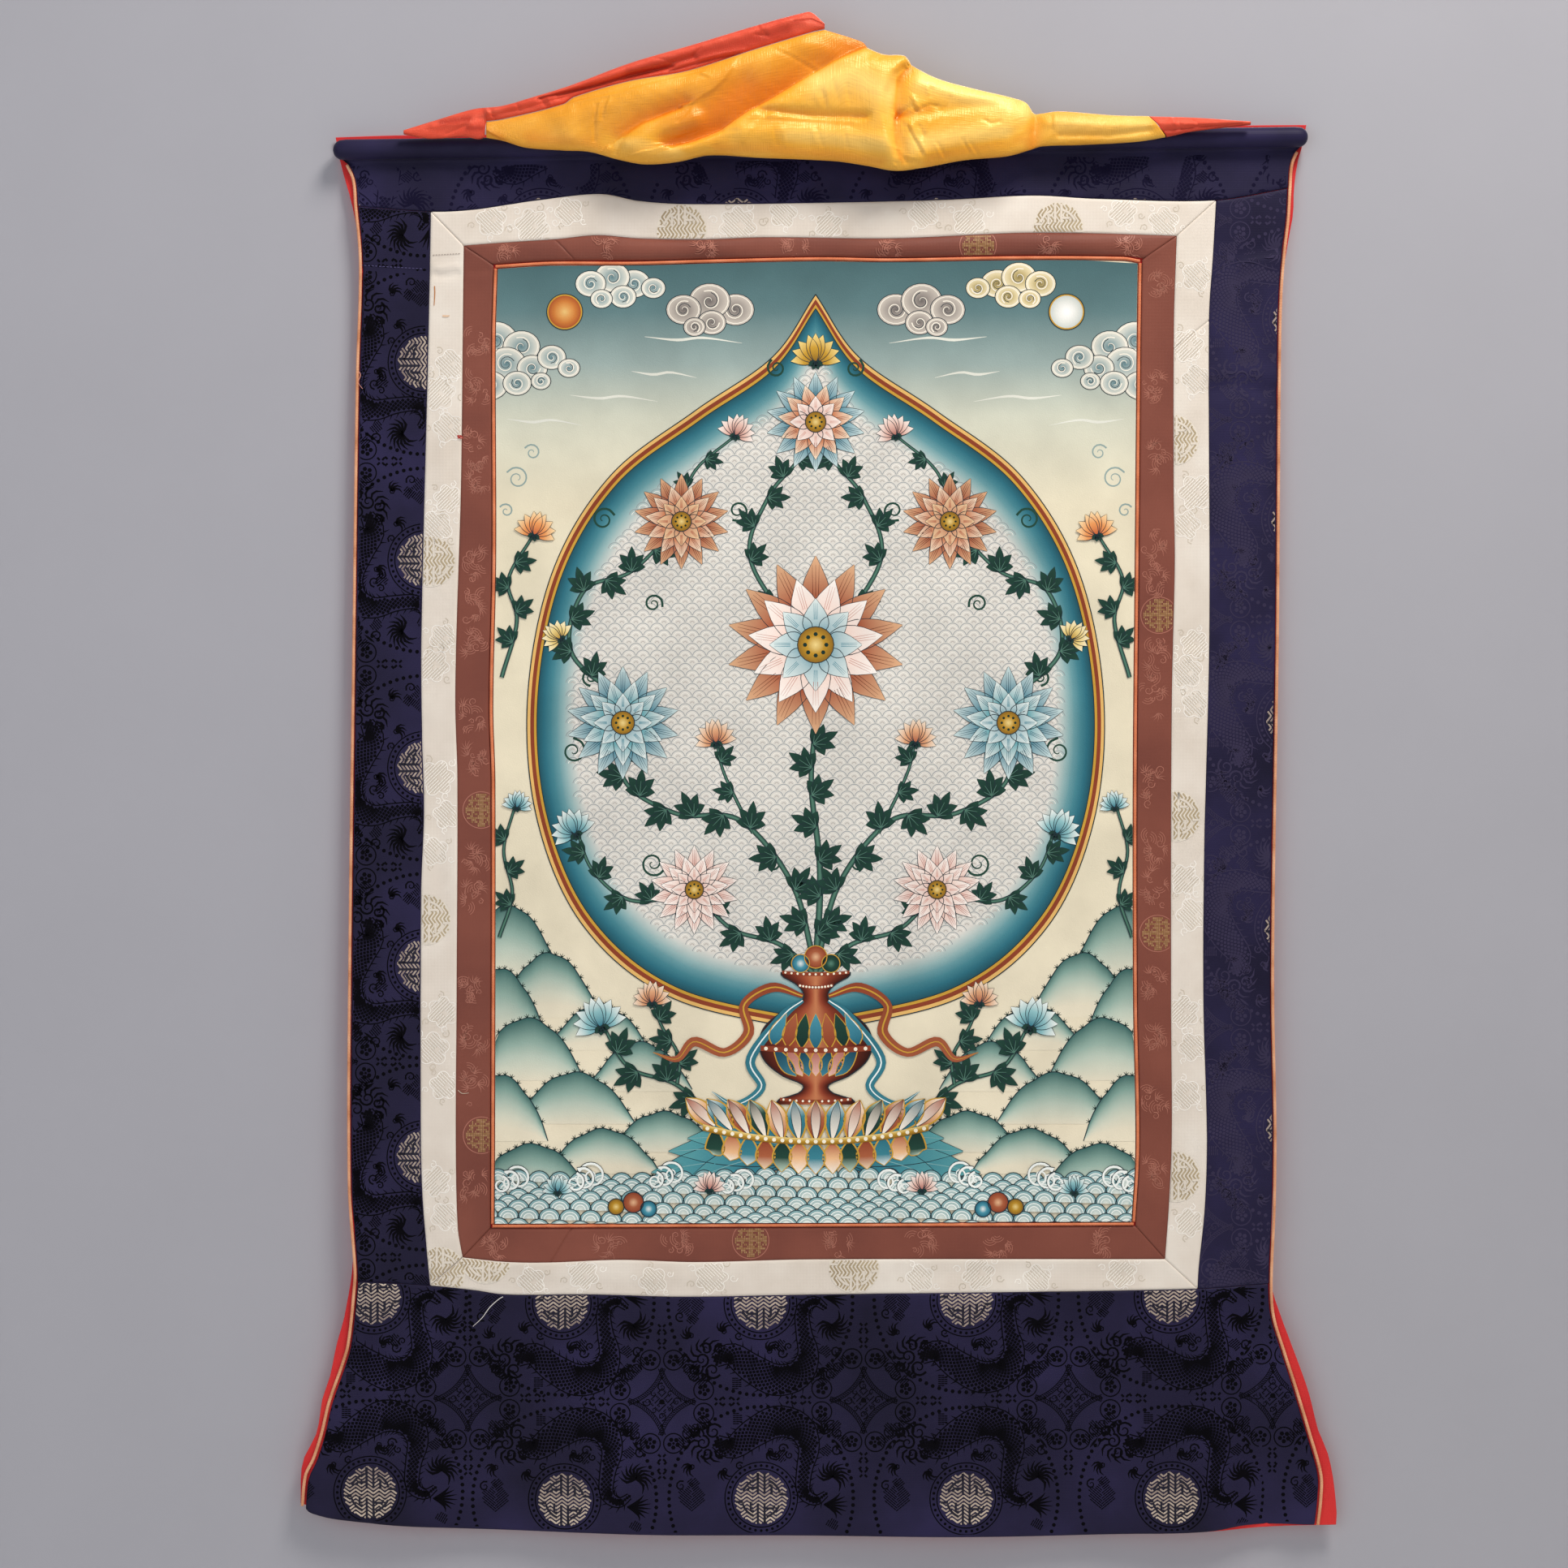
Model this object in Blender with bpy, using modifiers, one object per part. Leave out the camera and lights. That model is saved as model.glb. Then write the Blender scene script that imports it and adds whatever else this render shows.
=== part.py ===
"""Thangka scroll painting: a painted canvas in two mitred brocade borders, on a navy damask
mounting that hangs from a sewn sleeve, with its silk veil gathered up over the top edge.

Metres, +Z up. The front faces -Y and the wall is the plane Y = 0. The origin is on the wall
plane, at the middle of the sleeve's top edge. The tables are in millimetres: x is to the
right, drop is down from the origin, and depth is out from the wall.
"""

import math

import bmesh
import bpy
from mathutils import Vector

MM = 0.001
COLLECTION = "thangka_scroll_painting"

# Driving dimensions
CLOTH = 1.5
LINING_CLOTH = 1.0
SILK = 1.2
PIPING_RADIUS = 1.5
PIPING_SUNK = 0.2
HALF_SEAM = 0.25
HALF_MITRE = 0.4
PIPED_EDGE = PIPING_RADIUS + 0.5
PIPED_SIDE = PIPING_RADIUS + 0.7
PIPED_SKIRT = PIPING_RADIUS + 1.4
LINING_BEHIND = 2.6
SEAM_RISE = 0.6
EDGE_GAP = 2.0

# How finely the cloth is divided: counts of cells, or shares of the height where they meet
LONG_CELLS = 46
BROWN_CELLS = 42
STRIP_CELLS = 26
STRIP_WIDTH_CELLS = 2
SLACK_CELLS = 4
SKIRT_CELLS = 6
CANVAS_CELLS = (10, 22)
LINING_CELLS = 28
LINING_TOP_ROWS = [0, 0.014, 0.026, 0.038, 0.055]
LINING_MIDDLE = (0.13, 0.78, 5)
LINING_SKIRT = (0.82, 1, 6)
ROLL_STEPS = 12
VEIL_STEP = 13
VEIL_END_CELL = 1.0
PIPING_POINTS = {"top": 34, "bottom": 16, "left": 20, "right": 20, "edge": 36}

# The sleeve: a batten-filled roll, a little higher at its right end
SLEEVE_LEFT = -446.0
SLEEVE_RIGHT = 455.0
SLEEVE_RISE = 12.0
SLEEVE_HALF_HEIGHT = 9.5
SLEEVE_HALF_DEPTH = 9.3
SLEEVE_DEPTH = 10.8
SLEEVE_END = 9.5
SLEEVE_END_BLUNT = 1.5
SLEEVE_END_MARKS = (0, 3, 8)
SLEEVE_END_SHARE = 0.025
TAIL_SHARES = (0.02, 0.34, 0.67, 1)
NECK_BACK_ANGLE = 218.6
NECK_FRONT_ANGLE = 567.5
NECK_DROP = 1.5
BEHIND_SLEEVE = 1.2
FREE_OF_SLEEVE = (22.0, 50.0)

# Corners of the borders, as (x, drop)
CREAM_CORNERS = {"tl": (-356, 72), "tr": (370.5, 61.5), "bl": (-355.5, 1064), "br": (352, 1067)}
BROWN_CORNERS = {"tl": (-325.5, 103.5), "tr": (334, 94.5), "bl": (-325.5, 1038), "br": (322, 1039.5)}
CANVAS_CORNERS = {"tl": (-296, 123), "tr": (300, 118), "bl": (-298, 1009), "br": (293, 1007)}
SIDE_TOP_LEFT = (-425.5, 67)
SIDE_TOP_RIGHT = (439, 50)
SIDE_FOOT_LEFT = (-425, 1060)
SIDE_FOOT_RIGHT = (420, 1062)
HEM_LEFT = (-474, 1268)
HEM_RIGHT = (464, 1286)
LINING_CORNERS = {"tl": (-445, 2), "tr": (455, -9.5), "bl": (-476, 1266), "br": (481, 1286)}

# Lines that run across the mounting: rows of (x, drop)
TOP_SEAM = [(-425.5, 67), (-356, 72), (-320, 70.5), (-288, 66), (-258, 61.5), (-199, 55.5), (-164, 62),
            (-120, 65), (-4, 64), (121, 61), (202, 57), (260, 60), (370.5, 61.5), (439, 50)]
BROWN_HEAD = [(-325.5, 103.5), (-292, 101), (-238, 97.5), (-202, 94), (-164, 97), (-107, 98), (-45, 96),
              (71, 97), (184, 92), (244, 92), (334, 94.5)]
CANVAS_HEAD = [(-296, 123), (-244, 120), (-170, 120), (-95, 118), (4, 116), (71, 117), (184, 115),
               (284, 115.5), (300, 118)]
CANVAS_FOOT = [(-298, 1009), (-4, 1008), (293, 1007)]
BROWN_FOOT = [(-325.5, 1038), (-286, 1042), (-247, 1042.5), (-180, 1040), (-111, 1042), (-4, 1039.5),
              (322, 1039.5)]
FOOT_SEAM = [(-425, 1060), (-355.5, 1064), (-316, 1068), (-288, 1072), (-203, 1072), (-123, 1074),
             (-4, 1072), (352, 1067), (420, 1062)]
HEM = [(-474, 1268), (-466, 1275), (-436, 1281), (-356, 1288), (-154, 1294.5), (-4, 1296), (184, 1296.5),
       (286, 1294.5), (362, 1291.5), (400, 1286), (464, 1286)]
LINING_HEAD = [(-445, 2), (-379, 0), (0, -1.5), (398, -9), (455, -9.5)]
LINING_HEM = [(-476, 1266), (-436, 1279), (-356, 1286), (0, 1294), (286, 1293), (357, 1292), (403, 1289),
              (481, 1286)]

# Lines that run down the mounting: rows of (drop, x)
EDGE_LEFT = [(24, -436), (42, -428), (67, -425.5), (110, -421.5), (150, -421.5), (222, -424), (462, -427),
             (777, -430.5), (970, -430.5), (1047, -425), (1060, -425), (1117, -431), (1138, -437),
             (1172, -449), (1201, -456), (1224, -463.5), (1240, -471), (1268, -474)]
EDGE_RIGHT = [(13, 447), (28, 441), (50, 439), (80, 437), (110, 433.5), (150, 430.5), (222, 429),
              (462, 427), (777, 422), (920, 424), (991, 423), (1062, 420), (1092, 422), (1125, 432),
              (1157, 442.5), (1201, 456), (1239, 466.5), (1262, 466.5), (1286, 464)]
CREAM_LEFT = [(72, -356), (130, -357), (222, -359), (462, -364.5), (552, -364), (627, -362), (702, -364.5),
              (927, -364.5), (978, -363), (1029, -359), (1064, -355.5)]
CREAM_RIGHT = [(61.5, 370.5), (114, 367.5), (170, 364), (462, 364), (665, 359), (800, 358), (927, 361),
               (991, 359), (1049, 353), (1067, 352)]
BROWN_LEFT = [(103.5, -325.5), (192, -326.5), (327, -328), (462, -332), (530, -333), (597, -331),
              (800, -331.5), (935, -332), (1011, -330), (1038, -325.5)]
BROWN_RIGHT = [(94.5, 334), (170, 331.5), (327, 331), (395, 332), (530, 329), (800, 328), (927, 328.5),
               (985, 326), (1039.5, 322)]
CANVAS_LEFT = [(123, -296), (192, -298), (395, -297.5), (530, -300), (600, -298), (1009, -298)]
CANVAS_RIGHT = [(118, 300), (192, 299), (395, 297), (597, 295), (800, 295), (935, 297), (1007, 293)]
LINING_LEFT = [(2, -445), (23, -441), (38, -437), (66, -429), (110, -422), (222, -424), (462, -427),
               (777, -430), (970, -430), (1040, -427), (1093, -435), (1118, -442), (1151, -449),
               (1167, -455), (1201, -461), (1228, -474), (1266, -476)]
LINING_RIGHT = [(-9.5, 455), (9, 451.5), (25, 447), (50, 443), (74, 442), (96, 438), (150, 430.5),
                (222, 429), (462, 427), (734, 424), (920, 424), (1062, 420.5), (1089, 428), (1112, 436.5),
                (1161, 454.5), (1201, 465), (1216, 472), (1242, 478), (1275, 481.5), (1286, 481)]

# How the mounting stands off the wall: (drop, depth) at its edges, and (drop, bow) amid it
EDGE_DEPTH = [(0, 6.5), (24, 6.5), (45, 7.5), (72, 9), (192, 8), (460, 10), (660, 12), (800, 14),
              (935, 16), (1065, 19), (1180, 17), (1296, 14)]
BOW = [(24, 0), (200, 3), (700, 4), (1065, 3), (1296, 1)]
BOW_HALF_WIDTH = 440.0

# Soft flutes of the skirt: (x at the hem, half width, height)
FLUTES = [(-405, 75, 4.0), (-290, 80, -3.0), (-160, 85, 3.0), (-20, 90, -2.0), (120, 85, 2.5),
          (250, 80, -2.5), (352, 70, 3.5), (428, 60, -3.5)]
FLUTES_START = 1045.0
FLUTES_FULL = 1230.0
HEM_HALF_WIDTH = 470.0
SEAM_HALF_WIDTH = 424.0

# The slack of the top brown strip, which stands off in a long pucker: (x, height)
PUCKER = [(-326, 0), (-240, 3.0), (-130, 5.0), (-45, 2.5), (10, 2.0), (90, 4.5), (160, 2.5), (235, 5.0),
          (334, 0)]

# The veil, rows of (x, drop)
VEIL_SEAM = [(-312, -7), (-288, -9.4), (-232, -22.5), (-222, -29), (-172, -42.8), (-118, -52),
             (-53, -72.8), (-4, -87.8), (8, -90.4)]
YELLOW_HEAD = [(8, -90.4), (42, -79), (46.5, -74), (63, -67.5), (80, -66), (87, -58.5), (111, -46),
               (142, -37), (183, -27), (196, -20.3), (201, -14.5), (214, -16.5), (270, -13.5), (314, -13)]
YELLOW_FOOT = [(-303, 7), (-288, 10), (-267, 16.5), (-232, 19.5), (-208, 21), (-181, 28.5), (-157, 33),
               (-127, 31), (-98, 25), (-53, 27), (16, 30), (47, 34.5), (73, 39), (99, 36), (136, 29),
               (176, 25), (195, 19.5), (208, 15), (245, 13.5), (292, 10.5), (314, 6)]
CORAL_HEAD = [(-379, 0), (-350, -9), (-314, -19.5), (-288, -22), (-261, -29.3), (-226, -39.8),
              (-172, -59.3), (-112, -76.5), (-53, -94.5), (-12, -105.8), (-4, -106.3), (8, -96)]
CORAL_FOOT = [(-379, 4), (-355, 8), (-324, 6), (-304.5, 6.5), (-303.5, -8.5)]
RIGHT_HEAD = [(315, -13), (357, -11), (400, -8)]
RIGHT_FOOT = [(315, 6), (357, 0), (400, -5)]

# How far the veil's front and back stand off the wall: rows of (x, depth)
YELLOW_FRONT = [(-303, 29), (-267, 35), (-208, 41), (-157, 48), (-98, 50), (-4, 46), (42, 48), (79, 48),
                (136, 44), (176, 42), (196, 37), (203, 33), (245, 34), (314, 30)]
YELLOW_BACK = [(-303, 23), (190, 22.5), (230, 18), (314, 18)]
CORAL_STANDS = 4.5
CORAL_END_FRONT = 29.0
CORAL_END_BACK = 23.0
RIGHT_FRONT = [(315, 30), (357, 29), (400, 27.5)]
RIGHT_BACK = [(315, 18), (345, 23), (400, 23)]

# Where the silk's outline steps, so that its cells meet there too
YELLOW_STEPS = (46.5, 87)
CORAL_STEPS = (-304.5, -303.5)

# Folds of the yellow silk: a line of (x, drop) points, its height, and its reach to both sides as
# one follows the line. First the deep crease where one layer rolls under, then the roll of the
# flap beside it and the hollow past that.
FOLDS = [
    {"line": [(43, -74), (2, -52), (-52, -20), (-79, -3), (-142, 5)], "height": -8.0, "left": 9, "right": 22},
    {"line": [(79, -65), (68, -49), (55, -27), (52, -8), (62, 14), (71, 28)], "height": 6.0, "left": 6,
     "right": 16},
    {"line": [(76, -48), (74, -14), (76, 28)], "height": -6.0, "left": 8, "right": 5},
    {"line": [(-53, -17), (-10, -13), (47, -9)], "height": -5.0, "left": 7, "right": 7},
    {"line": [(-84, -50), (-104, -30), (-161, 1), (-184, 20)], "height": 3.0, "left": 7, "right": 17},
    {"line": [(-230, -22), (-222, 12)], "height": 2.5, "left": 9, "right": 9},
    {"line": [(100, 25), (165, 2)], "height": 3.0, "left": 12, "right": 10},
]
FULLNESS = 0.75

# Changes along the veil that start and end at an x: rows of (from, to, change). How far the silk
# goes on past its head and past its foot, in degrees; how far an end slants; where the coral
# border comes out from the sleeve's corner.
YELLOW_OVER = [(5, 30, 40), (190, 215, -12)]
YELLOW_UNDER = [(-303, -270, 50), (185, 215, -45)]
CORAL_OVER = 35
RIGHT_OVER = 28
RIGHT_UNDER = 5
LEAN = [(280, 314, 8.0), (315, 346, -8.0)]
CORAL_SHOWN = [(-330, -300, 1)]
VEIL_CELLS = {"yellow": 10, "coral": 7, "right": 8}

# Finishes: linear colour and roughness
NAVY = {"colour": (0.019, 0.016, 0.045), "roughness": 0.6}
CREAM = {"colour": (0.72, 0.66, 0.56), "roughness": 0.65}
BROWN = {"colour": (0.20, 0.06, 0.036), "roughness": 0.65}
CANVAS = {"colour": (0.55, 0.47, 0.36), "roughness": 0.85}
ORANGE = {"colour": (0.80, 0.27, 0.09), "roughness": 0.55}
RED = {"colour": (0.55, 0.03, 0.03), "roughness": 0.8}
YELLOW = {"colour": (0.90, 0.46, 0.05), "roughness": 0.4}
CORAL = {"colour": (0.74, 0.10, 0.05), "roughness": 0.4}


def between(a, b, share):
    return a + (b - a) * share


def eased(value, start, end):
    """0 before start, 1 after end, and a smooth rise from one to the other."""
    share = min(max((value - start) / (end - start), 0.0), 1.0)
    return share * share * (3 - 2 * share)


def stepped(rows):
    """The sum of eased changes, rows of (from, to, change), as a function of the key."""
    return lambda key: sum(change * eased(key, start, end) for start, end, change in rows)


def line_through(rows):
    """A smooth curve through rows of (key, value), as a function of the key."""
    keys = [row[0] for row in rows]
    values = [row[1] for row in rows]
    last = len(rows) - 1
    slopes = []
    for i in range(last + 1):
        low = max(i - 1, 0)
        high = min(i + 1, last)
        slopes.append((values[high] - values[low]) / (keys[high] - keys[low]))

    def at(key):
        key = min(max(key, keys[0]), keys[-1])
        i = 0
        while i < last - 1 and key > keys[i + 1]:
            i += 1
        step = keys[i + 1] - keys[i]
        t = (key - keys[i]) / step
        rise = values[i + 1] - values[i]
        start = slopes[i] * step
        end = slopes[i + 1] * step
        return values[i] + t * (start + t * ((3 * rise - 2 * start - end) + t * (start + end - 2 * rise)))

    return at


edge_depth = line_through(EDGE_DEPTH)
bow = line_through(BOW)
pucker = line_through(PUCKER)
top_seam = line_through(TOP_SEAM)
edge_left = line_through(EDGE_LEFT)
edge_right = line_through(EDGE_RIGHT)
veil_seam = line_through(VEIL_SEAM)
yellow_head = line_through(YELLOW_HEAD)
yellow_foot = line_through(YELLOW_FOOT)
yellow_front = line_through(YELLOW_FRONT)
yellow_back = line_through(YELLOW_BACK)
coral_head = line_through(CORAL_HEAD)
coral_foot = line_through(CORAL_FOOT)
right_head = line_through(RIGHT_HEAD)
right_foot = line_through(RIGHT_FOOT)
right_front = line_through(RIGHT_FRONT)
right_back = line_through(RIGHT_BACK)


def place(x, drop, depth):
    """A point of the tables as a point in metres."""
    return Vector((x * MM, -depth * MM, -drop * MM))


def hang(x, drop):
    """How far the front of the mounting stands off the wall."""
    middle = max(0.0, 1 - (x / BOW_HALF_WIDTH) ** 2)
    depth = edge_depth(drop) + bow(drop) * middle
    strength = eased(drop, FLUTES_START, FLUTES_FULL)
    if strength > 0:
        spread = between(SEAM_HALF_WIDTH, HEM_HALF_WIDTH, strength) / HEM_HALF_WIDTH
        for centre, half_width, height in FLUTES:
            away = abs(x / spread - centre) / half_width
            if away < 1:
                depth += strength * height * 0.5 * (1 + math.cos(math.pi * away))
    return depth


def hang_lining(x, drop):
    """The lining lies behind the mounting, and closer to the wall behind the sleeve."""
    free = eased(drop, *FREE_OF_SLEEVE)
    return between(BEHIND_SLEEVE, hang(x, drop) - LINING_BEHIND, free)


def across(line, start, end):
    """A side of a piece that follows a line from left to right, from 0 to 1."""
    follow = line_through(line)

    def at(share):
        x = between(start[0], end[0], share)
        return x, follow(x)

    return at


def down(line, start, end):
    """A side of a piece that follows a line from top to bottom, from 0 to 1."""
    follow = line_through(line)

    def at(share):
        drop = between(start[1], end[1], share)
        return follow(drop), drop

    return at


def straight(start, end):
    """A straight side, such as a mitre, from 0 to 1."""
    return lambda share: (between(start[0], end[0], share), between(start[1], end[1], share))


def patch(top, bottom, left, right):
    """The flat cut between four sides, as a function of two shares."""
    def at(u, v):
        point = []
        for k in range(2):
            ruled = between(top(u)[k], bottom(u)[k], v) + between(left(v)[k], right(v)[k], u)
            corners = between(between(top(0)[k], top(1)[k], u), between(bottom(0)[k], bottom(1)[k], u), v)
            point.append(ruled - corners)
        return point

    return at


def paint(obj, name, finish):
    """A cloth material of its own for a piece."""
    material = bpy.data.materials.new(name)
    material.use_nodes = True
    shader = material.node_tree.nodes["Principled BSDF"]
    shader.inputs["Base Color"].default_value = (*finish["colour"], 1)
    shader.inputs["Roughness"].default_value = finish["roughness"]
    shader.inputs["Metallic"].default_value = 0
    obj.data.materials.append(material)


def new_object(name, data):
    obj = bpy.data.objects.new(name, data)
    bpy.data.collections[COLLECTION].objects.link(obj)
    return obj


def sheet(name, surface, columns, rows, thickness, finish):
    """A grid bent to a surface of two shares, given its thickness behind its front.

    columns and rows are counts of even cells, or lists of the shares where cells meet.
    """
    if isinstance(columns, int):
        columns = [i / columns for i in range(columns + 1)]
    if isinstance(rows, int):
        rows = [i / rows for i in range(rows + 1)]
    grid = bmesh.new()
    across_cells = len(columns) - 1
    down_cells = len(rows) - 1
    bmesh.ops.create_grid(grid, x_segments=across_cells, y_segments=down_cells, size=0.5)
    for vertex in grid.verts:
        u = columns[round((vertex.co.x + 0.5) * across_cells)]
        v = rows[round((0.5 - vertex.co.y) * down_cells)]
        vertex.co = surface(u, v)
    mesh = bpy.data.meshes.new(name)
    grid.to_mesh(mesh)
    grid.free()
    mesh.shade_smooth()
    obj = new_object(name, mesh)
    solidify = obj.modifiers.new("thickness", "SOLIDIFY")
    solidify.thickness = thickness * MM
    solidify.offset = -1
    paint(obj, name, finish)


def panel(name, cut, margins, columns, rows, finish, slack=None):
    """A panel of the mounting: its cut less its seam margins, hung on the mounting's depth.

    margins are left, right, top and bottom; slack is how far the panel stands off amid its
    height, as a function of x.
    """
    width = math.dist(cut(0, 0.5), cut(1, 0.5))
    height = math.dist(cut(0.5, 0), cut(0.5, 1))
    left, right, top, bottom = margins

    def surface(u, v):
        u_cut = between(left / width, 1 - right / width, u)
        v_cut = between(top / height, 1 - bottom / height, v)
        x, drop = cut(u_cut, v_cut)
        depth = hang(x, drop)
        if slack:
            depth += slack(x) * math.sin(math.pi * v)
        return place(x, drop, depth)

    sheet(name, surface, columns, rows, CLOTH, finish)


def border(prefix, outer, inner, lines, inner_margin, columns, finish, slack=None):
    """Four mitred strips between an outer and an inner set of corners.

    lines gives the outer and inner line of each side; columns are the cells along the strips
    that run across; slack is how far the top strip stands off.
    """
    sides = {
        "top": ("tl", "tr", across),
        "bottom": ("bl", "br", across),
        "left": ("tl", "bl", down),
        "right": ("tr", "br", down),
    }
    for side, (start, end, follow) in sides.items():
        outer_line, inner_line = lines[side]
        outside = follow(outer_line, outer[start], outer[end])
        inside = follow(inner_line, inner[start], inner[end])
        first_mitre = (outer[start], inner[start])
        last_mitre = (outer[end], inner[end])
        cells = (columns, STRIP_WIDTH_CELLS) if follow is across else (STRIP_WIDTH_CELLS, STRIP_CELLS)
        strip_slack = None
        if side == "top":
            cut = patch(outside, inside, straight(*first_mitre), straight(*last_mitre))
            margins = (HALF_MITRE, HALF_MITRE, HALF_SEAM, inner_margin)
            if slack:
                strip_slack = slack
                cells = (columns, SLACK_CELLS)
        elif side == "bottom":
            cut = patch(inside, outside, straight(*first_mitre[::-1]), straight(*last_mitre[::-1]))
            margins = (HALF_MITRE, HALF_MITRE, inner_margin, HALF_SEAM)
        elif side == "left":
            cut = patch(straight(*first_mitre), straight(*last_mitre), outside, inside)
            margins = (HALF_SEAM, inner_margin, HALF_MITRE, HALF_MITRE)
        else:
            cut = patch(straight(*first_mitre[::-1]), straight(*last_mitre[::-1]), inside, outside)
            margins = (inner_margin, HALF_SEAM, HALF_MITRE, HALF_MITRE)
        panel(f"{prefix}_{side}", cut, margins, *cells, finish, strip_slack)


def piping(name, follow, points, first=0, last=1):
    """A covered cord laid on the mounting along a line, from one share of it to another."""
    curve = bpy.data.curves.new(name, "CURVE")
    curve.dimensions = "3D"
    curve.bevel_depth = PIPING_RADIUS * MM
    curve.bevel_resolution = 2
    curve.use_fill_caps = True
    spline = curve.splines.new("POLY")
    spline.points.add(points - 1)
    for i, point in enumerate(spline.points):
        x, drop = follow(between(first, last, i / (points - 1)))
        point.co = (*place(x, drop, hang(x, drop) - PIPING_SUNK), 1)
    paint(new_object(name, curve), name, ORANGE)


def sleeve_top(x):
    """The drop of the sleeve's top edge, which rises to the right."""
    return -SLEEVE_RISE * x / (SLEEVE_RIGHT - SLEEVE_LEFT)


def navy_top():
    """The top panel: up its back, round the batten in the sleeve and down its front."""
    tail_rows = len(TAIL_SHARES)
    length = SLEEVE_RIGHT - SLEEVE_LEFT
    ends = [mark / length for mark in SLEEVE_END_MARKS]
    inner = [between(SLEEVE_END_SHARE, 1 - SLEEVE_END_SHARE, i / LONG_CELLS) for i in range(LONG_CELLS + 1)]
    marks = ends + inner + [1 - mark for mark in reversed(ends)]

    mesh = bmesh.new()
    rings = []
    for u in marks:
        x_roll = between(SLEEVE_LEFT, SLEEVE_RIGHT, u)
        from_end = min(u, 1 - u) * length + SLEEVE_END_BLUNT
        rounding = math.sqrt(1 - (1 - min(from_end / SLEEVE_END, 1)) ** 2)
        centre = sleeve_top(x_roll) + SLEEVE_HALF_HEIGHT
        neck = centre + SLEEVE_HALF_HEIGHT + NECK_DROP
        foot = top_seam(between(SIDE_TOP_LEFT[0], SIDE_TOP_RIGHT[0], u)) - HALF_SEAM
        back = []
        front = []
        for share in TAIL_SHARES:
            drop = between(neck, foot, share)
            x = between(edge_left(drop) + PIPED_SIDE, edge_right(drop) - PIPED_SIDE, u)
            front.append(place(x, drop, hang(x, drop)))
            back.append(place(x, drop, hang(x, drop) - CLOTH))
        roll = []
        for k in range(ROLL_STEPS + 1):
            angle = math.radians(between(NECK_BACK_ANGLE, NECK_FRONT_ANGLE, k / ROLL_STEPS))
            depth = SLEEVE_DEPTH + SLEEVE_HALF_DEPTH * rounding * math.sin(angle)
            drop = centre - SLEEVE_HALF_HEIGHT * rounding * math.cos(angle)
            roll.append(place(x_roll, drop, depth))
        points = back[::-1] + roll + front
        rings.append([mesh.verts.new(point) for point in points])

    around = len(rings[0])
    for ring, following in zip(rings, rings[1:]):
        for k in range(around):
            n = (k + 1) % around
            mesh.faces.new((ring[k], ring[n], following[n], following[k]))
    for ring in (rings[0], rings[-1]):
        for k in range(tail_rows):
            mesh.faces.new((ring[k], ring[k + 1], ring[around - 2 - k], ring[around - 1 - k]))
        roll = ring[tail_rows:around - tail_rows]
        centre = mesh.verts.new(sum((vertex.co for vertex in roll), Vector()) / len(roll))
        for a, b in zip(roll, roll[1:] + roll[:1]):
            mesh.faces.new((a, b, centre))
    bmesh.ops.recalc_face_normals(mesh, faces=mesh.faces)
    data = bpy.data.meshes.new("navy_top")
    mesh.to_mesh(data)
    mesh.free()
    data.shade_smooth()
    paint(new_object("navy_top", data), "navy_top", NAVY)


def mounting():
    """The navy panels round the borders."""
    navy_top()
    left = patch(
        across(TOP_SEAM, SIDE_TOP_LEFT, CREAM_CORNERS["tl"]),
        across(FOOT_SEAM, SIDE_FOOT_LEFT, CREAM_CORNERS["bl"]),
        down(EDGE_LEFT, SIDE_TOP_LEFT, SIDE_FOOT_LEFT),
        down(CREAM_LEFT, CREAM_CORNERS["tl"], CREAM_CORNERS["bl"]),
    )
    margins = (PIPED_SIDE, HALF_SEAM, HALF_SEAM, HALF_SEAM)
    panel("navy_left", left, margins, STRIP_WIDTH_CELLS, STRIP_CELLS, NAVY)
    right = patch(
        across(TOP_SEAM, CREAM_CORNERS["tr"], SIDE_TOP_RIGHT),
        across(FOOT_SEAM, CREAM_CORNERS["br"], SIDE_FOOT_RIGHT),
        down(CREAM_RIGHT, CREAM_CORNERS["tr"], CREAM_CORNERS["br"]),
        down(EDGE_RIGHT, SIDE_TOP_RIGHT, SIDE_FOOT_RIGHT),
    )
    margins = (HALF_SEAM, PIPED_SIDE, HALF_SEAM, HALF_SEAM)
    panel("navy_right", right, margins, STRIP_WIDTH_CELLS, STRIP_CELLS, NAVY)
    skirt = patch(
        across(FOOT_SEAM, SIDE_FOOT_LEFT, SIDE_FOOT_RIGHT),
        across(HEM, HEM_LEFT, HEM_RIGHT),
        down(EDGE_LEFT, SIDE_FOOT_LEFT, HEM_LEFT),
        down(EDGE_RIGHT, SIDE_FOOT_RIGHT, HEM_RIGHT),
    )
    margins = (PIPED_SKIRT, PIPED_SKIRT, HALF_SEAM, 0)
    panel("navy_bottom", skirt, margins, LONG_CELLS, SKIRT_CELLS, NAVY)


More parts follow.
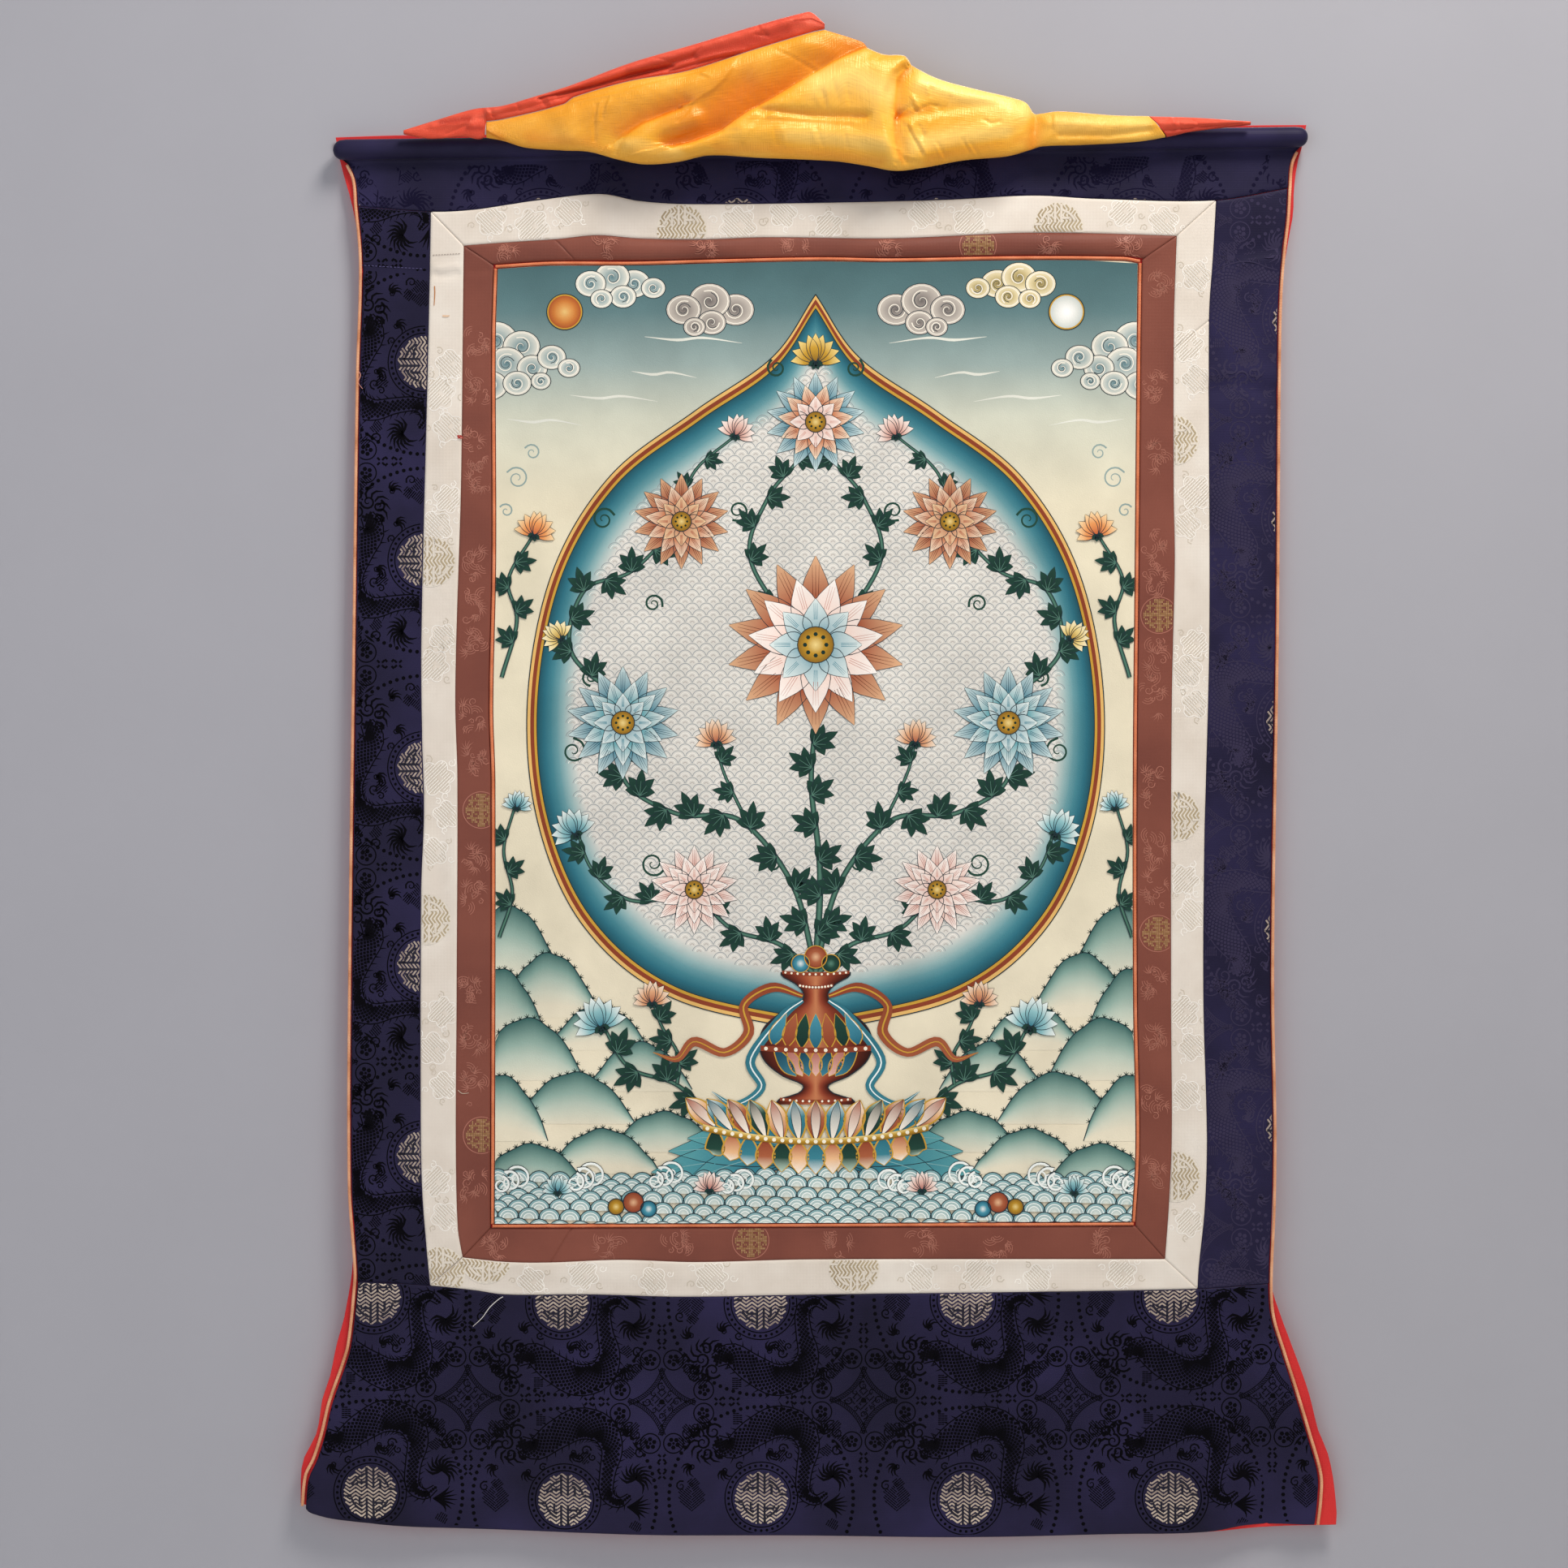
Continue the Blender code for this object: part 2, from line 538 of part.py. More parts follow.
def borders():
    """The cream and brown strips, and the canvas with its piping."""
    cream_lines = {
        "top": (TOP_SEAM, BROWN_HEAD),
        "bottom": (FOOT_SEAM, BROWN_FOOT),
        "left": (CREAM_LEFT, BROWN_LEFT),
        "right": (CREAM_RIGHT, BROWN_RIGHT),
    }
    border("cream", CREAM_CORNERS, BROWN_CORNERS, cream_lines, HALF_SEAM, LONG_CELLS, CREAM)
    brown_lines = {
        "top": (BROWN_HEAD, CANVAS_HEAD),
        "bottom": (BROWN_FOOT, CANVAS_FOOT),
        "left": (BROWN_LEFT, CANVAS_LEFT),
        "right": (BROWN_RIGHT, CANVAS_RIGHT),
    }
    border("brown", BROWN_CORNERS, CANVAS_CORNERS, brown_lines, PIPED_EDGE, BROWN_CELLS, BROWN, pucker)

    corners = CANVAS_CORNERS
    top = across(CANVAS_HEAD, corners["tl"], corners["tr"])
    bottom = across(CANVAS_FOOT, corners["bl"], corners["br"])
    left = down(CANVAS_LEFT, corners["tl"], corners["bl"])
    right = down(CANVAS_RIGHT, corners["tr"], corners["br"])
    panel("painting", patch(top, bottom, left, right), (PIPED_EDGE,) * 4, *CANVAS_CELLS, CANVAS)
    clear = PIPED_EDGE / math.dist(corners["tl"], corners["bl"])
    piping("piping_top", top, PIPING_POINTS["top"])
    piping("piping_bottom", bottom, PIPING_POINTS["bottom"])
    piping("piping_left", left, PIPING_POINTS["left"], clear, 1 - clear)
    piping("piping_right", right, PIPING_POINTS["right"], clear, 1 - clear)


def edge_pipings():
    """The pipings that finish the two outer edges, from the sleeve to the hem."""
    below_sleeve = 2 * SLEEVE_HALF_HEIGHT + EDGE_GAP + PIPING_RADIUS
    start_left = (0, sleeve_top(SLEEVE_LEFT) + below_sleeve)
    start_right = (0, sleeve_top(SLEEVE_RIGHT) + below_sleeve)
    piping("edge_piping_left", down(EDGE_LEFT, start_left, HEM_LEFT), PIPING_POINTS["edge"])
    piping("edge_piping_right", down(EDGE_RIGHT, start_right, HEM_RIGHT), PIPING_POINTS["edge"])


def lining():
    """The lining: one sheet behind everything, a little larger than the mounting."""
    corners = LINING_CORNERS
    cut = patch(
        across(LINING_HEAD, corners["tl"], corners["tr"]),
        across(LINING_HEM, corners["bl"], corners["br"]),
        down(LINING_LEFT, corners["tl"], corners["bl"]),
        down(LINING_RIGHT, corners["tr"], corners["br"]),
    )

    def surface(u, v):
        x, drop = cut(u, v)
        return place(x, drop, hang_lining(x, drop))

    rows = list(LINING_TOP_ROWS)
    for start, end, cells in (LINING_MIDDLE, LINING_SKIRT):
        rows += [between(start, end, i / cells) for i in range(cells + 1)]
    sheet("lining_back", surface, LINING_CELLS, rows, LINING_CLOTH, RED)


def fold_height(folds, x, drop):
    """The height that the folds' ridges and valleys add at a point of the silk."""
    total = 0.0
    for fold in folds:
        nearest = None
        line = fold["line"]
        for (ax, ad), (bx, bd) in zip(line, line[1:]):
            along_x, along_d = bx - ax, bd - ad
            length = math.hypot(along_x, along_d)
            share = ((x - ax) * along_x + (drop - ad) * along_d) / length ** 2
            kept = min(max(share, 0.0), 1.0)
            away = math.hypot(x - ax - kept * along_x, drop - ad - kept * along_d)
            side = (drop - ad) * along_x - (x - ax) * along_d
            if nearest is None or away < nearest[0]:
                nearest = (away, side)
        away, side = nearest
        reach = fold["right"] if side > 0 else fold["left"]
        total += fold["height"] * math.exp(-((away / reach) ** 2))
    return total


def stations(start, end, steps):
    """Shares of a width where the veil's cells meet: on one spacing in each of its pieces, and at steps."""
    first = math.ceil((start + VEIL_END_CELL) / VEIL_STEP)
    last = math.floor((end - VEIL_END_CELL) / VEIL_STEP)
    marks = [start, *steps, end] + [k * VEIL_STEP for k in range(first, last + 1)]
    return [(mark - start) / (end - start) for mark in sorted(marks)]


def swag(name, limits, steps, head, foot, front, back, over, under, rows, finish, folds=(), lean=()):
    """Silk hung as a bulging fold: over its head, down its front and back under its foot.

    over and under are the angles past the top and the bottom to which the silk goes on,
    as functions of x; lean slants an end, as rows of changes.
    """
    slant = stepped(lean)

    def surface(u, v):
        x = between(limits[0], limits[1], u)
        top, bottom = head(x), foot(x)
        near, far = back(x), front(x)
        angle = math.radians(between(-90 - over(x), 90 + under(x), v))
        reach = math.cos(angle)
        full = math.copysign(abs(reach) ** FULLNESS, reach)
        drop = between(top, bottom, 0.5 + 0.5 * math.sin(angle))
        depth = between(near, far, 0.5 + 0.5 * full)
        x += slant(x) * math.sin(angle)
        depth += fold_height(folds, x, drop) * max(reach, 0) ** 0.5
        return place(x, drop, depth)

    sheet(name, surface, stations(*limits, steps), rows, SILK, finish)


def veil():
    """The veil: yellow silk between two coral borders, gathered up to a point over the top."""
    shown = stepped(CORAL_SHOWN)

    def head(x):
        return veil_seam(x) if x < VEIL_SEAM[-1][0] else yellow_head(x)

    def lower(x):
        return coral_foot(x) if x < CORAL_FOOT[-1][0] else veil_seam(x) - SEAM_RISE

    def seam_depth(x):
        return 0.5 * (yellow_front(x) + yellow_back(x))

    def front(x):
        return between(CORAL_END_FRONT, seam_depth(x) + CORAL_STANDS, shown(x))

    def behind(x):
        return between(CORAL_END_BACK, seam_depth(x) - CORAL_STANDS, shown(x))

    limits = (YELLOW_FOOT[0][0], YELLOW_FOOT[-1][0])
    swag("veil_yellow", limits, YELLOW_STEPS, head, yellow_foot, yellow_front, yellow_back,
         stepped(YELLOW_OVER), stepped(YELLOW_UNDER), VEIL_CELLS["yellow"], YELLOW, FOLDS, LEAN)

    limits = (CORAL_HEAD[0][0], CORAL_HEAD[-1][0])
    swag("veil_coral_left", limits, CORAL_STEPS, coral_head, lower, front, behind,
         lambda x: CORAL_OVER, lambda x: 0, VEIL_CELLS["coral"], CORAL)

    limits = (RIGHT_HEAD[0][0], RIGHT_HEAD[-1][0])
    swag("veil_coral_right", limits, (), right_head, right_foot, right_front, right_back,
         lambda x: RIGHT_OVER, lambda x: RIGHT_UNDER, VEIL_CELLS["right"], CORAL, lean=LEAN)


def main():
    for obj in list(bpy.data.objects):
        bpy.data.objects.remove(obj, do_unlink=True)
    collection = bpy.data.collections.new(COLLECTION)
    bpy.context.scene.collection.children.link(collection)
    mounting()
    borders()
    edge_pipings()
    lining()
    veil()


main()
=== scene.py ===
"""The looks of a thangka scroll painting: its damask mounting, brocade borders, painted canvas,
pipings, lining and silk veil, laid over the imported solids.

Metres, +Z up. The front faces -Y and the wall is the plane Y = 0. The tables are in millimetres:
x is to the right, drop is down from the middle of the sleeve's top edge, and depth is out from
the wall.
"""

import math

import bpy
import numpy as np
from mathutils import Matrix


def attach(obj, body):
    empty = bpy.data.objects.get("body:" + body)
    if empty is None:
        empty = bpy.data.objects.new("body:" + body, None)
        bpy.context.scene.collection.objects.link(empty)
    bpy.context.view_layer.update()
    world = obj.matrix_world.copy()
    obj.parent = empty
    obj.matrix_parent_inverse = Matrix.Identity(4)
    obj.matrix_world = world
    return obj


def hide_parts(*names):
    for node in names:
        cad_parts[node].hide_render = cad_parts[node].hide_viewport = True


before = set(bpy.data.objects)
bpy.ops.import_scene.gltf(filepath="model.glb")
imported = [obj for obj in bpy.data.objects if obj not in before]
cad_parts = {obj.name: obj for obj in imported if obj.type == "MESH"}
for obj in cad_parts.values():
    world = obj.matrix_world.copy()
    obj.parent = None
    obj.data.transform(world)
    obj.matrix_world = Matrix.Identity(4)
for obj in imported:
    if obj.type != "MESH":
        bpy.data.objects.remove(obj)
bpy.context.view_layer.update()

# ---------------------------------------------------------------- camera
# The camera looks straight at the mounting from over three metres away, so that its sides
# run nearly without perspective, and its view is as wide as the photograph's.
MM = 0.001
VIEW_WIDTH = 1449.0
VIEW_MIDDLE = (-29.25, 601.5)
CAMERA_DISTANCE = 3200.0
MOUNTING_DEPTH = 12.0
SENSOR_WIDTH = 36.0

bpy.ops.object.camera_add(
    location=(VIEW_MIDDLE[0] * MM, -CAMERA_DISTANCE * MM, -VIEW_MIDDLE[1] * MM),
    rotation=(math.pi / 2, 0, 0),
)
camera = bpy.context.object
camera.data.sensor_width = SENSOR_WIDTH
camera.data.lens = SENSOR_WIDTH * (CAMERA_DISTANCE - MOUNTING_DEPTH) / VIEW_WIDTH
bpy.context.scene.camera = camera
bpy.context.scene.view_settings.view_transform = "Standard"

# ---------------------------------------------------------------- studio
# A pale floor, a plain grey backdrop close behind the cloth, and soft light from large
# panels. The backdrop is painted on its front alone, so the lining shows from behind.
FLOOR_DROP = 1640.0
FLOOR_SIZE = 9000.0
BACKDROP_HEIGHT = 4200.0
BACKDROP_WIDTH = 7000.0
BACKDROP_DEPTH = -3.0
ROLLER_MOTTLE = (0.96, 1.03)
WORLD_STRENGTH = 0.45


def linear(code):
    """An sRGB hex colour as linear values."""
    channels = [int(code[i:i + 2], 16) / 255 for i in (0, 2, 4)]
    return tuple(c / 12.92 if c <= 0.04045 else ((c + 0.055) / 1.055) ** 2.4 for c in channels) + (1.0,)


def add_node(material, kind, inputs=(), **settings):
    """A node with its settings, and its inputs as values or as links, (node, output)."""
    node = material.node_tree.nodes.new("ShaderNode" + kind)
    for name, value in settings.items():
        setattr(node, name, value)
    for name, value in dict(inputs).items():
        if isinstance(value, tuple) and isinstance(value[0], bpy.types.Node):
            material.node_tree.links.new(value[0].outputs[value[1]], node.inputs[name])
        else:
            node.inputs[name].default_value = value
    return node


def new_material(name):
    """An empty node material."""
    material = bpy.data.materials.new(name)
    material.use_nodes = True
    material.node_tree.nodes.clear()
    return material


def matt_paint(name, colour, roughness):
    """Matt wall paint, with a faint mottle from the roller, and the shader that it ends in."""
    material = new_material(name)
    place = add_node(material, "TexCoord")
    mottle = add_node(material, "TexNoise", {"Vector": (place, "Object"), "Scale": 6.0, "Detail": 4.0})
    tone = add_node(material, "ValToRGB", {"Fac": (mottle, "Fac")})
    for stop, share in zip(tone.color_ramp.elements, ROLLER_MOTTLE):
        stop.color = [share * channel for channel in linear(colour)[:3]] + [1]
    shader = add_node(material, "BsdfPrincipled", {"Base Color": (tone, "Color"), "Roughness": roughness})
    return material, shader


bpy.ops.object.select_all(action="DESELECT")
bpy.ops.mesh.primitive_plane_add(size=FLOOR_SIZE * MM, location=(0, 0, -FLOOR_DROP * MM))
studio_floor = bpy.context.object
studio_floor.name = "studio_floor"
floor_paint, floor_shader = matt_paint("pale_floor_paint", "d9d8d6", 0.7)
add_node(floor_paint, "OutputMaterial", {"Surface": (floor_shader, "BSDF")})
studio_floor.data.materials.append(floor_paint)

bpy.ops.mesh.primitive_plane_add(size=1, rotation=(math.pi / 2, 0, 0))
studio_backdrop = bpy.context.object
studio_backdrop.name = "studio_backdrop"
studio_backdrop.scale = (BACKDROP_WIDTH * MM, BACKDROP_HEIGHT * MM, 1)
studio_backdrop.location = (0, -BACKDROP_DEPTH * MM, (BACKDROP_HEIGHT / 2 - FLOOR_DROP) * MM)
bpy.ops.object.transform_apply(location=True, rotation=True, scale=True)
backdrop_paint, backdrop_shader = matt_paint("grey_backdrop_paint", "a4a4ab", 0.8)
see_through = add_node(backdrop_paint, "BsdfTransparent")
facing = add_node(backdrop_paint, "NewGeometry")
one_sided = add_node(
    backdrop_paint, "MixShader",
    {0: (facing, "Backfacing"), 1: (backdrop_shader, "BSDF"), 2: (see_through, "BSDF")},
)
add_node(backdrop_paint, "OutputMaterial", {"Surface": (one_sided, "Shader")})
studio_backdrop.data.materials.append(backdrop_paint)
studio_backdrop.visible_shadow = False
studio_backdrop.visible_diffuse = False
studio_backdrop.visible_glossy = False

# Light panels: name, place, what it is aimed at, side, watts, colour
LIGHT_PANELS = [
    ("key_panel", (1.1, -1.5, 2.2), (0, 0, -0.45), 1.0, 96, "fff8f0"),
    ("fill_panel", (-1.6, -2.8, -0.3), (0, 0, -0.65), 2.4, 22, "f3f6ff"),
    ("back_panel", (0.8, 2.4, 0.9), (0, 0, -0.65), 2.2, 40, "ffffff"),
]
for name, spot, aim, side, watts, tint in LIGHT_PANELS:
    way = np.array(aim) - np.array(spot)
    flat_way = math.hypot(way[0], way[1])
    turn = (math.atan2(flat_way, -way[2]), 0, math.atan2(way[1], way[0]) - math.pi / 2)
    bpy.ops.object.light_add(type="AREA", location=spot, rotation=turn)
    panel_light = bpy.context.object
    panel_light.name = name
    panel_light.data.size = side
    panel_light.data.energy = watts
    panel_light.data.color = linear(tint)[:3]

world = bpy.data.worlds.new("soft_room")
bpy.context.scene.world = world
world.use_nodes = True
room_light = world.node_tree.nodes["Background"]
room_light.inputs["Color"].default_value = linear("f2f3f6")
room_light.inputs["Strength"].default_value = WORLD_STRENGTH

# ---------------------------------------------------------------- red lining
# Plain red cotton behind the whole mounting, cut a little wider than it, so that it shows past
# the pipings. All cloth hangs on one shape: bowed off the wall, with soft flutes in the skirt.
LINING_CLOTH = 1.0
LINING_BEHIND = 2.6
# The drops between which the lining comes away from the sleeve's back to the mounting's
BEHIND_SLEEVE = 1.2
SLEEVE_LEFT_BEHIND = (22, 50)
LINING_CELL = 11.0
LINING_SIZE = (940, 1290)
# Ripples of the loose lining: height, and length over tau across and down; and where they set in
LINING_RIPPLES = [(0.5, 31, 47), (0.4, -83, 29)]
RIPPLES_SET_IN = (60, 140)
RIPPLE_SHARE = 0.8
# Distances from a seam or an edge at which the cloth's finer cells meet
SEAM_CELLS = (0, 0.5, 1.1, 1.9, 3.2)
OUTLINE_POINTS = 60
LINING_CORNERS = {"tl": (-445, 2), "tr": (455, -9.5), "bl": (-476, 1266), "br": (481, 1286)}
LINING_HEAD = [(-445, 2), (-379, 0), (0, -1.5), (398, -9), (455, -9.5)]
LINING_HEM = [(-476, 1266), (-436, 1279), (-356, 1286), (0, 1294), (286, 1293), (357, 1292), (403, 1289),
              (481, 1286)]
LINING_LEFT = [(2, -445), (23, -441), (38, -437), (66, -429), (110, -422), (222, -424), (462, -427),
               (777, -430), (970, -430), (1040, -427), (1093, -435), (1118, -442), (1151, -449),
               (1167, -455), (1201, -461), (1228, -474), (1266, -476)]
LINING_RIGHT = [(-9.5, 455), (9, 451.5), (25, 447), (50, 443), (74, 442), (96, 438), (150, 430.5),
                (222, 429), (462, 427), (734, 424), (920, 424), (1062, 420.5), (1089, 428), (1112, 436.5),
                (1161, 454.5), (1201, 465), (1216, 472), (1242, 478), (1275, 481.5), (1286, 481)]

# How the mounting stands off the wall: (drop, depth) at its edges, and (drop, bow) amid it
EDGE_DEPTH = [(0, 6.5), (24, 6.5), (45, 7.5), (72, 9), (192, 8), (460, 10), (660, 12), (800, 14),
              (935, 16), (1065, 19), (1180, 17), (1296, 14)]
BOW = [(24, 0), (200, 3), (700, 4), (1065, 3), (1296, 1)]
BOW_HALF_WIDTH = 440.0

# Soft flutes of the skirt: (x at the hem, half width, height)
FLUTES = [(-405, 75, 4.0), (-290, 80, -3.0), (-160, 85, 3.0), (-20, 90, -2.0), (120, 85, 2.5),
          (250, 80, -2.5), (352, 70, 3.5), (428, 60, -3.5)]
FLUTES_START = 1045.0
FLUTES_FULL = 1230.0
HEM_HALF_WIDTH = 470.0
SEAM_HALF_WIDTH = 424.0

# Creases of the mounting: height, reach to the left of the line's way and to its right, (x, drop) points
CREASES = [
    (-1.3, 5, 7, ((-428, 126), (-395, 127), (-361, 128))),
    (1.4, 2.6, 2.6, ((-350, 125), (-341, 124.5), (-332, 123.5))),
    (-1.5, 2.8, 4, ((-350, 131), (-341, 130.5), (-332, 128))),
    (-0.7, 3, 3, ((-318, 128), (-303, 126))),
    (-1.5, 6, 5, ((396, 112), (436, 105))),
    (1.0, 5, 6, ((396, 120), (434, 113))),
    (-1.3, 7, 9, ((366, 236), (395, 231), (428, 240))),
    (1.0, 6, 7, ((368, 222), (428, 224))),
    (-0.9, 10, 10, ((-428, 560), (-366, 548))),
    (0.8, 12, 12, ((-430, 812), (-366, 800))),
    (-0.9, 10, 12, ((360, 640), (424, 655))),
    (0.8, 10, 10, ((362, 930), (424, 918))),
    (-1.0, 9, 9, ((-430, 1006), (-364, 1020))),
    (1.4, 9, 14, ((415, 1066), (431, 1140), (452, 1282))),
    (-1.6, 8, 10, ((398, 1064), (404, 1150), (417, 1288))),
    (1.2, 12, 10, ((-410, 1066), (-430, 1160), (-446, 1280))),
    (-1.2, 9, 9, ((-392, 1066), (-402, 1180), (-412, 1284))),
    (-0.9, 14, 14, ((-300, 1072), (-310, 1180))),
    (-0.8, 16, 16, ((60, 1074), (52, 1200))),
    (-0.8, 12, 12, ((212, 1074), (226, 1210))),
    (0.8, 7, 9, ((-345, 250), (-344, 330), (-348, 420))),
    (-0.7, 8, 8, ((350, 300), (346, 380), (349, 470))),
    (0.7, 8, 8, ((342, 720), (344, 800))),
    (-0.7, 8, 8, ((-348, 640), (-345, 740))),
    (0.8, 14, 6, ((-270, 1050), (-180, 1058), (-80, 1056))),
    (-0.8, 8, 8, ((80, 1056), (180, 1052), (300, 1055))),
]


def between(a, b, share):
    return a + (b - a) * share


def eased(value, start, end):
    """0 before start, 1 after end, and a smooth rise from one to the other."""
    share = np.clip((value - start) / (end - start), 0, 1)
    return share * share * (3 - 2 * share)


def line_through(rows):
    """A smooth curve through rows of (key, value), as a function of the key."""
    keys, values = np.array(rows, float).T
    last = len(rows) - 1
    low = np.maximum(np.arange(last + 1) - 1, 0)
    high = np.minimum(np.arange(last + 1) + 1, last)
    slopes = (values[high] - values[low]) / (keys[high] - keys[low])

    def at(key):
        key = np.clip(key, keys[0], keys[-1])
        i = np.clip(np.searchsorted(keys, key, side="left") - 1, 0, last - 1)
        step = keys[i + 1] - keys[i]
        t = (key - keys[i]) / step
        rise = values[i + 1] - values[i]
        start, end = slopes[i] * step, slopes[i + 1] * step
        return values[i] + t * (start + t * ((3 * rise - 2 * start - end) + t * (start + end - 2 * rise)))

    return at


def ridges(table, x, drop, power=2.0):
    """The height that ridges and valleys along lines add at points of a cloth.

    A power of 2 makes them rounded; one near 1 makes them sharp, like a pressed crease.
    """
    total = np.zeros(np.broadcast(x, drop).shape)
    for height, left, right, points in table:
        nearest = np.full(total.shape, np.inf)
        side = np.zeros(total.shape)
        for (ax, ad), (bx, bd) in zip(points, points[1:]):
            length = math.hypot(bx - ax, bd - ad)
            along_x, along_d = (bx - ax) / length, (bd - ad) / length
            kept = np.clip((x - ax) * along_x + (drop - ad) * along_d, 0, length)
            away = np.hypot(x - ax - kept * along_x, drop - ad - kept * along_d)
            turn = (drop - ad) * along_x - (x - ax) * along_d
            side = np.where(away < nearest, turn, side)
            nearest = np.minimum(away, nearest)
        total += height * np.exp(-((nearest / np.where(side > 0, right, left)) ** power))
    return total


edge_depth = line_through(EDGE_DEPTH)
bow = line_through(BOW)


def hang(x, drop):
    """How far the front of the mounting stands off the wall, but for its creases."""
    middle = np.maximum(0, 1 - (x / BOW_HALF_WIDTH) ** 2)
    depth = edge_depth(drop) + bow(drop) * middle
    strength = eased(drop, FLUTES_START, FLUTES_FULL)
    spread = between(SEAM_HALF_WIDTH, HEM_HALF_WIDTH, strength) / HEM_HALF_WIDTH
    for centre, half_width, height in FLUTES:
        away = np.minimum(np.abs(x / spread - centre) / half_width, 1)
        depth = depth + strength * height * 0.5 * (1 + np.cos(math.pi * away))
    return depth


def across(line, start, end):
    """A side of a piece that follows a line from left to right, from 0 to 1."""
    follow = line_through(line)

    def at(share):
        x = between(start[0], end[0], share)
        return x, follow(x)

    return at


def down(line, start, end):
    """A side of a piece that follows a line from top to bottom, from 0 to 1."""
    follow = line_through(line)

    def at(share):
        drop = between(start[1], end[1], share)
        return follow(drop), drop

    return at


def patch(top, bottom, left, right):
    """The flat cut between four sides, as a function of two shares."""
    def at(u, v):
        point = []
        for k in range(2):
            ruled = between(top(u)[k], bottom(u)[k], v) + between(left(v)[k], right(v)[k], u)
            corners = between(between(top(0)[k], top(1)[k], u), between(bottom(0)[k], bottom(1)[k], u), v)
            point.append(ruled - corners)
        return point

    return at


def cut_along(lines, corners):
    """The flat cut inside four lines: top, bottom, left and right, with its corners row by row."""
    (top, bottom, left, right), (tl, tr, bl, br) = lines, corners
    return patch(across(top, tl, tr), across(bottom, bl, br), down(left, tl, bl), down(right, tr, br))


def marks(length, cell, seams=()):
    """Shares of a length where cells meet: even ones, and finer ones beside its ends and its seams."""
    beside = np.array(SEAM_CELLS)
    by_seams = [seam + side * beside for seam in seams for side in (1, -1)]
    fine = np.unique(np.round(np.concatenate([beside, length - beside] + by_seams), 6))
    even = np.linspace(0, length, math.ceil(length / cell) + 1)
    clear = np.abs(even[:, None] - fine).min(1) > 0.3 * cell
    return np.sort(np.concatenate([fine, even[clear]])) / length


def points_of(piece):
    """A piece's mesh points, one a row."""
    points = np.empty(3 * len(piece.data.vertices))
    piece.data.vertices.foreach_get("co", points)
    return points.reshape(-1, 3)


def cloth(name, surface, columns, rows, thickness, size):
    """A grid laid on a surface of two shares, given its thickness behind its front.

    The surface gives x, drop and depth; size is its flat width and height, for its UV map.
    """
    bpy.ops.object.select_all(action="DESELECT")
    across_cells, down_cells = len(columns) - 1, len(rows) - 1
    bpy.ops.mesh.primitive_grid_add(x_subdivisions=across_cells, y_subdivisions=down_cells, size=1)
    piece = bpy.context.object
    piece.name = name
    points = points_of(piece)
    u = columns[np.rint((points[:, 0] + 0.5) * across_cells).astype(int)]
    v = rows[np.rint((0.5 - points[:, 1]) * down_cells).astype(int)]
    x, drop, depth = surface(u, v)
    piece.data.vertices.foreach_set("co", (np.stack([x, -depth, -drop], 1) * MM).ravel())
    corners = np.empty(len(piece.data.loops), int)
    piece.data.loops.foreach_get("vertex_index", corners)
    flat = np.stack([u * size[0], (1 - v) * size[1]], 1) * MM
    piece.data.uv_layers[0].data.foreach_set("uv", flat[corners].ravel())
    bpy.ops.object.shade_smooth()
    if thickness:
        wall = piece.modifiers.new("thickness", "SOLIDIFY")
        wall.thickness = thickness * MM
        wall.offset = -1
        bpy.ops.object.modifier_apply(modifier=wall.name)
    return piece


def flat_size(cut):
    """A flat cut's width, height and area in metres, from its outline."""
    share = np.linspace(0, 1, OUTLINE_POINTS)
    start, end = np.zeros(OUTLINE_POINTS), np.ones(OUTLINE_POINTS)
    sides = [cut(share, start), cut(end, share), cut(share[::-1], end), cut(start, share[::-1])]
    outline = [np.concatenate([np.broadcast_to(side[k], OUTLINE_POINTS) for side in sides]) for k in (0, 1)]
    x, drop = (part * MM for part in outline)
    area = 0.5 * abs(float((x * np.roll(drop, -1) - drop * np.roll(x, -1)).sum()))
    return (float(np.ptp(x)), float(np.ptp(drop))), area


def woven(name, tones, roughness, gloss, threads, relief, axes="XZ", mottle=9.0):
    """Woven cloth: its dye mottled from shade over its own tone to light, with its threads' relief.

    gloss is both how strongly it mirrors light and its sheen; threads are their spacings in
    millimetres along the two axes of the cloth.
    """
    material = new_material(name)
    spot = add_node(material, "TexCoord")
    source = (spot, "Object") if axes == "XZ" else (spot, "UV")
    cloudy = add_node(material, "TexNoise", {"Vector": source, "Scale": mottle, "Detail": 6.0})
    dye = add_node(material, "ValToRGB", {"Fac": (cloudy, "Fac")})
    dye.color_ramp.elements.new(0.5)
    for stop, place, tone in zip(dye.color_ramp.elements, (0.3, 0.5, 0.72), tones):
        stop.position = place
        stop.color = linear(tone)
    waves = [
        add_node(
            material, "TexWave",
            {"Vector": source, "Scale": math.tau / 20 / (spacing * MM), "Distortion": 0.6,
             "Detail": 2.0, "Detail Scale": 1.5},
            bands_direction=axis,
        )
        for axis, spacing in zip(axes, threads)
    ]
    crossed = add_node(material, "Math", {0: (waves[0], "Fac"), 1: (waves[1], "Fac")}, operation="MULTIPLY")
    bump = add_node(material, "Bump", {"Height": (crossed, "Value"), "Strength": relief, "Distance": 0.0003})
    shader = add_node(
        material, "BsdfPrincipled",
        {"Base Color": (dye, "Color"), "Roughness": roughness, "Specular IOR Level": gloss,
         "Sheen Weight": 0.4 * gloss, "Sheen Roughness": 0.4, "Normal": (bump, "Normal")},
    )
    add_node(material, "OutputMaterial", {"Surface": (shader, "BSDF")})
    return material


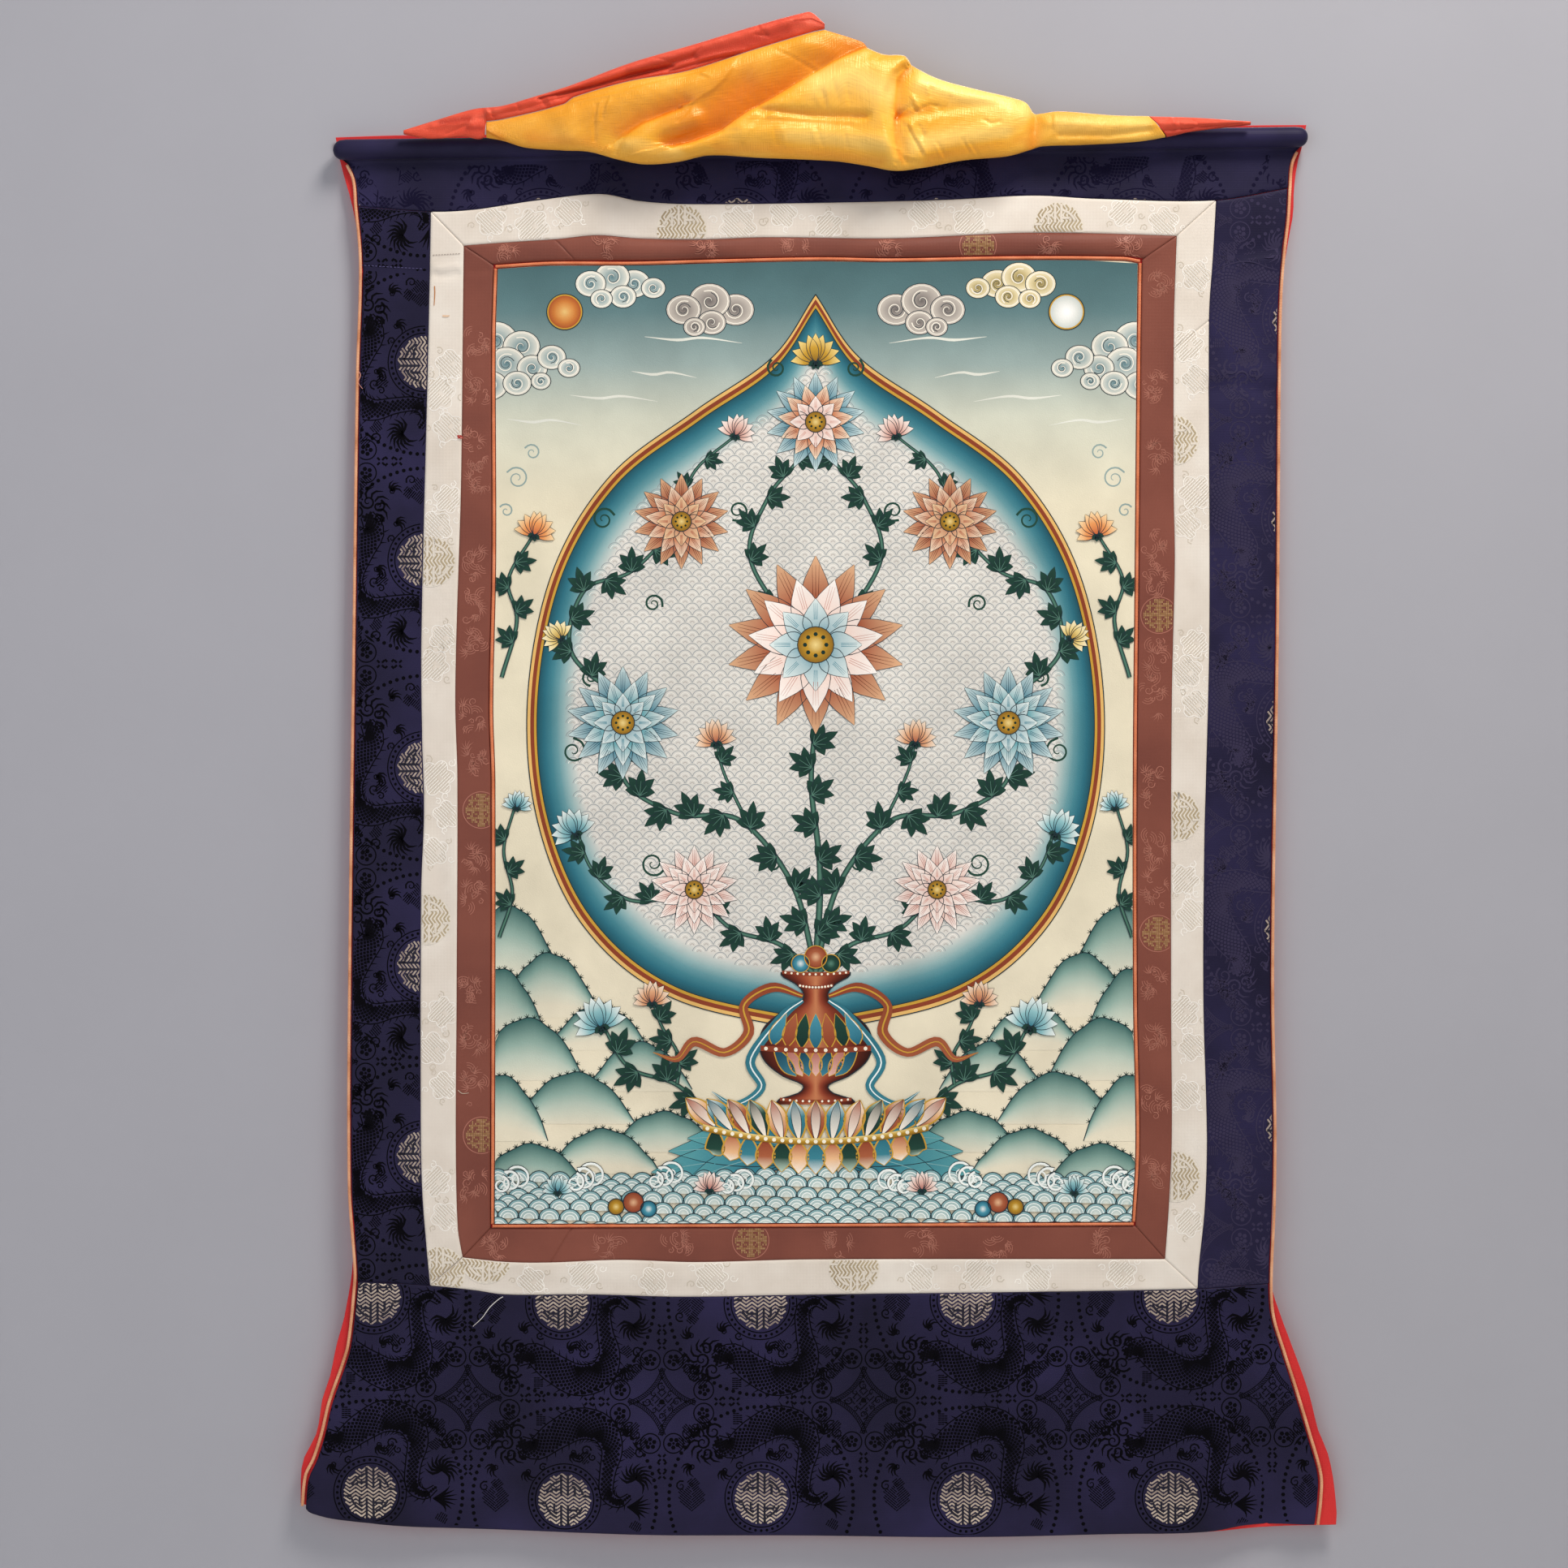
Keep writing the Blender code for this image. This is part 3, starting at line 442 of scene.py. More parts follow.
def finish(piece, material, slot, *nodes):
    """Give a piece its cloth and the solids that it stands for; its slot is not used."""
    piece.data.materials.clear()
    piece.data.materials.append(material)
    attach(piece, "root")
    if nodes:
        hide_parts(*nodes)


lining_cut = cut_along((LINING_HEAD, LINING_HEM, LINING_LEFT, LINING_RIGHT), LINING_CORNERS.values())


def lining_surface(u, v):
    """The lining lies behind the mounting, and closer to the wall behind the sleeve."""
    x, drop = lining_cut(u, v)
    depth = between(BEHIND_SLEEVE, hang(x, drop) - LINING_BEHIND, eased(drop, *SLEEVE_LEFT_BEHIND))
    ripple = sum(height * np.sin(x / wide + drop / tall) for height, wide, tall in LINING_RIPPLES)
    return x, drop, depth + ripple * eased(drop, *RIPPLES_SET_IN) * RIPPLE_SHARE


lining_size, lining_area = flat_size(lining_cut)
red_lining = cloth(
    "red_lining", lining_surface, marks(900, LINING_CELL), marks(1290, LINING_CELL), LINING_CLOTH, LINING_SIZE
)
# Plain-woven cotton: its 0.4 mm threads are drawn three times as coarse, or they wouldn't show
red_cotton = woven("red_plain_weave_cotton", ("bc2226", "ce2a2c", "da3430"), 0.75, 0.3, (1.2, 1.2), 0.5)
finish(red_lining, red_cotton, "red_lining", "lining_back")

# ---------------------------------------------------------------- navy damask
# Navy silk damask makes the mounting: a top panel sewn into a sleeve round a batten, two
# sides with the cloth turned, and a flared skirt. The seams between them lie in a ditch.
DAMASK_CLOTH = 1.5
SEAM_DITCH = 0.8
SEAM_DITCH_REACH = 1.0
HALF_SEAM = 0.05
PIPING_RADIUS = 1.5
PIPED_SIDE = PIPING_RADIUS + 0.7
PIPED_SKIRT = PIPING_RADIUS + 1.4
PIPED_EDGE = PIPING_RADIUS + 0.5
CLOTH_CELL = 6.0
SLEEVE_LEFT = -446.0
SLEEVE_RIGHT = 455.0
SLEEVE_RISE = 12.0
SLEEVE_HALF_HEIGHT = 9.5
SLEEVE_HALF_DEPTH = 9.3
SLEEVE_DEPTH = 10.8
SLEEVE_END = 9.5
NECK_BACK_ANGLE = 218.6
NECK_FRONT_ANGLE = 567.5
NECK_DROP = 1.5
# The top panel's length: shares that lie behind the sleeve and round it, and its cells in front
BACK_SHARE = 0.3
FRONT_SHARE = 0.7
FRONT_CELLS = (0, 0.1, 0.22, 0.34, 0.46, 0.58, 0.7, 0.8, 0.88, 0.94, 0.975, 1)
SLEEVE_CLOTH = 1.0
TOP_SIZE = (901, 150)
# Gathers along the sleeve's neck: height, length over tau, how far they wander and over what
NECK_GATHERS = [(0.35, 9.7, 2, 71), (0.3, 23.0, 0, 1)]
GATHERED_SWELL = 0.03
CREAM_CORNERS = {"tl": (-356, 72), "tr": (370.5, 61.5), "bl": (-355.5, 1064), "br": (352, 1067)}
BROWN_CORNERS = {"tl": (-325.5, 103.5), "tr": (334, 94.5), "bl": (-325.5, 1038), "br": (322, 1039.5)}
CANVAS_CORNERS = {"tl": (-296, 123), "tr": (300, 118), "bl": (-298, 1009), "br": (293, 1007)}
SIDE_TOP_LEFT = (-425.5, 67)
SIDE_TOP_RIGHT = (439, 50)
SIDE_FOOT_LEFT = (-425, 1060)
SIDE_FOOT_RIGHT = (420, 1062)
HEM_LEFT = (-474, 1268)
HEM_RIGHT = (464, 1286)
TOP_SEAM = [(-425.5, 67), (-356, 72), (-320, 70.5), (-288, 66), (-258, 61.5), (-199, 55.5), (-164, 62),
            (-120, 65), (-4, 64), (121, 61), (202, 57), (260, 60), (370.5, 61.5), (439, 50)]
FOOT_SEAM = [(-425, 1060), (-355.5, 1064), (-316, 1068), (-288, 1072), (-203, 1072), (-123, 1074),
             (-4, 1072), (352, 1067), (420, 1062)]
HEM = [(-474, 1268), (-466, 1275), (-436, 1281), (-356, 1288), (-154, 1294.5), (-4, 1296), (184, 1296.5),
       (286, 1294.5), (362, 1291.5), (400, 1286), (464, 1286)]
EDGE_LEFT = [(24, -436), (42, -428), (67, -425.5), (110, -421.5), (150, -421.5), (222, -424), (462, -427),
             (777, -430.5), (970, -430.5), (1047, -425), (1060, -425), (1117, -431), (1138, -437),
             (1172, -449), (1201, -456), (1224, -463.5), (1240, -471), (1268, -474)]
EDGE_RIGHT = [(13, 447), (28, 441), (50, 439), (80, 437), (110, 433.5), (150, 430.5), (222, 429),
              (462, 427), (777, 422), (920, 424), (991, 423), (1062, 420), (1092, 422), (1125, 432),
              (1157, 442.5), (1201, 456), (1239, 466.5), (1262, 466.5), (1286, 464)]
CREAM_LEFT = [(72, -356), (130, -357), (222, -359), (462, -364.5), (552, -364), (627, -362), (702, -364.5),
              (927, -364.5), (978, -363), (1029, -359), (1064, -355.5)]
CREAM_RIGHT = [(61.5, 370.5), (114, 367.5), (170, 364), (462, 364), (665, 359), (800, 358), (927, 361),
               (991, 359), (1049, 353), (1067, 352)]
top_seam = line_through(TOP_SEAM)
edge_left = line_through(EDGE_LEFT)
edge_right = line_through(EDGE_RIGHT)

# The slack of the top brown strip, which stands off in a long pucker: (x, height)
PUCKER = [(-326, 0), (-240, 3.0), (-130, 5.0), (-45, 2.5), (10, 2.0), (90, 4.5), (160, 2.5), (235, 5.0),
          (334, 0)]
BROWN_HEAD = [(-325.5, 103.5), (-292, 101), (-238, 97.5), (-202, 94), (-164, 97), (-107, 98), (-45, 96),
              (71, 97), (184, 92), (244, 92), (334, 94.5)]
CANVAS_HEAD = [(-296, 123), (-244, 120), (-170, 120), (-95, 118), (4, 116), (71, 117), (184, 115),
               (284, 115.5), (300, 118)]
pucker = line_through(PUCKER)
brown_head = line_through(BROWN_HEAD)
canvas_head = line_through(CANVAS_HEAD)


def front(x, drop):
    """The mounting's front with its creases and the pucker of the top brown strip."""
    depth = hang(x, drop) + ridges(CREASES, x, drop)
    share = (drop - brown_head(x)) / (canvas_head(x) - PIPED_EDGE - brown_head(x))
    in_strip = (share > 0) & (share < 1) & (x > BROWN_CORNERS["tl"][0]) & (x < BROWN_CORNERS["tr"][0])
    return depth + np.where(in_strip, pucker(x) * np.sin(math.pi * np.clip(share, 0, 1)), 0)


def ditch(distance):
    """How far the cloth turns down at a seam, by the distance from it."""
    return SEAM_DITCH * np.exp(-((distance / SEAM_DITCH_REACH) ** 2))


def panel(name, cut, size, margins, seams=((), ()), cell=CLOTH_CELL):
    """A panel of the mounting: its cut less its seam margins, with its edges turned down.

    size is the cut's rough width and height; margins are left, right, top and bottom; seams
    are where pieces of cloth join across it, along its width and along its height.
    """
    width, height = size
    left, right, top, bottom = margins

    def surface(u, v):
        x, drop = cut(
            between(left / width, 1 - right / width, u), between(top / height, 1 - bottom / height, v)
        )
        depth = front(x, drop) - ditch(np.minimum(u, 1 - u) * width) - ditch(np.minimum(v, 1 - v) * height)
        for share, length, joins in ((u, width, seams[0]), (v, height, seams[1])):
            for join in joins:
                depth = depth - ditch(share * length - join)
        return x, drop, depth

    columns = marks(width, cell, seams[0])
    rows = marks(height, cell, seams[1])
    return cloth(name, surface, columns, rows, DAMASK_CLOTH, size)


# Damask ground: satin floats with a soft lustre, and a broad mottle from darker to lighter navy
# that is painted light and shade on the satin. The 0.25 mm threads are drawn at 1 mm to show.
navy_satin = woven("navy_silk_damask", ("17142a", "211d39", "2c274b"), 0.5, 0.12, (1.0, 1.4), 0.3)


def sleeve_surface(u, v):
    """The top panel's path: v runs up its back, round the batten, and down its front."""
    length = SLEEVE_RIGHT - SLEEVE_LEFT
    roll_x = between(SLEEVE_LEFT, SLEEVE_RIGHT, u)
    from_end = np.minimum(np.minimum(u, 1 - u) * length + 0.1, SLEEVE_END)
    rounding = np.sqrt(1 - (1 - from_end / SLEEVE_END) ** 2)
    centre = -SLEEVE_RISE * roll_x / length + SLEEVE_HALF_HEIGHT
    neck = centre + SLEEVE_HALF_HEIGHT + NECK_DROP
    foot = top_seam(between(SIDE_TOP_LEFT[0], SIDE_TOP_RIGHT[0], u)) - HALF_SEAM
    on_back, on_front = v < BACK_SHARE, v > FRONT_SHARE
    tail = np.where(on_back, 1 - v / BACK_SHARE, (v - FRONT_SHARE) / (1 - FRONT_SHARE))
    tail_drop = between(neck, foot, between(0.02, 1, tail))
    tail_x = between(edge_left(tail_drop) + PIPED_SIDE, edge_right(tail_drop) - PIPED_SIDE, u)
    gather = sum(
        height * np.sin(roll_x / long + wander * np.sin(roll_x / apart))
        for height, long, wander, apart in NECK_GATHERS
    )
    tail_depth = front(tail_x, tail_drop) + gather * (1 - tail) - np.where(on_back, DAMASK_CLOTH, 0)
    tail_depth = tail_depth - np.where(on_front, ditch(tail * (foot - neck) - (foot - neck)), 0)
    turn = np.clip((v - BACK_SHARE) / (FRONT_SHARE - BACK_SHARE), 0, 1)
    angle = np.radians(between(NECK_BACK_ANGLE, NECK_FRONT_ANGLE, turn))
    swell = rounding * (1 + GATHERED_SWELL * gather)
    roll_depth = SLEEVE_DEPTH + SLEEVE_HALF_DEPTH * swell * np.sin(angle)
    roll_drop = centre - SLEEVE_HALF_HEIGHT * rounding * np.cos(angle)
    on_tail = on_back | on_front
    return (
        np.where(on_tail, tail_x, roll_x),
        np.where(on_tail, tail_drop, roll_drop),
        np.where(on_tail, tail_depth, roll_depth),
    )


sleeve_rows = np.concatenate([
    np.linspace(0, BACK_SHARE - 0.01, 6),
    np.linspace(BACK_SHARE, FRONT_SHARE, 30),
    1 - (1 - FRONT_SHARE - 0.005) * (1 - np.array(FRONT_CELLS)),
])
sleeve_columns = marks(SLEEVE_RIGHT - SLEEVE_LEFT, CLOTH_CELL)
damask_top = cloth("damask_top", sleeve_surface, sleeve_columns, sleeve_rows, SLEEVE_CLOTH, TOP_SIZE)
finish(damask_top, navy_satin, "navy_damask", "navy_top")

left_cut = cut_along(
    (TOP_SEAM, FOOT_SEAM, EDGE_LEFT, CREAM_LEFT),
    (SIDE_TOP_LEFT, CREAM_CORNERS["tl"], SIDE_FOOT_LEFT, CREAM_CORNERS["bl"]),
)
right_cut = cut_along(
    (TOP_SEAM, FOOT_SEAM, CREAM_RIGHT, EDGE_RIGHT),
    (CREAM_CORNERS["tr"], SIDE_TOP_RIGHT, CREAM_CORNERS["br"], SIDE_FOOT_RIGHT),
)
skirt_cut = cut_along(
    (FOOT_SEAM, HEM, EDGE_LEFT, EDGE_RIGHT), (SIDE_FOOT_LEFT, SIDE_FOOT_RIGHT, HEM_LEFT, HEM_RIGHT)
)
# The damask panels: name, cut, rough size, margins, the solid that each stands for
DAMASK_PANELS = [
    ("damask_left", left_cut, (67, 993), (PIPED_SIDE, HALF_SEAM, HALF_SEAM, HALF_SEAM), "navy_left"),
    ("damask_right", right_cut, (68, 1005), (HALF_SEAM, PIPED_SIDE, HALF_SEAM, HALF_SEAM), "navy_right"),
    ("damask_skirt", skirt_cut, (890, 224), (PIPED_SKIRT, PIPED_SKIRT, HALF_SEAM, 0), "navy_bottom"),
]
for name, cut, size, margins, node in DAMASK_PANELS:
    damask = panel(name, cut, size, margins)
    finish(damask, navy_satin, "navy_damask", node)
    flat, area = flat_size(cut)

# ---------------------------------------------------------------- brocade borders
# Two mitred borders frame the canvas: cream silk brocade outside and brown inside. Each is
# four strips sewn edge to edge, and some strips are pieced from two lengths of cloth.
HALF_MITRE = 0.05
BROWN_FOOT = [(-325.5, 1038), (-286, 1042), (-247, 1042.5), (-180, 1040), (-111, 1042), (-4, 1039.5),
              (322, 1039.5)]
CANVAS_FOOT = [(-298, 1009), (-4, 1008), (293, 1007)]
BROWN_LEFT = [(103.5, -325.5), (192, -326.5), (327, -328), (462, -332), (530, -333), (597, -331),
              (800, -331.5), (935, -332), (1011, -330), (1038, -325.5)]
BROWN_RIGHT = [(94.5, 334), (170, 331.5), (327, 331), (395, 332), (530, 329), (800, 328), (927, 328.5),
               (985, 326), (1039.5, 322)]
CANVAS_LEFT = [(123, -296), (192, -298), (395, -297.5), (530, -300), (600, -298), (1009, -298)]
CANVAS_RIGHT = [(118, 300), (192, 299), (395, 297), (597, 295), (800, 295), (935, 297), (1007, 293)]
CREAM_LINES = {
    "top": (TOP_SEAM, BROWN_HEAD),
    "bottom": (FOOT_SEAM, BROWN_FOOT),
    "left": (CREAM_LEFT, BROWN_LEFT),
    "right": (CREAM_RIGHT, BROWN_RIGHT),
}
BROWN_LINES = {
    "top": (BROWN_HEAD, CANVAS_HEAD),
    "bottom": (BROWN_FOOT, CANVAS_FOOT),
    "left": (BROWN_LEFT, CANVAS_LEFT),
    "right": (BROWN_RIGHT, CANVAS_RIGHT),
}
STRIP_ENDS = {"top": ("tl", "tr"), "bottom": ("bl", "br"), "left": ("tl", "bl"), "right": ("tr", "br")}
# Where a strip is pieced: distances from its start, along its width and along its height
CREAM_PIECED = {"right": ((), (108.0,))}
BROWN_PIECED = {"top": ((80.0,), ()), "bottom": ((78.0,), ())}
# The left strips have finer cells, which their small folds need
FOLDED_CELL = 3.2


def straight(start, end):
    """A mitre, from 0 to 1."""
    return lambda share: (between(start[0], end[0], share), between(start[1], end[1], share))


def border(prefix, outer, inner, lines, inner_margin, pieced, material, slot):
    """Four mitred strips between an outer and an inner set of corners."""
    mitre_margins = (HALF_MITRE, HALF_MITRE)
    for side, (start, end) in STRIP_ENDS.items():
        level, far = side in ("top", "bottom"), side in ("bottom", "right")
        follow = across if level else down
        edges = [follow(line, ends[start], ends[end]) for line, ends in zip(lines[side], (outer, inner))]
        mitres = [(outer[corner], inner[corner]) for corner in (start, end)]
        seam_margins = (HALF_SEAM, inner_margin)
        # The far strips' outer edge is their second one
        if far:
            edges, mitres = edges[::-1], [mitre[::-1] for mitre in mitres]
            seam_margins = seam_margins[::-1]
        mitres = [straight(*mitre) for mitre in mitres]
        cut = patch(*edges, *mitres) if level else patch(*mitres, *edges)
        margins = mitre_margins + seam_margins if level else seam_margins + mitre_margins
        size = (math.dist(cut(0, 0.5), cut(1, 0.5)), math.dist(cut(0.5, 0), cut(0.5, 1)))
        cell = FOLDED_CELL if side == "left" else CLOTH_CELL
        strip = panel(f"{prefix}_strip_{side}", cut, size, margins, pieced.get(side, ((), ())), cell)
        finish(strip, material, slot, f"{prefix}_{side}")
        flat, area = flat_size(cut)


# Cream satin ground with a pearly lustre, and brown satin with a redder one
cream_satin = woven(
    "cream_silk_brocade", ("d8cdbf", "e0d6c9", "e7dfd3"), 0.5, 0.35, (1.0, 1.0), 0.35, mottle=22.0
)
brown_satin = woven(
    "brown_silk_brocade", ("733d31", "7d4436", "864b3c"), 0.5, 0.25, (1.0, 1.0), 0.4, mottle=12.0
)
border("cream", CREAM_CORNERS, BROWN_CORNERS, CREAM_LINES, HALF_SEAM, CREAM_PIECED,
       cream_satin, "cream_brocade")
border("brown", BROWN_CORNERS, CANVAS_CORNERS, BROWN_LINES, PIPED_EDGE, BROWN_PIECED,
       brown_satin, "brown_brocade")

# ---------------------------------------------------------------- damask figure
# The damask's figure is woven in silk floats: a coiling dragon in each pearl circle, vines and
# lozenges between, and round frets in pale thread. It is laid on the cloth as thin shapes.
REPEAT = 184.0
FIGURE_LIFT = 0.12
FIGURE_EDGE = 0.9
# Floats of the figure: dark where they turn from the light, fainter on the sleeve's panel, and
# pale on the right side, where they take it
DARK_FIGURE = "07060b"
LIT_FIGURE = "363149"
FAINT_FIGURE = "15122a"
# Herringbone of the roundels: its stitches are drawn coarser, as the real ones are 2.7 mm apart
HERRINGBONE = 5.4
HERRINGBONE_RISE = 0.75
STITCH_PITCH = 3.5
STITCH_WIDTH = 1.55
STITCH_PARTS = 4
PALE_THREAD = ("cabaa8", "80706a")
DAMASK_ROUNDEL = 24.0
ROUNDEL_GROUND = "141124"
# Slots of a fret's quarter, as (x, y) ends in shares of its radius; every other quarter has long ones
FRET_SLOT = 2.1
FRET_SLOTS = [((0.4, 0.14), (0.4, 0.5)), ((0.28, 0.5), (0.4, 0.5)), ((0.7, 0.14), (0.98, 0.14))]
LONG_SLOTS = [((0.13, 0.2), (0.13, 0.98)), ((-0.13, 0.2), (-0.13, 0.98))]
# The figure stops short of the hem
HEM_FREE = 1.0
foot_seam = line_through(FOOT_SEAM)
hem = line_through(HEM)
cream_left = line_through(CREAM_LEFT)
cream_right = line_through(CREAM_RIGHT)


def smooth_way(points, step):
    """Points about a step apart on a smooth way, with its direction at each."""
    knots = np.array(points, float)
    length = np.hypot(*np.diff(knots, axis=0).T).sum()
    along = np.linspace(0, len(knots) - 1, max(3, int(length / step) + 1))
    path = np.stack([line_through(list(enumerate(knots[:, k])))(along) for k in range(2)], 1)
    way = np.gradient(path, axis=0)
    return path, way / np.maximum(np.hypot(*way.T), 1e-9)[:, None]


def beside(path, way, reach):
    """Points that lie a reach to the side of a way."""
    return path[:, 0] - reach * way[:, 1], path[:, 1] + reach * way[:, 0]


def half_widths(widths, count):
    """Half the widths of a band, spread evenly over the points of its way."""
    return 0.5 * np.interp(np.linspace(0, 1, count), np.linspace(0, 1, len(widths)), widths)


def polar(cx, cy, reach, angle, tall=1.0):
    """The point at a reach and an angle from a centre."""
    return cx + reach * math.cos(angle), cy + tall * reach * math.sin(angle)


def fade(tones, share):
    """Colours along a row of hex colours, at shares from 0 to 1."""
    if isinstance(tones, str):
        tones = (tones, tones)
    known = np.array([linear(tone)[:3] for tone in tones])
    places = np.linspace(0, 1, len(tones))
    return np.stack([np.interp(share, places, known[:, k]) for k in range(3)], -1)


class Chart:
    """Flat shapes in millimetres on a cloth, kept as small faces with a colour at each point."""

    def __init__(self, x=0, drop=0, right=(1, 0), up=(0, -1)):
        self.points, self.tones, self.lifts, self.faces = [], [], [], []
        self.count = 0
        self.set_at(x, drop, right, up)

    def set_at(self, x, drop, right=(1, 0), up=(0, -1)):
        """Set the next shapes' middle at a place on the cloth; right and up are ways in (x, drop)."""
        self.middle, self.right, self.up = (x, drop), right, up

    def add(self, x, y, tones, faces, lift):
        x, y = x.ravel(), y.ravel()
        placed = [self.middle[k] + self.right[k] * x + self.up[k] * y for k in (0, 1)]
        self.points.append(np.stack(placed, 1))
        self.tones.append(tones.reshape(-1, 3))
        self.lifts.append(np.full(len(x), float(lift)))
        self.faces.append(faces + self.count)
        self.count += len(x)

    def grid(self, x, y, tones, lift=0.0):
        """A net of points, rows by columns."""
        rows, columns = x.shape
        first = (np.arange(rows - 1)[:, None] * columns + np.arange(columns - 1)).ravel()
        faces = np.stack([first, first + 1, first + columns + 1, first + columns], 1)
        self.add(x, y, np.broadcast_to(tones, (rows, columns, 3)), faces, lift)

    def stitches(self, x, y, angle, length, width, tones, lift=0.0):
        """Straight stitches, each one face, about their middles."""
        cos, sin = np.cos(angle), np.sin(angle)
        corners_x, corners_y = [], []
        for a, b in ((-1, -1), (1, -1), (1, 1), (-1, 1)):
            corners_x.append(x + 0.5 * a * length * cos - 0.5 * b * width * sin)
            corners_y.append(y + 0.5 * a * length * sin + 0.5 * b * width * cos)
        faces = np.arange(4 * np.size(x)).reshape(-1, 4)
        tones = np.broadcast_to(np.asarray(tones)[..., None, :], (np.size(x), 4, 3))
        self.add(np.stack(corners_x, -1), np.stack(corners_y, -1), tones, faces, lift)

    def ring(self, cx, cy, inner, outer, tones, sides=36, lift=0.0, arc=(0, 360), rows=1, tall=1.0):
        """A ring or disc, coloured from its inside out."""
        turn = np.radians(np.linspace(arc[0], arc[1], sides + 1))[None]
        share = np.linspace(0, 1, rows + 1)[:, None]
        radius = between(inner, outer, share)
        colours = np.broadcast_to(fade(tones, share), (rows + 1, sides + 1, 3))
        self.grid(cx + radius * np.cos(turn), cy + tall * radius * np.sin(turn), colours, lift)

    def dots(self, x, y, radius, tones, lift=0.0):
        """Six-sided dots, each of two faces."""
        across_dot = np.array([[-0.5, 0.5], [-1, 1], [-0.5, 0.5]])
        up_dot = np.array([[0.87, 0.87], [0, 0], [-0.87, -0.87]])
        colour = fade(tones, np.zeros((3, 2)))
        for dot_x, dot_y in zip(np.atleast_1d(x), np.atleast_1d(y)):
            self.grid(dot_x + radius * across_dot, dot_y + radius * up_dot, colour, lift)

    def stroke(self, points, widths, tones, lift=0.0, step=3.0, cells=1, sideways=False):
        """A stroke through points, with its widths and its colours along the way, or across it."""
        path, way = smooth_way(points, step)
        side = np.linspace(1, -1, cells + 1)[:, None]
        x, y = beside(path, way, side * half_widths(widths, len(path)))
        spread = 0.5 - 0.5 * side if sideways else np.linspace(0, 1, len(path))
        self.grid(x, y, fade(tones, np.broadcast_to(spread, x.shape)), lift)

    def curl(self, cx, cy, radius, turns, width, tones, start=0.0, lift=0.0, hand=1, step=2.0):
        """A spiral that tapers as it winds in."""
        share = np.linspace(0, 1, 7 + int(5 * turns))
        angle = math.radians(start) + hand * share * turns * math.tau
        reach = radius * (1 - 0.85 * share)
        points = np.stack([cx + reach * np.cos(angle), cy + reach * np.sin(angle)], 1)
        self.stroke(points, (width, 0.8 * width, 0.35 * width), tones, lift, step)

    def hatched(self, inside, box, pitch, length, width, tones, slant, lift=0.0):
        """Slanted stitches in rows, wherever inside(x, y) holds about the middle of a box."""
        cx, cy = 0.5 * (box[0] + box[2]), 0.5 * (box[1] + box[3])
        reach = 0.5 * math.dist(box[:2], box[2:])
        angle = math.radians(slant)
        rows, places = np.arange(-reach, reach, pitch), np.arange(-reach, reach, length * 1.12)
        rank, run = (part.ravel() for part in np.meshgrid(rows, places))
        x = cx + run * math.cos(angle) - rank * math.sin(angle)
        y = cy + run * math.sin(angle) + rank * math.cos(angle)
        kept = inside(x - cx, y - cy)
        if kept.any():
            colours = fade(tones, 0.5 + 0.5 * np.sin(5 * x[kept] + 9 * y[kept]))
            self.stitches(x[kept], y[kept], angle, length, width, colours, lift)

    def scales(self, points, widths, pitch, tones, lift=0.0):
        """A body through points, covered in diamond scales."""
        path, way = smooth_way(points, pitch / 2)
        half = half_widths(widths, len(path))
        station, rank = (part.ravel() for part in np.meshgrid(np.arange(len(path)), np.arange(-9, 10)))
        offset = (rank + 0.5 * (station % 2)) * pitch
        kept = np.abs(offset) < half[station] - 0.3 * pitch
        station, offset = station[kept], offset[kept]
        x, y = beside(path[station], way[station], offset)
        angle = np.arctan2(way[station, 1], way[station, 0]) + math.pi / 4
        self.stitches(x, y, angle, 0.64 * pitch, 0.64 * pitch, fade(tones, np.zeros(len(x))), lift)

    def lay(self, name, limits, material, slot, trim=FIGURE_EDGE, lift=FIGURE_LIFT):
        """Lay the shapes on the mounting inside four limits: left, right, top and bottom lines."""
        left, right, top, bottom = limits
        x, drop = np.concatenate(self.points).T
        faces = np.concatenate(self.faces)
        for _ in range(2):
            drop = np.clip(drop, top(x) + trim, bottom(x) - trim)
            x = np.clip(x, left(drop) + trim, right(drop) - trim)
        clear = np.minimum(
            np.minimum(x - left(drop), right(drop) - x), np.minimum(drop - top(x), bottom(x) - drop)
        )
        depth = front(x, drop) + np.concatenate(self.lifts) + lift - ditch(clear)
        corner_x, corner_z = x[faces], -drop[faces]
        twice = (corner_x[:, 2] - corner_x[:, 0]) * (corner_z[:, 3] - corner_z[:, 1])
        twice -= (corner_x[:, 3] - corner_x[:, 1]) * (corner_z[:, 2] - corner_z[:, 0])
        faces = np.where((twice < 0)[:, None], faces[:, ::-1], faces)[np.abs(twice) > 0.02]
        used, faces = np.unique(faces, return_inverse=True)
        faces = faces.reshape(-1, 4)
        points = np.stack([x, -depth, -drop], 1)[used] * MM
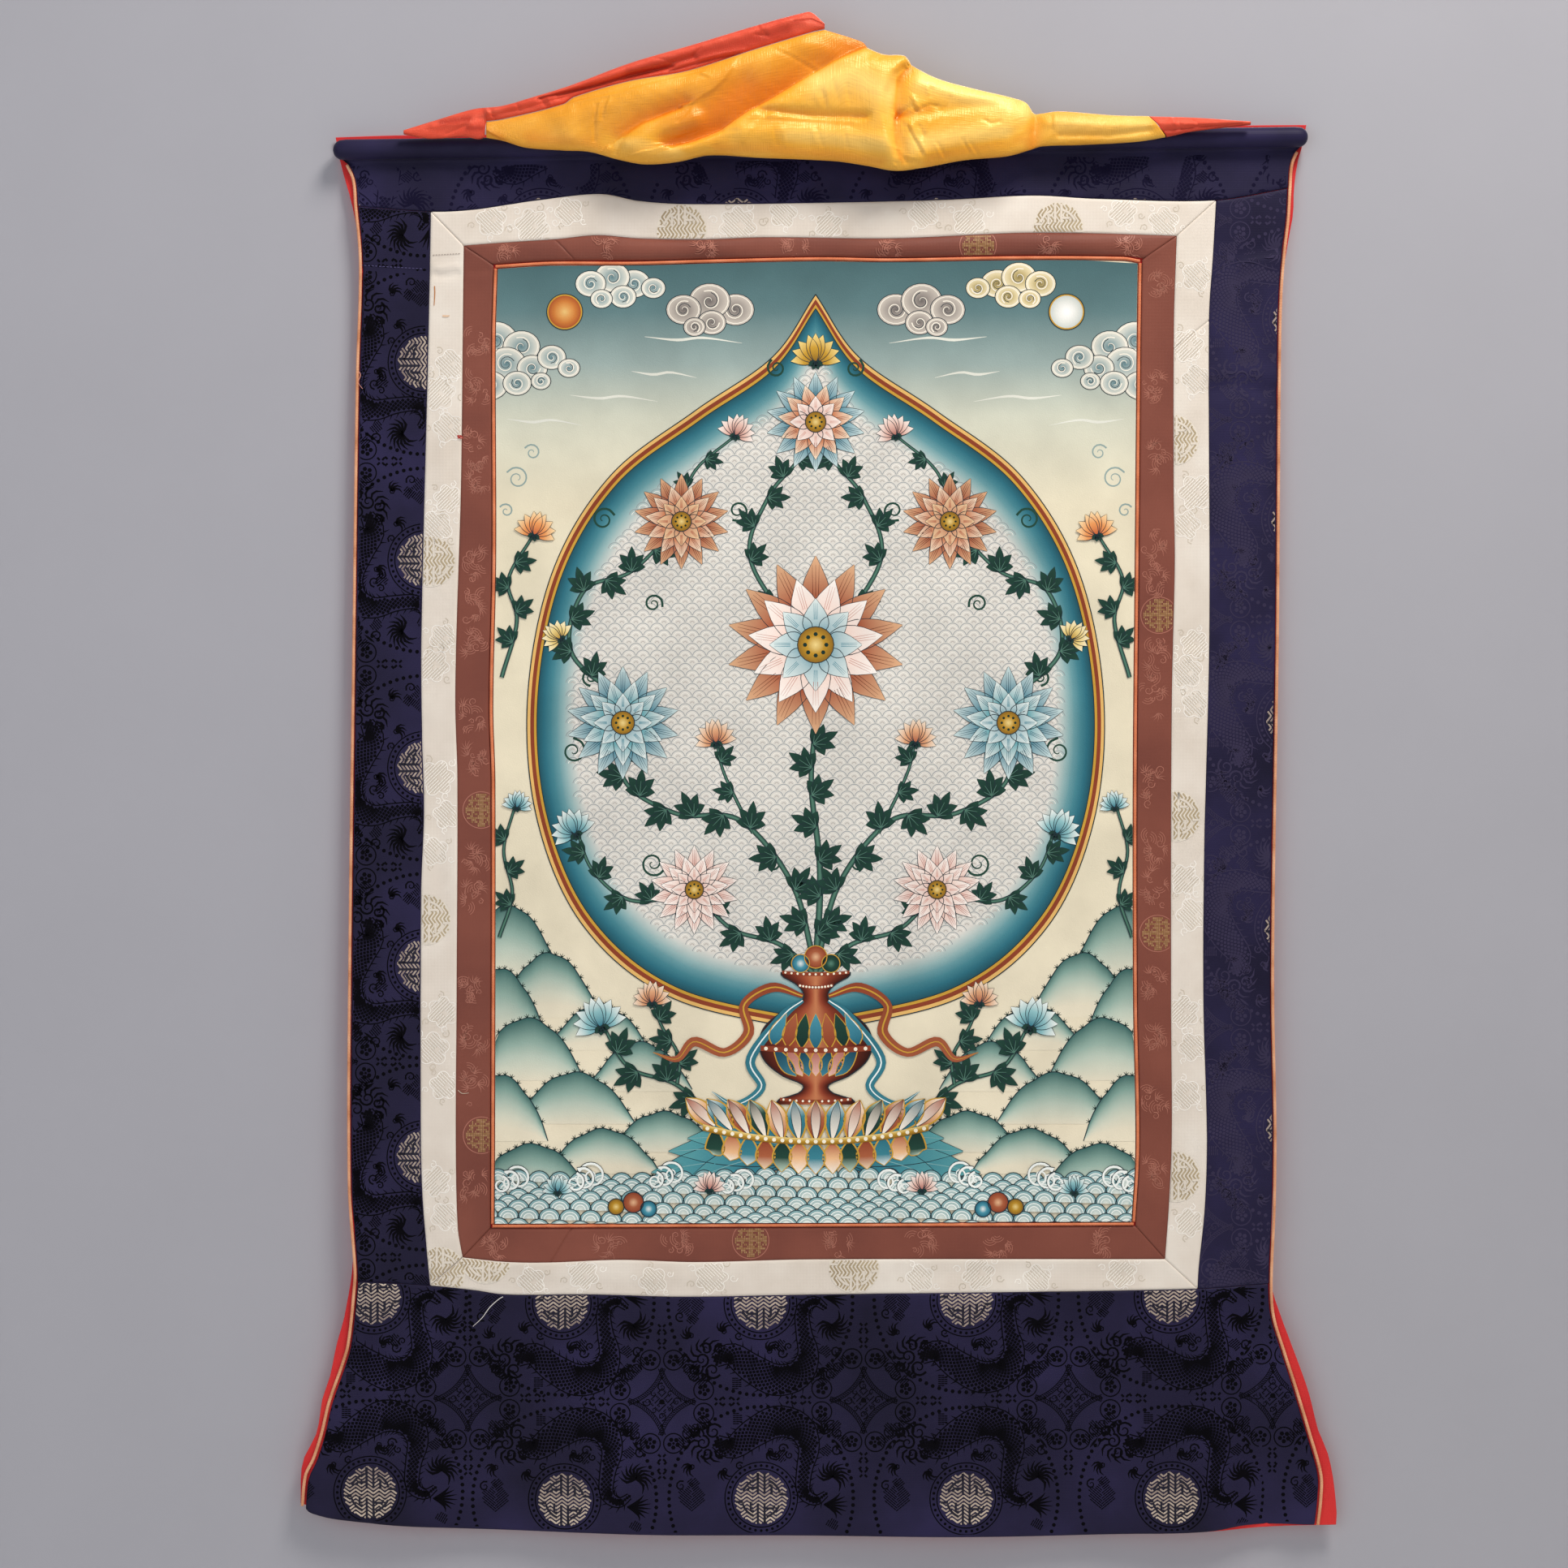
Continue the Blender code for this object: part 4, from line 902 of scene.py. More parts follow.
        # A face with a side of no length is a triangle
        following = np.roll(faces, -1, 1)
        short = np.abs(points[faces] - points[following]).max(2) < 1e-8
        kept = np.ones(faces.shape, bool)
        kept[short.any(1), short.argmax(1)[short.any(1)]] = False
        sizes = kept.sum(1)
        mesh = bpy.data.meshes.new(name)
        mesh.vertices.add(len(points))
        mesh.vertices.foreach_set("co", points.ravel())
        mesh.loops.add(int(sizes.sum()))
        mesh.loops.foreach_set("vertex_index", faces[kept].astype(np.int32))
        mesh.polygons.add(len(faces))
        mesh.polygons.foreach_set("loop_start", (np.cumsum(sizes) - sizes).astype(np.int32))
        mesh.update(calc_edges=True)
        mesh.validate()
        colours = np.concatenate([np.concatenate(self.tones)[used], np.ones((len(used), 1))], 1)
        mesh.color_attributes.new("dye", "FLOAT_COLOR", "POINT").data.foreach_set("color", colours.ravel())
        flat = points[faces[kept]][:, [0, 2]]
        mesh.uv_layers.new(name="UVMap").data.foreach_set("uv", flat.ravel())
        mesh.shade_smooth()
        piece = bpy.data.objects.new(name, mesh)
        bpy.context.scene.collection.objects.link(piece)
        finish(piece, material, slot)


def floats(name, roughness, gloss, grain, relief):
    """Loose silk floats that carry a figure: its dye from the charted colours, with thread relief."""
    material = new_material(name)
    spot = add_node(material, "TexCoord")
    dye = add_node(material, "Attribute", attribute_name="dye")
    cloudy = add_node(material, "TexNoise", {"Vector": (spot, "Object"), "Scale": grain, "Detail": 5.0})
    span = add_node(material, "MapRange", {"Value": (cloudy, "Fac"), "To Min": 0.8, "To Max": 1.2})
    tinted = add_node(
        material, "VectorMath", {0: (dye, "Color"), "Scale": (span, "Result")}, operation="SCALE"
    )
    fine = add_node(material, "TexNoise", {"Vector": (spot, "Object"), "Scale": 900.0, "Detail": 2.0})
    bump = add_node(material, "Bump", {"Height": (fine, "Fac"), "Strength": relief, "Distance": 0.0004})
    shader = add_node(
        material, "BsdfPrincipled",
        {"Base Color": (tinted, "Vector"), "Roughness": roughness, "Specular IOR Level": gloss,
         "Sheen Weight": 0.4 * gloss, "Sheen Roughness": 0.4, "Normal": (bump, "Normal")},
    )
    add_node(material, "OutputMaterial", {"Surface": (shader, "BSDF")})
    return material


def leaf_cluster(chart, cx, cy, size, slant, dark):
    """Three lobes of slanted floats round a bud."""
    def lobes(x, y):
        turn = 1.5 * (np.arctan2(y, x) - math.radians(slant))
        return np.hypot(x, y) < size * (0.55 + 0.45 * np.abs(np.cos(turn)))

    chart.hatched(lobes, (cx - size, cy - size, cx + size, cy + size), 1.9, 2.6, 1.0, dark, slant)


def flick(chart, cx, cy, ends, widths, tone):
    """A bent stroke through points at reaches and angles from a centre."""
    chart.stroke([polar(cx, cy, reach, angle) for reach, angle in ends], widths, tone, step=4)


# The dragon of a repeat, about its roundel: its body's way and widths
DRAGON_BODY = ((60, 4), (50, -2), (39, 6), (40, 27), (44, 48), (35, 66), (14, 71), (-8, 60), (-27, 47),
               (-42, 53))
DRAGON_GIRTH = (4, 8, 11, 13, 18, 25, 28, 25, 19, 11)
# Its mane's curls (x, y, radius, start, hand), and its claws (x, y, way)
MANE = ((-44, 62, 8, 30, 1), (-54, 52, 7, 90, -1), (-50, 42, 6, 200, 1), (-38, 42, 5, 300, -1),
        (-60, 62, 5, 150, 1))
CLAWS = ((-64, 30, 200), (-34, 26, 250), (54, 62, 20), (8, 44, 280))
# Small clouds (x, y, radius, start) and leaf clusters (x, y, size, slant) about it
SMALL_CLOUDS = ((20, 46, 5, 0), (26, 40, 4, 120), (14, 39, 4, 220), (-20, 30, 4, 40), (-74, 12, 5, 60),
                (70, 44, 5, 100), (24, -44, 5, 20), (34, -52, 4, 150), (-30, -46, 5, 240), (-42, -52, 4, 60),
                (-6, -60, 4, 300), (52, -40, 4, 80))
LEAF_CLUSTERS = ((18, 40, 7, 50), (60, 44, 6, -40), (-62, 14, 6, 40), (-22, 74, 6, 0), (66, -24, 6, 60),
                 (-12, -48, 7, -50), (40, -60, 6, 30), (-50, -62, 6, -30), (-66, -40, 7, 50),
                 (14, -72, 6, 10))


def dragon_circle(chart, dark):
    """One repeat about its roundel: pearl circles, and a scaled body that coils over it."""
    for inner, outer in ((26.6, 27.6), (33.0, 34.0)):
        chart.ring(0, 0, inner, outer, dark, 48)
    for reach, pearls, radius in ((30.3, 36, 1.4), (85, 84, 1.9)):
        turn = np.linspace(0, math.tau, pearls + 1)[:-1]
        chart.dots(reach * np.cos(turn), reach * np.sin(turn), radius, dark)
    chart.scales(DRAGON_BODY, DRAGON_GIRTH, 3.9, dark)
    path, way = smooth_way(DRAGON_BODY, 6)
    for side in (1, -1):
        rail = np.stack(beside(path, way, side * (half_widths(DRAGON_GIRTH, len(path)) + 0.7)), 1)
        chart.stroke(rail, (1.1, 1.1), dark, step=5)
        fin = rail[2:-2] + side * np.stack([-way[2:-2, 1], way[2:-2, 0]], 1) * 4.5 + 3.0 * way[2:-2]
        for base, tip in zip(rail[2:-2], fin):
            chart.stroke((base, tip), (1.3, 0.2), dark, step=6)
    for x, y, radius, start, hand in MANE:
        chart.curl(x, y, radius, 1.4, 2.0, dark, start, hand=hand)
    for k in range(9):
        angle = math.radians(95 + 26 * k)
        flick(chart, -48, 52, ((9, angle), (16, angle), (21, angle + 0.4)), (1.4, 2.6, 0.3), dark)
    for cx, cy, turn in CLAWS:
        for k in range(4):
            angle = math.radians(turn + 30 * (k - 1.5))
            flick(chart, cx, cy, ((0, angle), (6, angle), (10, angle + 0.6)), (2.2, 2.0, 0.3), dark)
        chart.curl(cx, cy, 3.4, 1.2, 1.3, dark, turn)
    # A plume at the tail, and a fan beside it
    for k in range(11):
        angle = math.radians(200 - 24 * k)
        tip = (66 + 16 * math.cos(angle - 0.5), 20 + 15 * math.sin(angle - 0.5))
        chart.stroke(((66, 20), polar(66, 20, 9, angle), tip), (1.6, 2.6, 0.3), dark, step=4)
    for k in range(7):
        angle = math.radians(-60 + 18 * k)
        tip = (80 * math.cos(0.5 * angle), -6 + 15 * math.sin(angle))
        chart.stroke(((58, -6), polar(66, -6, 4, angle, 2.0), tip), (1, 2.2, 0.3), dark, step=4)
    for x, y, radius, start in SMALL_CLOUDS:
        chart.curl(x, y, radius, 1.3, 1.5, dark, start)
    for x, y, size, slant in LEAF_CLUSTERS:
        leaf_cluster(chart, x, y, size, slant, dark)
    for hand in (1, -1):
        def half_lozenge(x, y):
            return (np.abs(x) / 13 + np.abs(y) / 12 < 1.25) & (np.abs(x) < 12) & (hand * x > 0)

        chart.hatched(half_lozenge, (-77, -10, -51, 14), 1.9, 3.0, 0.9, dark, 40 * hand)


def vine_lozenge(chart, dark):
    """The ornament between four circles: a curved lozenge with flower vines at its points."""
    for quarter in range(4):
        turn = quarter * math.pi / 2
        cos, sin = math.cos(turn), math.sin(turn)

        def spin(x, y):
            return x * cos - y * sin, x * sin + y * cos

        for reach in (45.5, 49.0):
            arc = np.radians(np.linspace(196, 254, 9))
            rim = spin(44 + reach * np.cos(arc), 44 + reach * np.sin(arc))
            chart.stroke(np.stack(rim, 1), (0.8, 0.8), dark, step=5)
        arc = np.radians(np.linspace(197, 253, 24))
        x, y = spin(44 + 47.2 * np.cos(arc), 44 + 47.2 * np.sin(arc))
        chart.stitches(x, y, arc + turn + 0.6, 2.4, 0.8, fade(dark, np.zeros(24)))
        for side in (1, -1):
            cx, cy = spin(side * 10.7, 38.5)
            chart.ring(cx, cy, 8.6, 9.7, dark, 26)
            for k in range(5):
                chart.dots(*polar(cx, cy, 3.9, turn + k * math.tau / 5 + side), 2.1, dark)
            chart.dots(cx, cy, 1.3, dark)
            chart.stroke((spin(side * 20, 46), spin(side * 27, 37)), (0.4, 2.8, 0.3), dark, step=3)
            chart.curl(*spin(side * 24, 30), 5.5, 1.4, 1.2, dark, 60 * quarter)
        for reach, size in ((52, 3.2), (60, 4.4), (68, 3.2)):
            for k in range(4):
                angle = k * math.pi / 2 + math.pi / 4
                x, y = spin(size * math.cos(angle), reach + size * math.sin(angle))
                chart.stitches(np.array([x]), np.array([y]), angle + turn, 3.2, 1.9, fade(dark, np.zeros(1)))
        for out, aside, size in ((28, 27, 9), (37, 18, 6), (18, 37, 6)):
            leaf_cluster(chart, *spin(out, aside), size, 45 + 90 * (quarter % 2), dark)
        chart.curl(*spin(13.5, 0), 4.4, 1.3, 1.1, dark, 90 * quarter)
        chart.curl(*spin(7.5, 7.5), 3.0, 1.1, 1.0, dark, 45 + 90 * quarter)
        chart.dots(*spin(22, 0), 1.5, dark)
    chart.dots(0, 0, 2.6, dark)

    def within(x, y):
        in_lozenge = np.hypot(np.abs(x) - 44, np.abs(y) - 44) > 51.5
        return in_lozenge & (np.cos(1.1 * (x + y)) + np.cos(1.1 * (x - y)) > 0.1)

    chart.hatched(within, (-20, -20, 20, 20), 1.6, 1.5, 1.0, dark, 45)


def fret_roundel(chart, radius, tones, ground, lift=0.0, upright=True):
    """A round of herringbone stitches, with the slots of a fret in the colour of the ground."""
    ranks = np.arange(-radius + 0.5 * HERRINGBONE, radius, HERRINGBONE)
    rows = np.arange(-radius - 3, radius + 3, STITCH_PITCH)
    parts = (np.arange(STITCH_PARTS) + 0.5) / STITCH_PARTS - 0.5
    axes = np.meshgrid(np.arange(len(ranks)), rows, parts, indexing="ij")
    rank, row, part = (axis.ravel() for axis in axes)
    lean = np.where(rank % 2, 1, -1) * HERRINGBONE_RISE
    x = ranks[rank] + part * HERRINGBONE
    y = row + part * lean * HERRINGBONE
    kept = np.hypot(x, y) < radius
    x, y, lean, row = x[kept], y[kept], lean[kept], row[kept]
    length = HERRINGBONE / STITCH_PARTS * math.hypot(1, HERRINGBONE_RISE) * 1.05
    # Every other stitch is darker, and painted shade darkens all of them to one side, as the floats turn from
    # the light
    painted_shading_share = 0.3 * (np.rint(row / STITCH_PITCH) % 2) + 0.35 * (1 + row / radius)
    colours = fade(tones, np.clip(painted_shading_share, 0, 1))
    if not upright:
        x, y, lean = -y, x, -1 / lean
    chart.stitches(x, y, np.arctan(lean), length, STITCH_WIDTH, colours, lift)
    over = lift + 0.15
    for quarter in range(4):
        turn = quarter * 90
        arc = (turn + 16, turn + 68)
        chart.ring(0, 0, 0.7 * radius, 0.7 * radius + FRET_SLOT, ground, 12, over, arc)
        cos, sin = round(math.cos(math.radians(turn))), round(math.sin(math.radians(turn)))
        for ends in FRET_SLOTS + (LONG_SLOTS if quarter % 2 == 0 else []):
            slot = [(radius * (x * cos - y * sin), radius * (x * sin + y * cos)) for x, y in ends]
            chart.stroke(slot, (FRET_SLOT, FRET_SLOT), ground, over, step=6)


def shifted(follow, by):
    """A line moved over by a distance."""
    return lambda at: follow(at) + by


def spread_damask(name, centres, corners, turned, limits, tone):
    """Lay the repeats of one panel: roundel centres with their mirroring, and the corners between."""
    figure, roundels = Chart(), Chart()
    for cx, cd, mirrored in centres:
        flip = -1 if mirrored else 1
        ways = ((0, flip), (-1, 0)) if turned else ((1, 0), (0, -flip))
        figure.set_at(cx, cd, *ways)
        roundels.set_at(cx, cd, *ways)
        dragon_circle(figure, tone)
        fret_roundel(roundels, DAMASK_ROUNDEL, PALE_THREAD, ROUNDEL_GROUND)
    for cx, cd in corners:
        figure.set_at(cx, cd)
        vine_lozenge(figure, tone)
    figure.lay(f"{name}_figure", limits, dark_floats, "navy_damask")
    roundels.lay(f"{name}_roundels", limits, pale_floats, "navy_damask", lift=FIGURE_LIFT + 0.1)


dark_floats = floats("dark_silk_floats", 0.7, 0.04, 30.0, 0.25)
pale_floats = floats("pale_silk_floats", 0.6, 0.3, 60.0, 0.6)
# Roundels of the skirt, as (x, drop): the lower row, and the row that the seam cuts
LOWER_ROUNDELS = [(-594, 1250), (-411, 1254.8), (-231.8, 1262.3), (-50.3, 1260.8), (138.8, 1260.8),
                  (328.5, 1260), (517, 1258)]
UPPER_ROUNDELS = [(-590, 1074), (-407, 1075), (-234, 1080), (-51, 1080), (138.8, 1077), (327, 1074),
                  (515, 1072)]
fours = zip(LOWER_ROUNDELS, LOWER_ROUNDELS[1:], UPPER_ROUNDELS, UPPER_ROUNDELS[1:])
skirt_corners = [[0.25 * sum(place) for place in zip(*four)] for four in fours]
skirt_centres = [(*at, False) for at in LOWER_ROUNDELS] + [(*at, True) for at in UPPER_ROUNDELS]
skirt_limits = (
    shifted(edge_left, PIPED_SKIRT), shifted(edge_right, -PIPED_SKIRT), foot_seam, shifted(hem, -HEM_FREE)
)
spread_damask("skirt", skirt_centres, skirt_corners, False, skirt_limits, DARK_FIGURE)

# The sides. The right one takes the light, so that its figure shows paler than the ground
LEFT_ROUNDELS = [(-362, 28), (-362, 211.5), (-362, 394.5), (-362, 586.5), (-362, 769.5), (-362, 945.8),
                 (-362, 1130)]
RIGHT_ROUNDELS = [(446, -12), (447, 171.8), (446, 357), (441, 541.5), (439, 734.3), (440, 918), (438, 1102)]
left_limits = (shifted(edge_left, PIPED_SIDE), cream_left, top_seam, foot_seam)
right_limits = (cream_right, shifted(edge_right, -PIPED_SIDE), top_seam, foot_seam)
for name, roundels, mirrored, corner_x, limits, tone in (
    ("left_side", LEFT_ROUNDELS, False, -454, left_limits, DARK_FIGURE),
    ("right_side", RIGHT_ROUNDELS, True, 354, right_limits, LIT_FIGURE),
):
    centres = [(*at, mirrored) for at in roundels]
    corners = [(corner_x, 0.5 * (a[1] + b[1])) for a, b in zip(roundels, roundels[1:])]
    spread_damask(name, centres, corners, True, limits, tone)

sleeve_foot = 2 * SLEEVE_HALF_HEIGHT + NECK_DROP + 2.5
top_limits = (
    left_limits[0],
    right_limits[1],
    lambda x: sleeve_foot - SLEEVE_RISE * x / (SLEEVE_RIGHT - SLEEVE_LEFT),
    top_seam,
)
top_centres = [(298 - REPEAT * k, 84, False) for k in range(-1, 5)]
spread_damask("top", top_centres, [], False, top_limits, FAINT_FIGURE)

# ---------------------------------------------------------------- brocade figures
# Cream brocade carries clouds and flowers in a twill of lighter floats, with round frets in
# beige; brown brocade carries copper scrolls and sprays, with lattice rounds in gilt thread.
CREAM_LIGHT = "f6f1e8"
CREAM_SHADOW = "c8bca9"
BEIGE_THREAD = ("b9a888", "a28f70")
CREAM_ROUNDEL = 22.5
LATTICE_ROUNDEL = 15.0
COPPER_THREAD = ("ae705e", "9c5e4d")
GILT_THREAD = ("b08a5e", "94703f")
# Roundels of the borders, as (x, drop)
CREAM_ROUNDELS = [(-356, 396), (-360, 726.8), (-123.8, 89), (224.3, 87), (330.8, 283.5), (332.3, 631.5),
                  (331.5, 963.8), (-346.5, 1051.5), (-303.8, 1038.8), (35.3, 1047)]
BROWN_ROUNDELS = [(-309, 625.5), (-308.3, 925.5), (317.3, 445.5), (315.8, 739.5), (150, 104), (-60, 1022)]


def cloud_patch(chart, cx, cy, size, lobes, turn, slant):
    """A cloud head or flower in twill: scalloped, in long slanted stitches, light and dark by turns."""
    def edge(x, y):
        return size * (0.72 + 0.28 * np.abs(np.cos(0.5 * lobes * (np.arctan2(y, x) + turn))))

    for tone, shift in ((CREAM_LIGHT, 0.0), (CREAM_SHADOW, 0.9)):
        def inside(x, y):
            heart = np.hypot(x - 0.2 * size, y) > 0.2 * size
            return (np.hypot(x + shift, y) < edge(x, y)) & heart

        box = (cx - size + shift, cy - size, cx + size + shift, cy + size)
        chart.hatched(inside, box, 2.4, 3.4, 0.8, tone, slant)
    rim = np.linspace(0, math.tau, 8 * lobes + 1)
    reach = 1.12 * edge(np.cos(rim), np.sin(rim))
    outline = np.stack([cx + reach * np.cos(rim), cy + reach * np.sin(rim)], 1)
    chart.stroke(outline, (0.7, 0.7), CREAM_LIGHT, 0.02, step=1.6)
    for k in range(lobes):
        angle = turn + math.tau * k / lobes
        x, y = cx + 1.45 * size * math.cos(angle), cy + 1.2 * size * math.sin(angle)
        tone = (CREAM_LIGHT, CREAM_SHADOW)[k % 2]
        chart.curl(x, y, 0.3 * size, 1.2, 0.9, tone, math.degrees(angle))


def scroll_spray(chart, cx, cy, size, seed):
    """A cluster of fine copper scrolls, arcs and leaf tips."""
    draw = np.random.default_rng(seed)
    for k in range(12):
        angle = draw.uniform(0, math.tau)
        x, y = polar(cx, cy, size * draw.uniform(0.15, 1.0), angle, 1.5)
        if k % 3 == 0:
            chart.curl(x, y, draw.uniform(2.5, 4.5), 1.3, 0.75, COPPER_THREAD, draw.uniform(0, 360), step=1.8)
        elif k % 3 == 1:
            start = draw.uniform(0, 360)
            for radius in (3.0, 5.2, 7.4):
                chart.ring(x, y, radius - 0.3, radius + 0.3, COPPER_THREAD, 7, arc=(start, start + 110))
        else:
            for tip in range(5):
                way = angle + 0.5 * (tip - 2)
                leaf = ((x, y), polar(x, y, 4, way), polar(x, y, 8, way + 0.3))
                chart.stroke(leaf, (0.4, 0.8, 0.2), COPPER_THREAD, step=3.6)


def lattice_roundel(chart, radius, tones):
    """A round of gilt lattice inside a double ring."""
    chart.ring(0, 0, radius + 1.5, radius + 2.3, COPPER_THREAD, 40)

    def lattice(x, y):
        a, b = np.abs(x) % 7.0, np.abs(y) % 7.0
        return (np.hypot(x, y) < radius) & ((a < 1.9) | (b < 1.9) | ((a + b > 7.6) & (a + b < 9.6)))

    chart.hatched(lattice, (-radius, -radius, radius, radius), 1.4, 1.6, 0.9, tones, 90)


def on_strip(side, lines, at, aside):
    """A place on a strip: how far along it, and how far aside of its middle line."""
    middle = 0.5 * (lines[0](at) + lines[1](at)) + aside
    return (at, middle) if side in ("top", "bottom") else (middle, at)


def strip_limits(side, outer, inner, lines):
    """A strip's four limits; its mitres are limits too."""
    def mitre(corner, key):
        ends = sorted((outer[corner], inner[corner]), key=lambda end: end[key])
        return lambda at: np.interp(at, [end[key] for end in ends], [end[1 - key] for end in ends])

    if side in ("bottom", "right"):
        lines = lines[::-1]
    start, end = STRIP_ENDS[side]
    if side in ("top", "bottom"):
        return (mitre(start, 1), mitre(end, 1), *lines)
    return (*lines, mitre(start, 0), mitre(end, 0))


cream_floats = floats("cream_silk_floats", 0.42, 0.45, 25.0, 0.3)
copper_floats = floats("copper_silk_floats", 0.45, 0.35, 40.0, 0.3)
cream_lines = {side: [line_through(line) for line in lines] for side, lines in CREAM_LINES.items()}
brown_lines = {side: [line_through(line) for line in lines] for side, lines in BROWN_LINES.items()}
for side, (outer_line, inner_line) in brown_lines.items():
    under_piping = PIPED_EDGE if side in ("bottom", "right") else -PIPED_EDGE
    brown_lines[side] = [outer_line, shifted(inner_line, under_piping)]
# Along each cream strip: where a patch lies, its distance from the middle line, its size and its lobes
CREAM_PATCHES = {
    "top": [(-300, -4, 13, 5), (-262, 5, 15, 6), (-228, -5, 12, 5), (-72, 4, 16, 7), (-30, -6, 12, 5),
            (12, 5, 12, 6), (100, -5, 13, 5), (142, 4, 14, 6), (284, -4, 12, 6), (322, 4, 13, 5)],
    "bottom": [(-262, 2, 12, 5), (-214, -3, 13, 6), (-150, 2, 12, 5), (-96, -2, 14, 7), (96, 2, 12, 5),
               (150, -2, 14, 6), (204, 3, 12, 5), (282, -2, 13, 6)],
    "left": [(214, 5, 13, 5), (240, -6, 15, 6), (272, 4, 13, 5), (338, 5, 12, 6), (364, -5, 14, 5),
             (466, 4, 12, 5), (492, -5, 14, 6), (596, -3, 15, 6), (630, 6, 12, 5), (664, -5, 12, 5),
             (812, 4, 13, 6), (846, -5, 14, 5), (880, 5, 12, 5), (968, -3, 13, 6), (1000, 4, 12, 5)],
    "right": [(132, 3, 13, 5), (196, -4, 14, 6), (228, 5, 13, 5), (332, 4, 15, 6), (362, -5, 12, 5),
              (472, 3, 12, 6), (498, -4, 14, 5), (528, 5, 12, 5), (690, -3, 13, 6), (722, 5, 14, 5),
              (812, -4, 14, 6), (844, 4, 12, 5), (888, -3, 13, 5), (1006, 3, 12, 6)],
}
for side, patches in CREAM_PATCHES.items():
    chart = Chart(up=(0, 1))
    for at, aside, size, lobes in patches:
        cx, cy = on_strip(side, cream_lines[side], at, aside)
        cloud_patch(chart, cx, cy, size, lobes, at, 45 if lobes % 2 else -45)
    for cx, cd in CREAM_ROUNDELS:
        chart.set_at(cx, cd, up=(0, 1))
        chart.ring(0, 0, 0, CREAM_ROUNDEL + 1, "e0d7c8", 36, rows=4, lift=0.1)
        fret_roundel(chart, CREAM_ROUNDEL, BEIGE_THREAD, "ddd3c4", lift=0.2, upright=False)
    limits = strip_limits(side, CREAM_CORNERS, BROWN_CORNERS, cream_lines[side])
    chart.lay(f"cream_figure_{side}", limits, cream_floats, "cream_brocade")

# Along each brown strip: where a spray lies, its distance from the middle line and its size
BROWN_SPRAYS = {
    "top": [(-288, 0, 9), (-196, 0, 10), (-100, 1, 10), (-20, 0, 9), (66, 0, 9), (216, 1, 10), (290, 0, 9)],
    "bottom": [(-296, 0, 10), (-190, 2, 12), (-126, -2, 10), (20, 0, 10), (96, 2, 12), (170, 0, 12),
               (262, 0, 10)],
    "left": [(196, 0, 10), (232, 2, 12), (288, -2, 12), (322, 2, 9), (398, 0, 10), (436, -2, 12),
             (472, 2, 9), (540, 0, 12), (580, 0, 11), (668, 0, 12), (706, 0, 10), (790, 1, 12),
             (840, -1, 12), (880, 0, 12), (968, 0, 12)],
    "right": [(140, 2, 8), (236, -3, 10), (300, 0, 9), (384, 0, 12), (412, 0, 12), (486, 2, 12),
              (520, -1, 12), (604, 0, 12), (660, 0, 10), (700, 0, 12), (784, 0, 12), (836, 2, 10),
              (900, -2, 12), (960, 0, 10)],
}
for side, sprays in BROWN_SPRAYS.items():
    chart = Chart(up=(0, 1))
    for number, (at, aside, size) in enumerate(sprays):
        cx, cy = on_strip(side, brown_lines[side], at, aside)
        scroll_spray(chart, cx, cy, size, int(abs(at)) + number)
    for cx, cd in BROWN_ROUNDELS:
        chart.set_at(cx, cd, up=(0, 1))
        lattice_roundel(chart, LATTICE_ROUNDEL, GILT_THREAD)
    limits = strip_limits(side, BROWN_CORNERS, CANVAS_CORNERS, brown_lines[side])
    chart.lay(f"brown_figure_{side}", limits, copper_floats, "brown_brocade")

# ---------------------------------------------------------------- painted canvas
# Fine cotton canvas, sized and polished, painted in mineral colours. It is sewn in
# behind the brown border and lies almost flat.
canvas_cut = cut_along((CANVAS_HEAD, CANVAS_FOOT, CANVAS_LEFT, CANVAS_RIGHT), CANVAS_CORNERS.values())
painted_canvas = panel("painted_canvas", canvas_cut, (594, 888), (PIPED_EDGE,) * 4)
sized_cotton = woven(
    "sized_cotton_canvas", ("e0d5b9", "e4dabf", "e8dfc7"), 0.8, 0.0, (0.9, 0.9), 0.3, mottle=5.0
)
finish(painted_canvas, sized_cotton, "painted_canvas", "painting")
flat, area = flat_size(canvas_cut)

# ---------------------------------------------------------------- painting
# Mineral colours in glue, brushed flat and shaded by stippling, with fine outlines. The picture
# is a vase of lotus vines in a leaf-shaped field, with clouds above it and hills and water below.
PAINT_MIDDLE = 563.0
PAINT_TRIM = PIPED_EDGE + 0.3
PAINT_LIFT = 0.1
SKY = ("e4dac0", "e3dabf", "ced0be", "96a8a4", "5b7a7d", "48686c")
FIELD_PALE = "d9d6ce"
TEAL = ("2c6c7c", "3b818f", "7facad")
LEAF_GREEN = ("14302a", "214539", "55806f")
RUST = ("8a3f28", "a95f3f", "e3b48b")
BLUE = ("1f6076", "4b94a6", "dfe9e6")
ROSE = ("b06a5e", "dfb3a6", "f4ece4")
GOLD = ("8a6420", "b98d2c", "e8cf86")
INK = "22323a"
GOLD_LINE = "c79a3a"
PETAL_SHAPE = (0.25, 0.62, 0.88, 1.0, 0.97, 0.78, 0.42, 0.03)
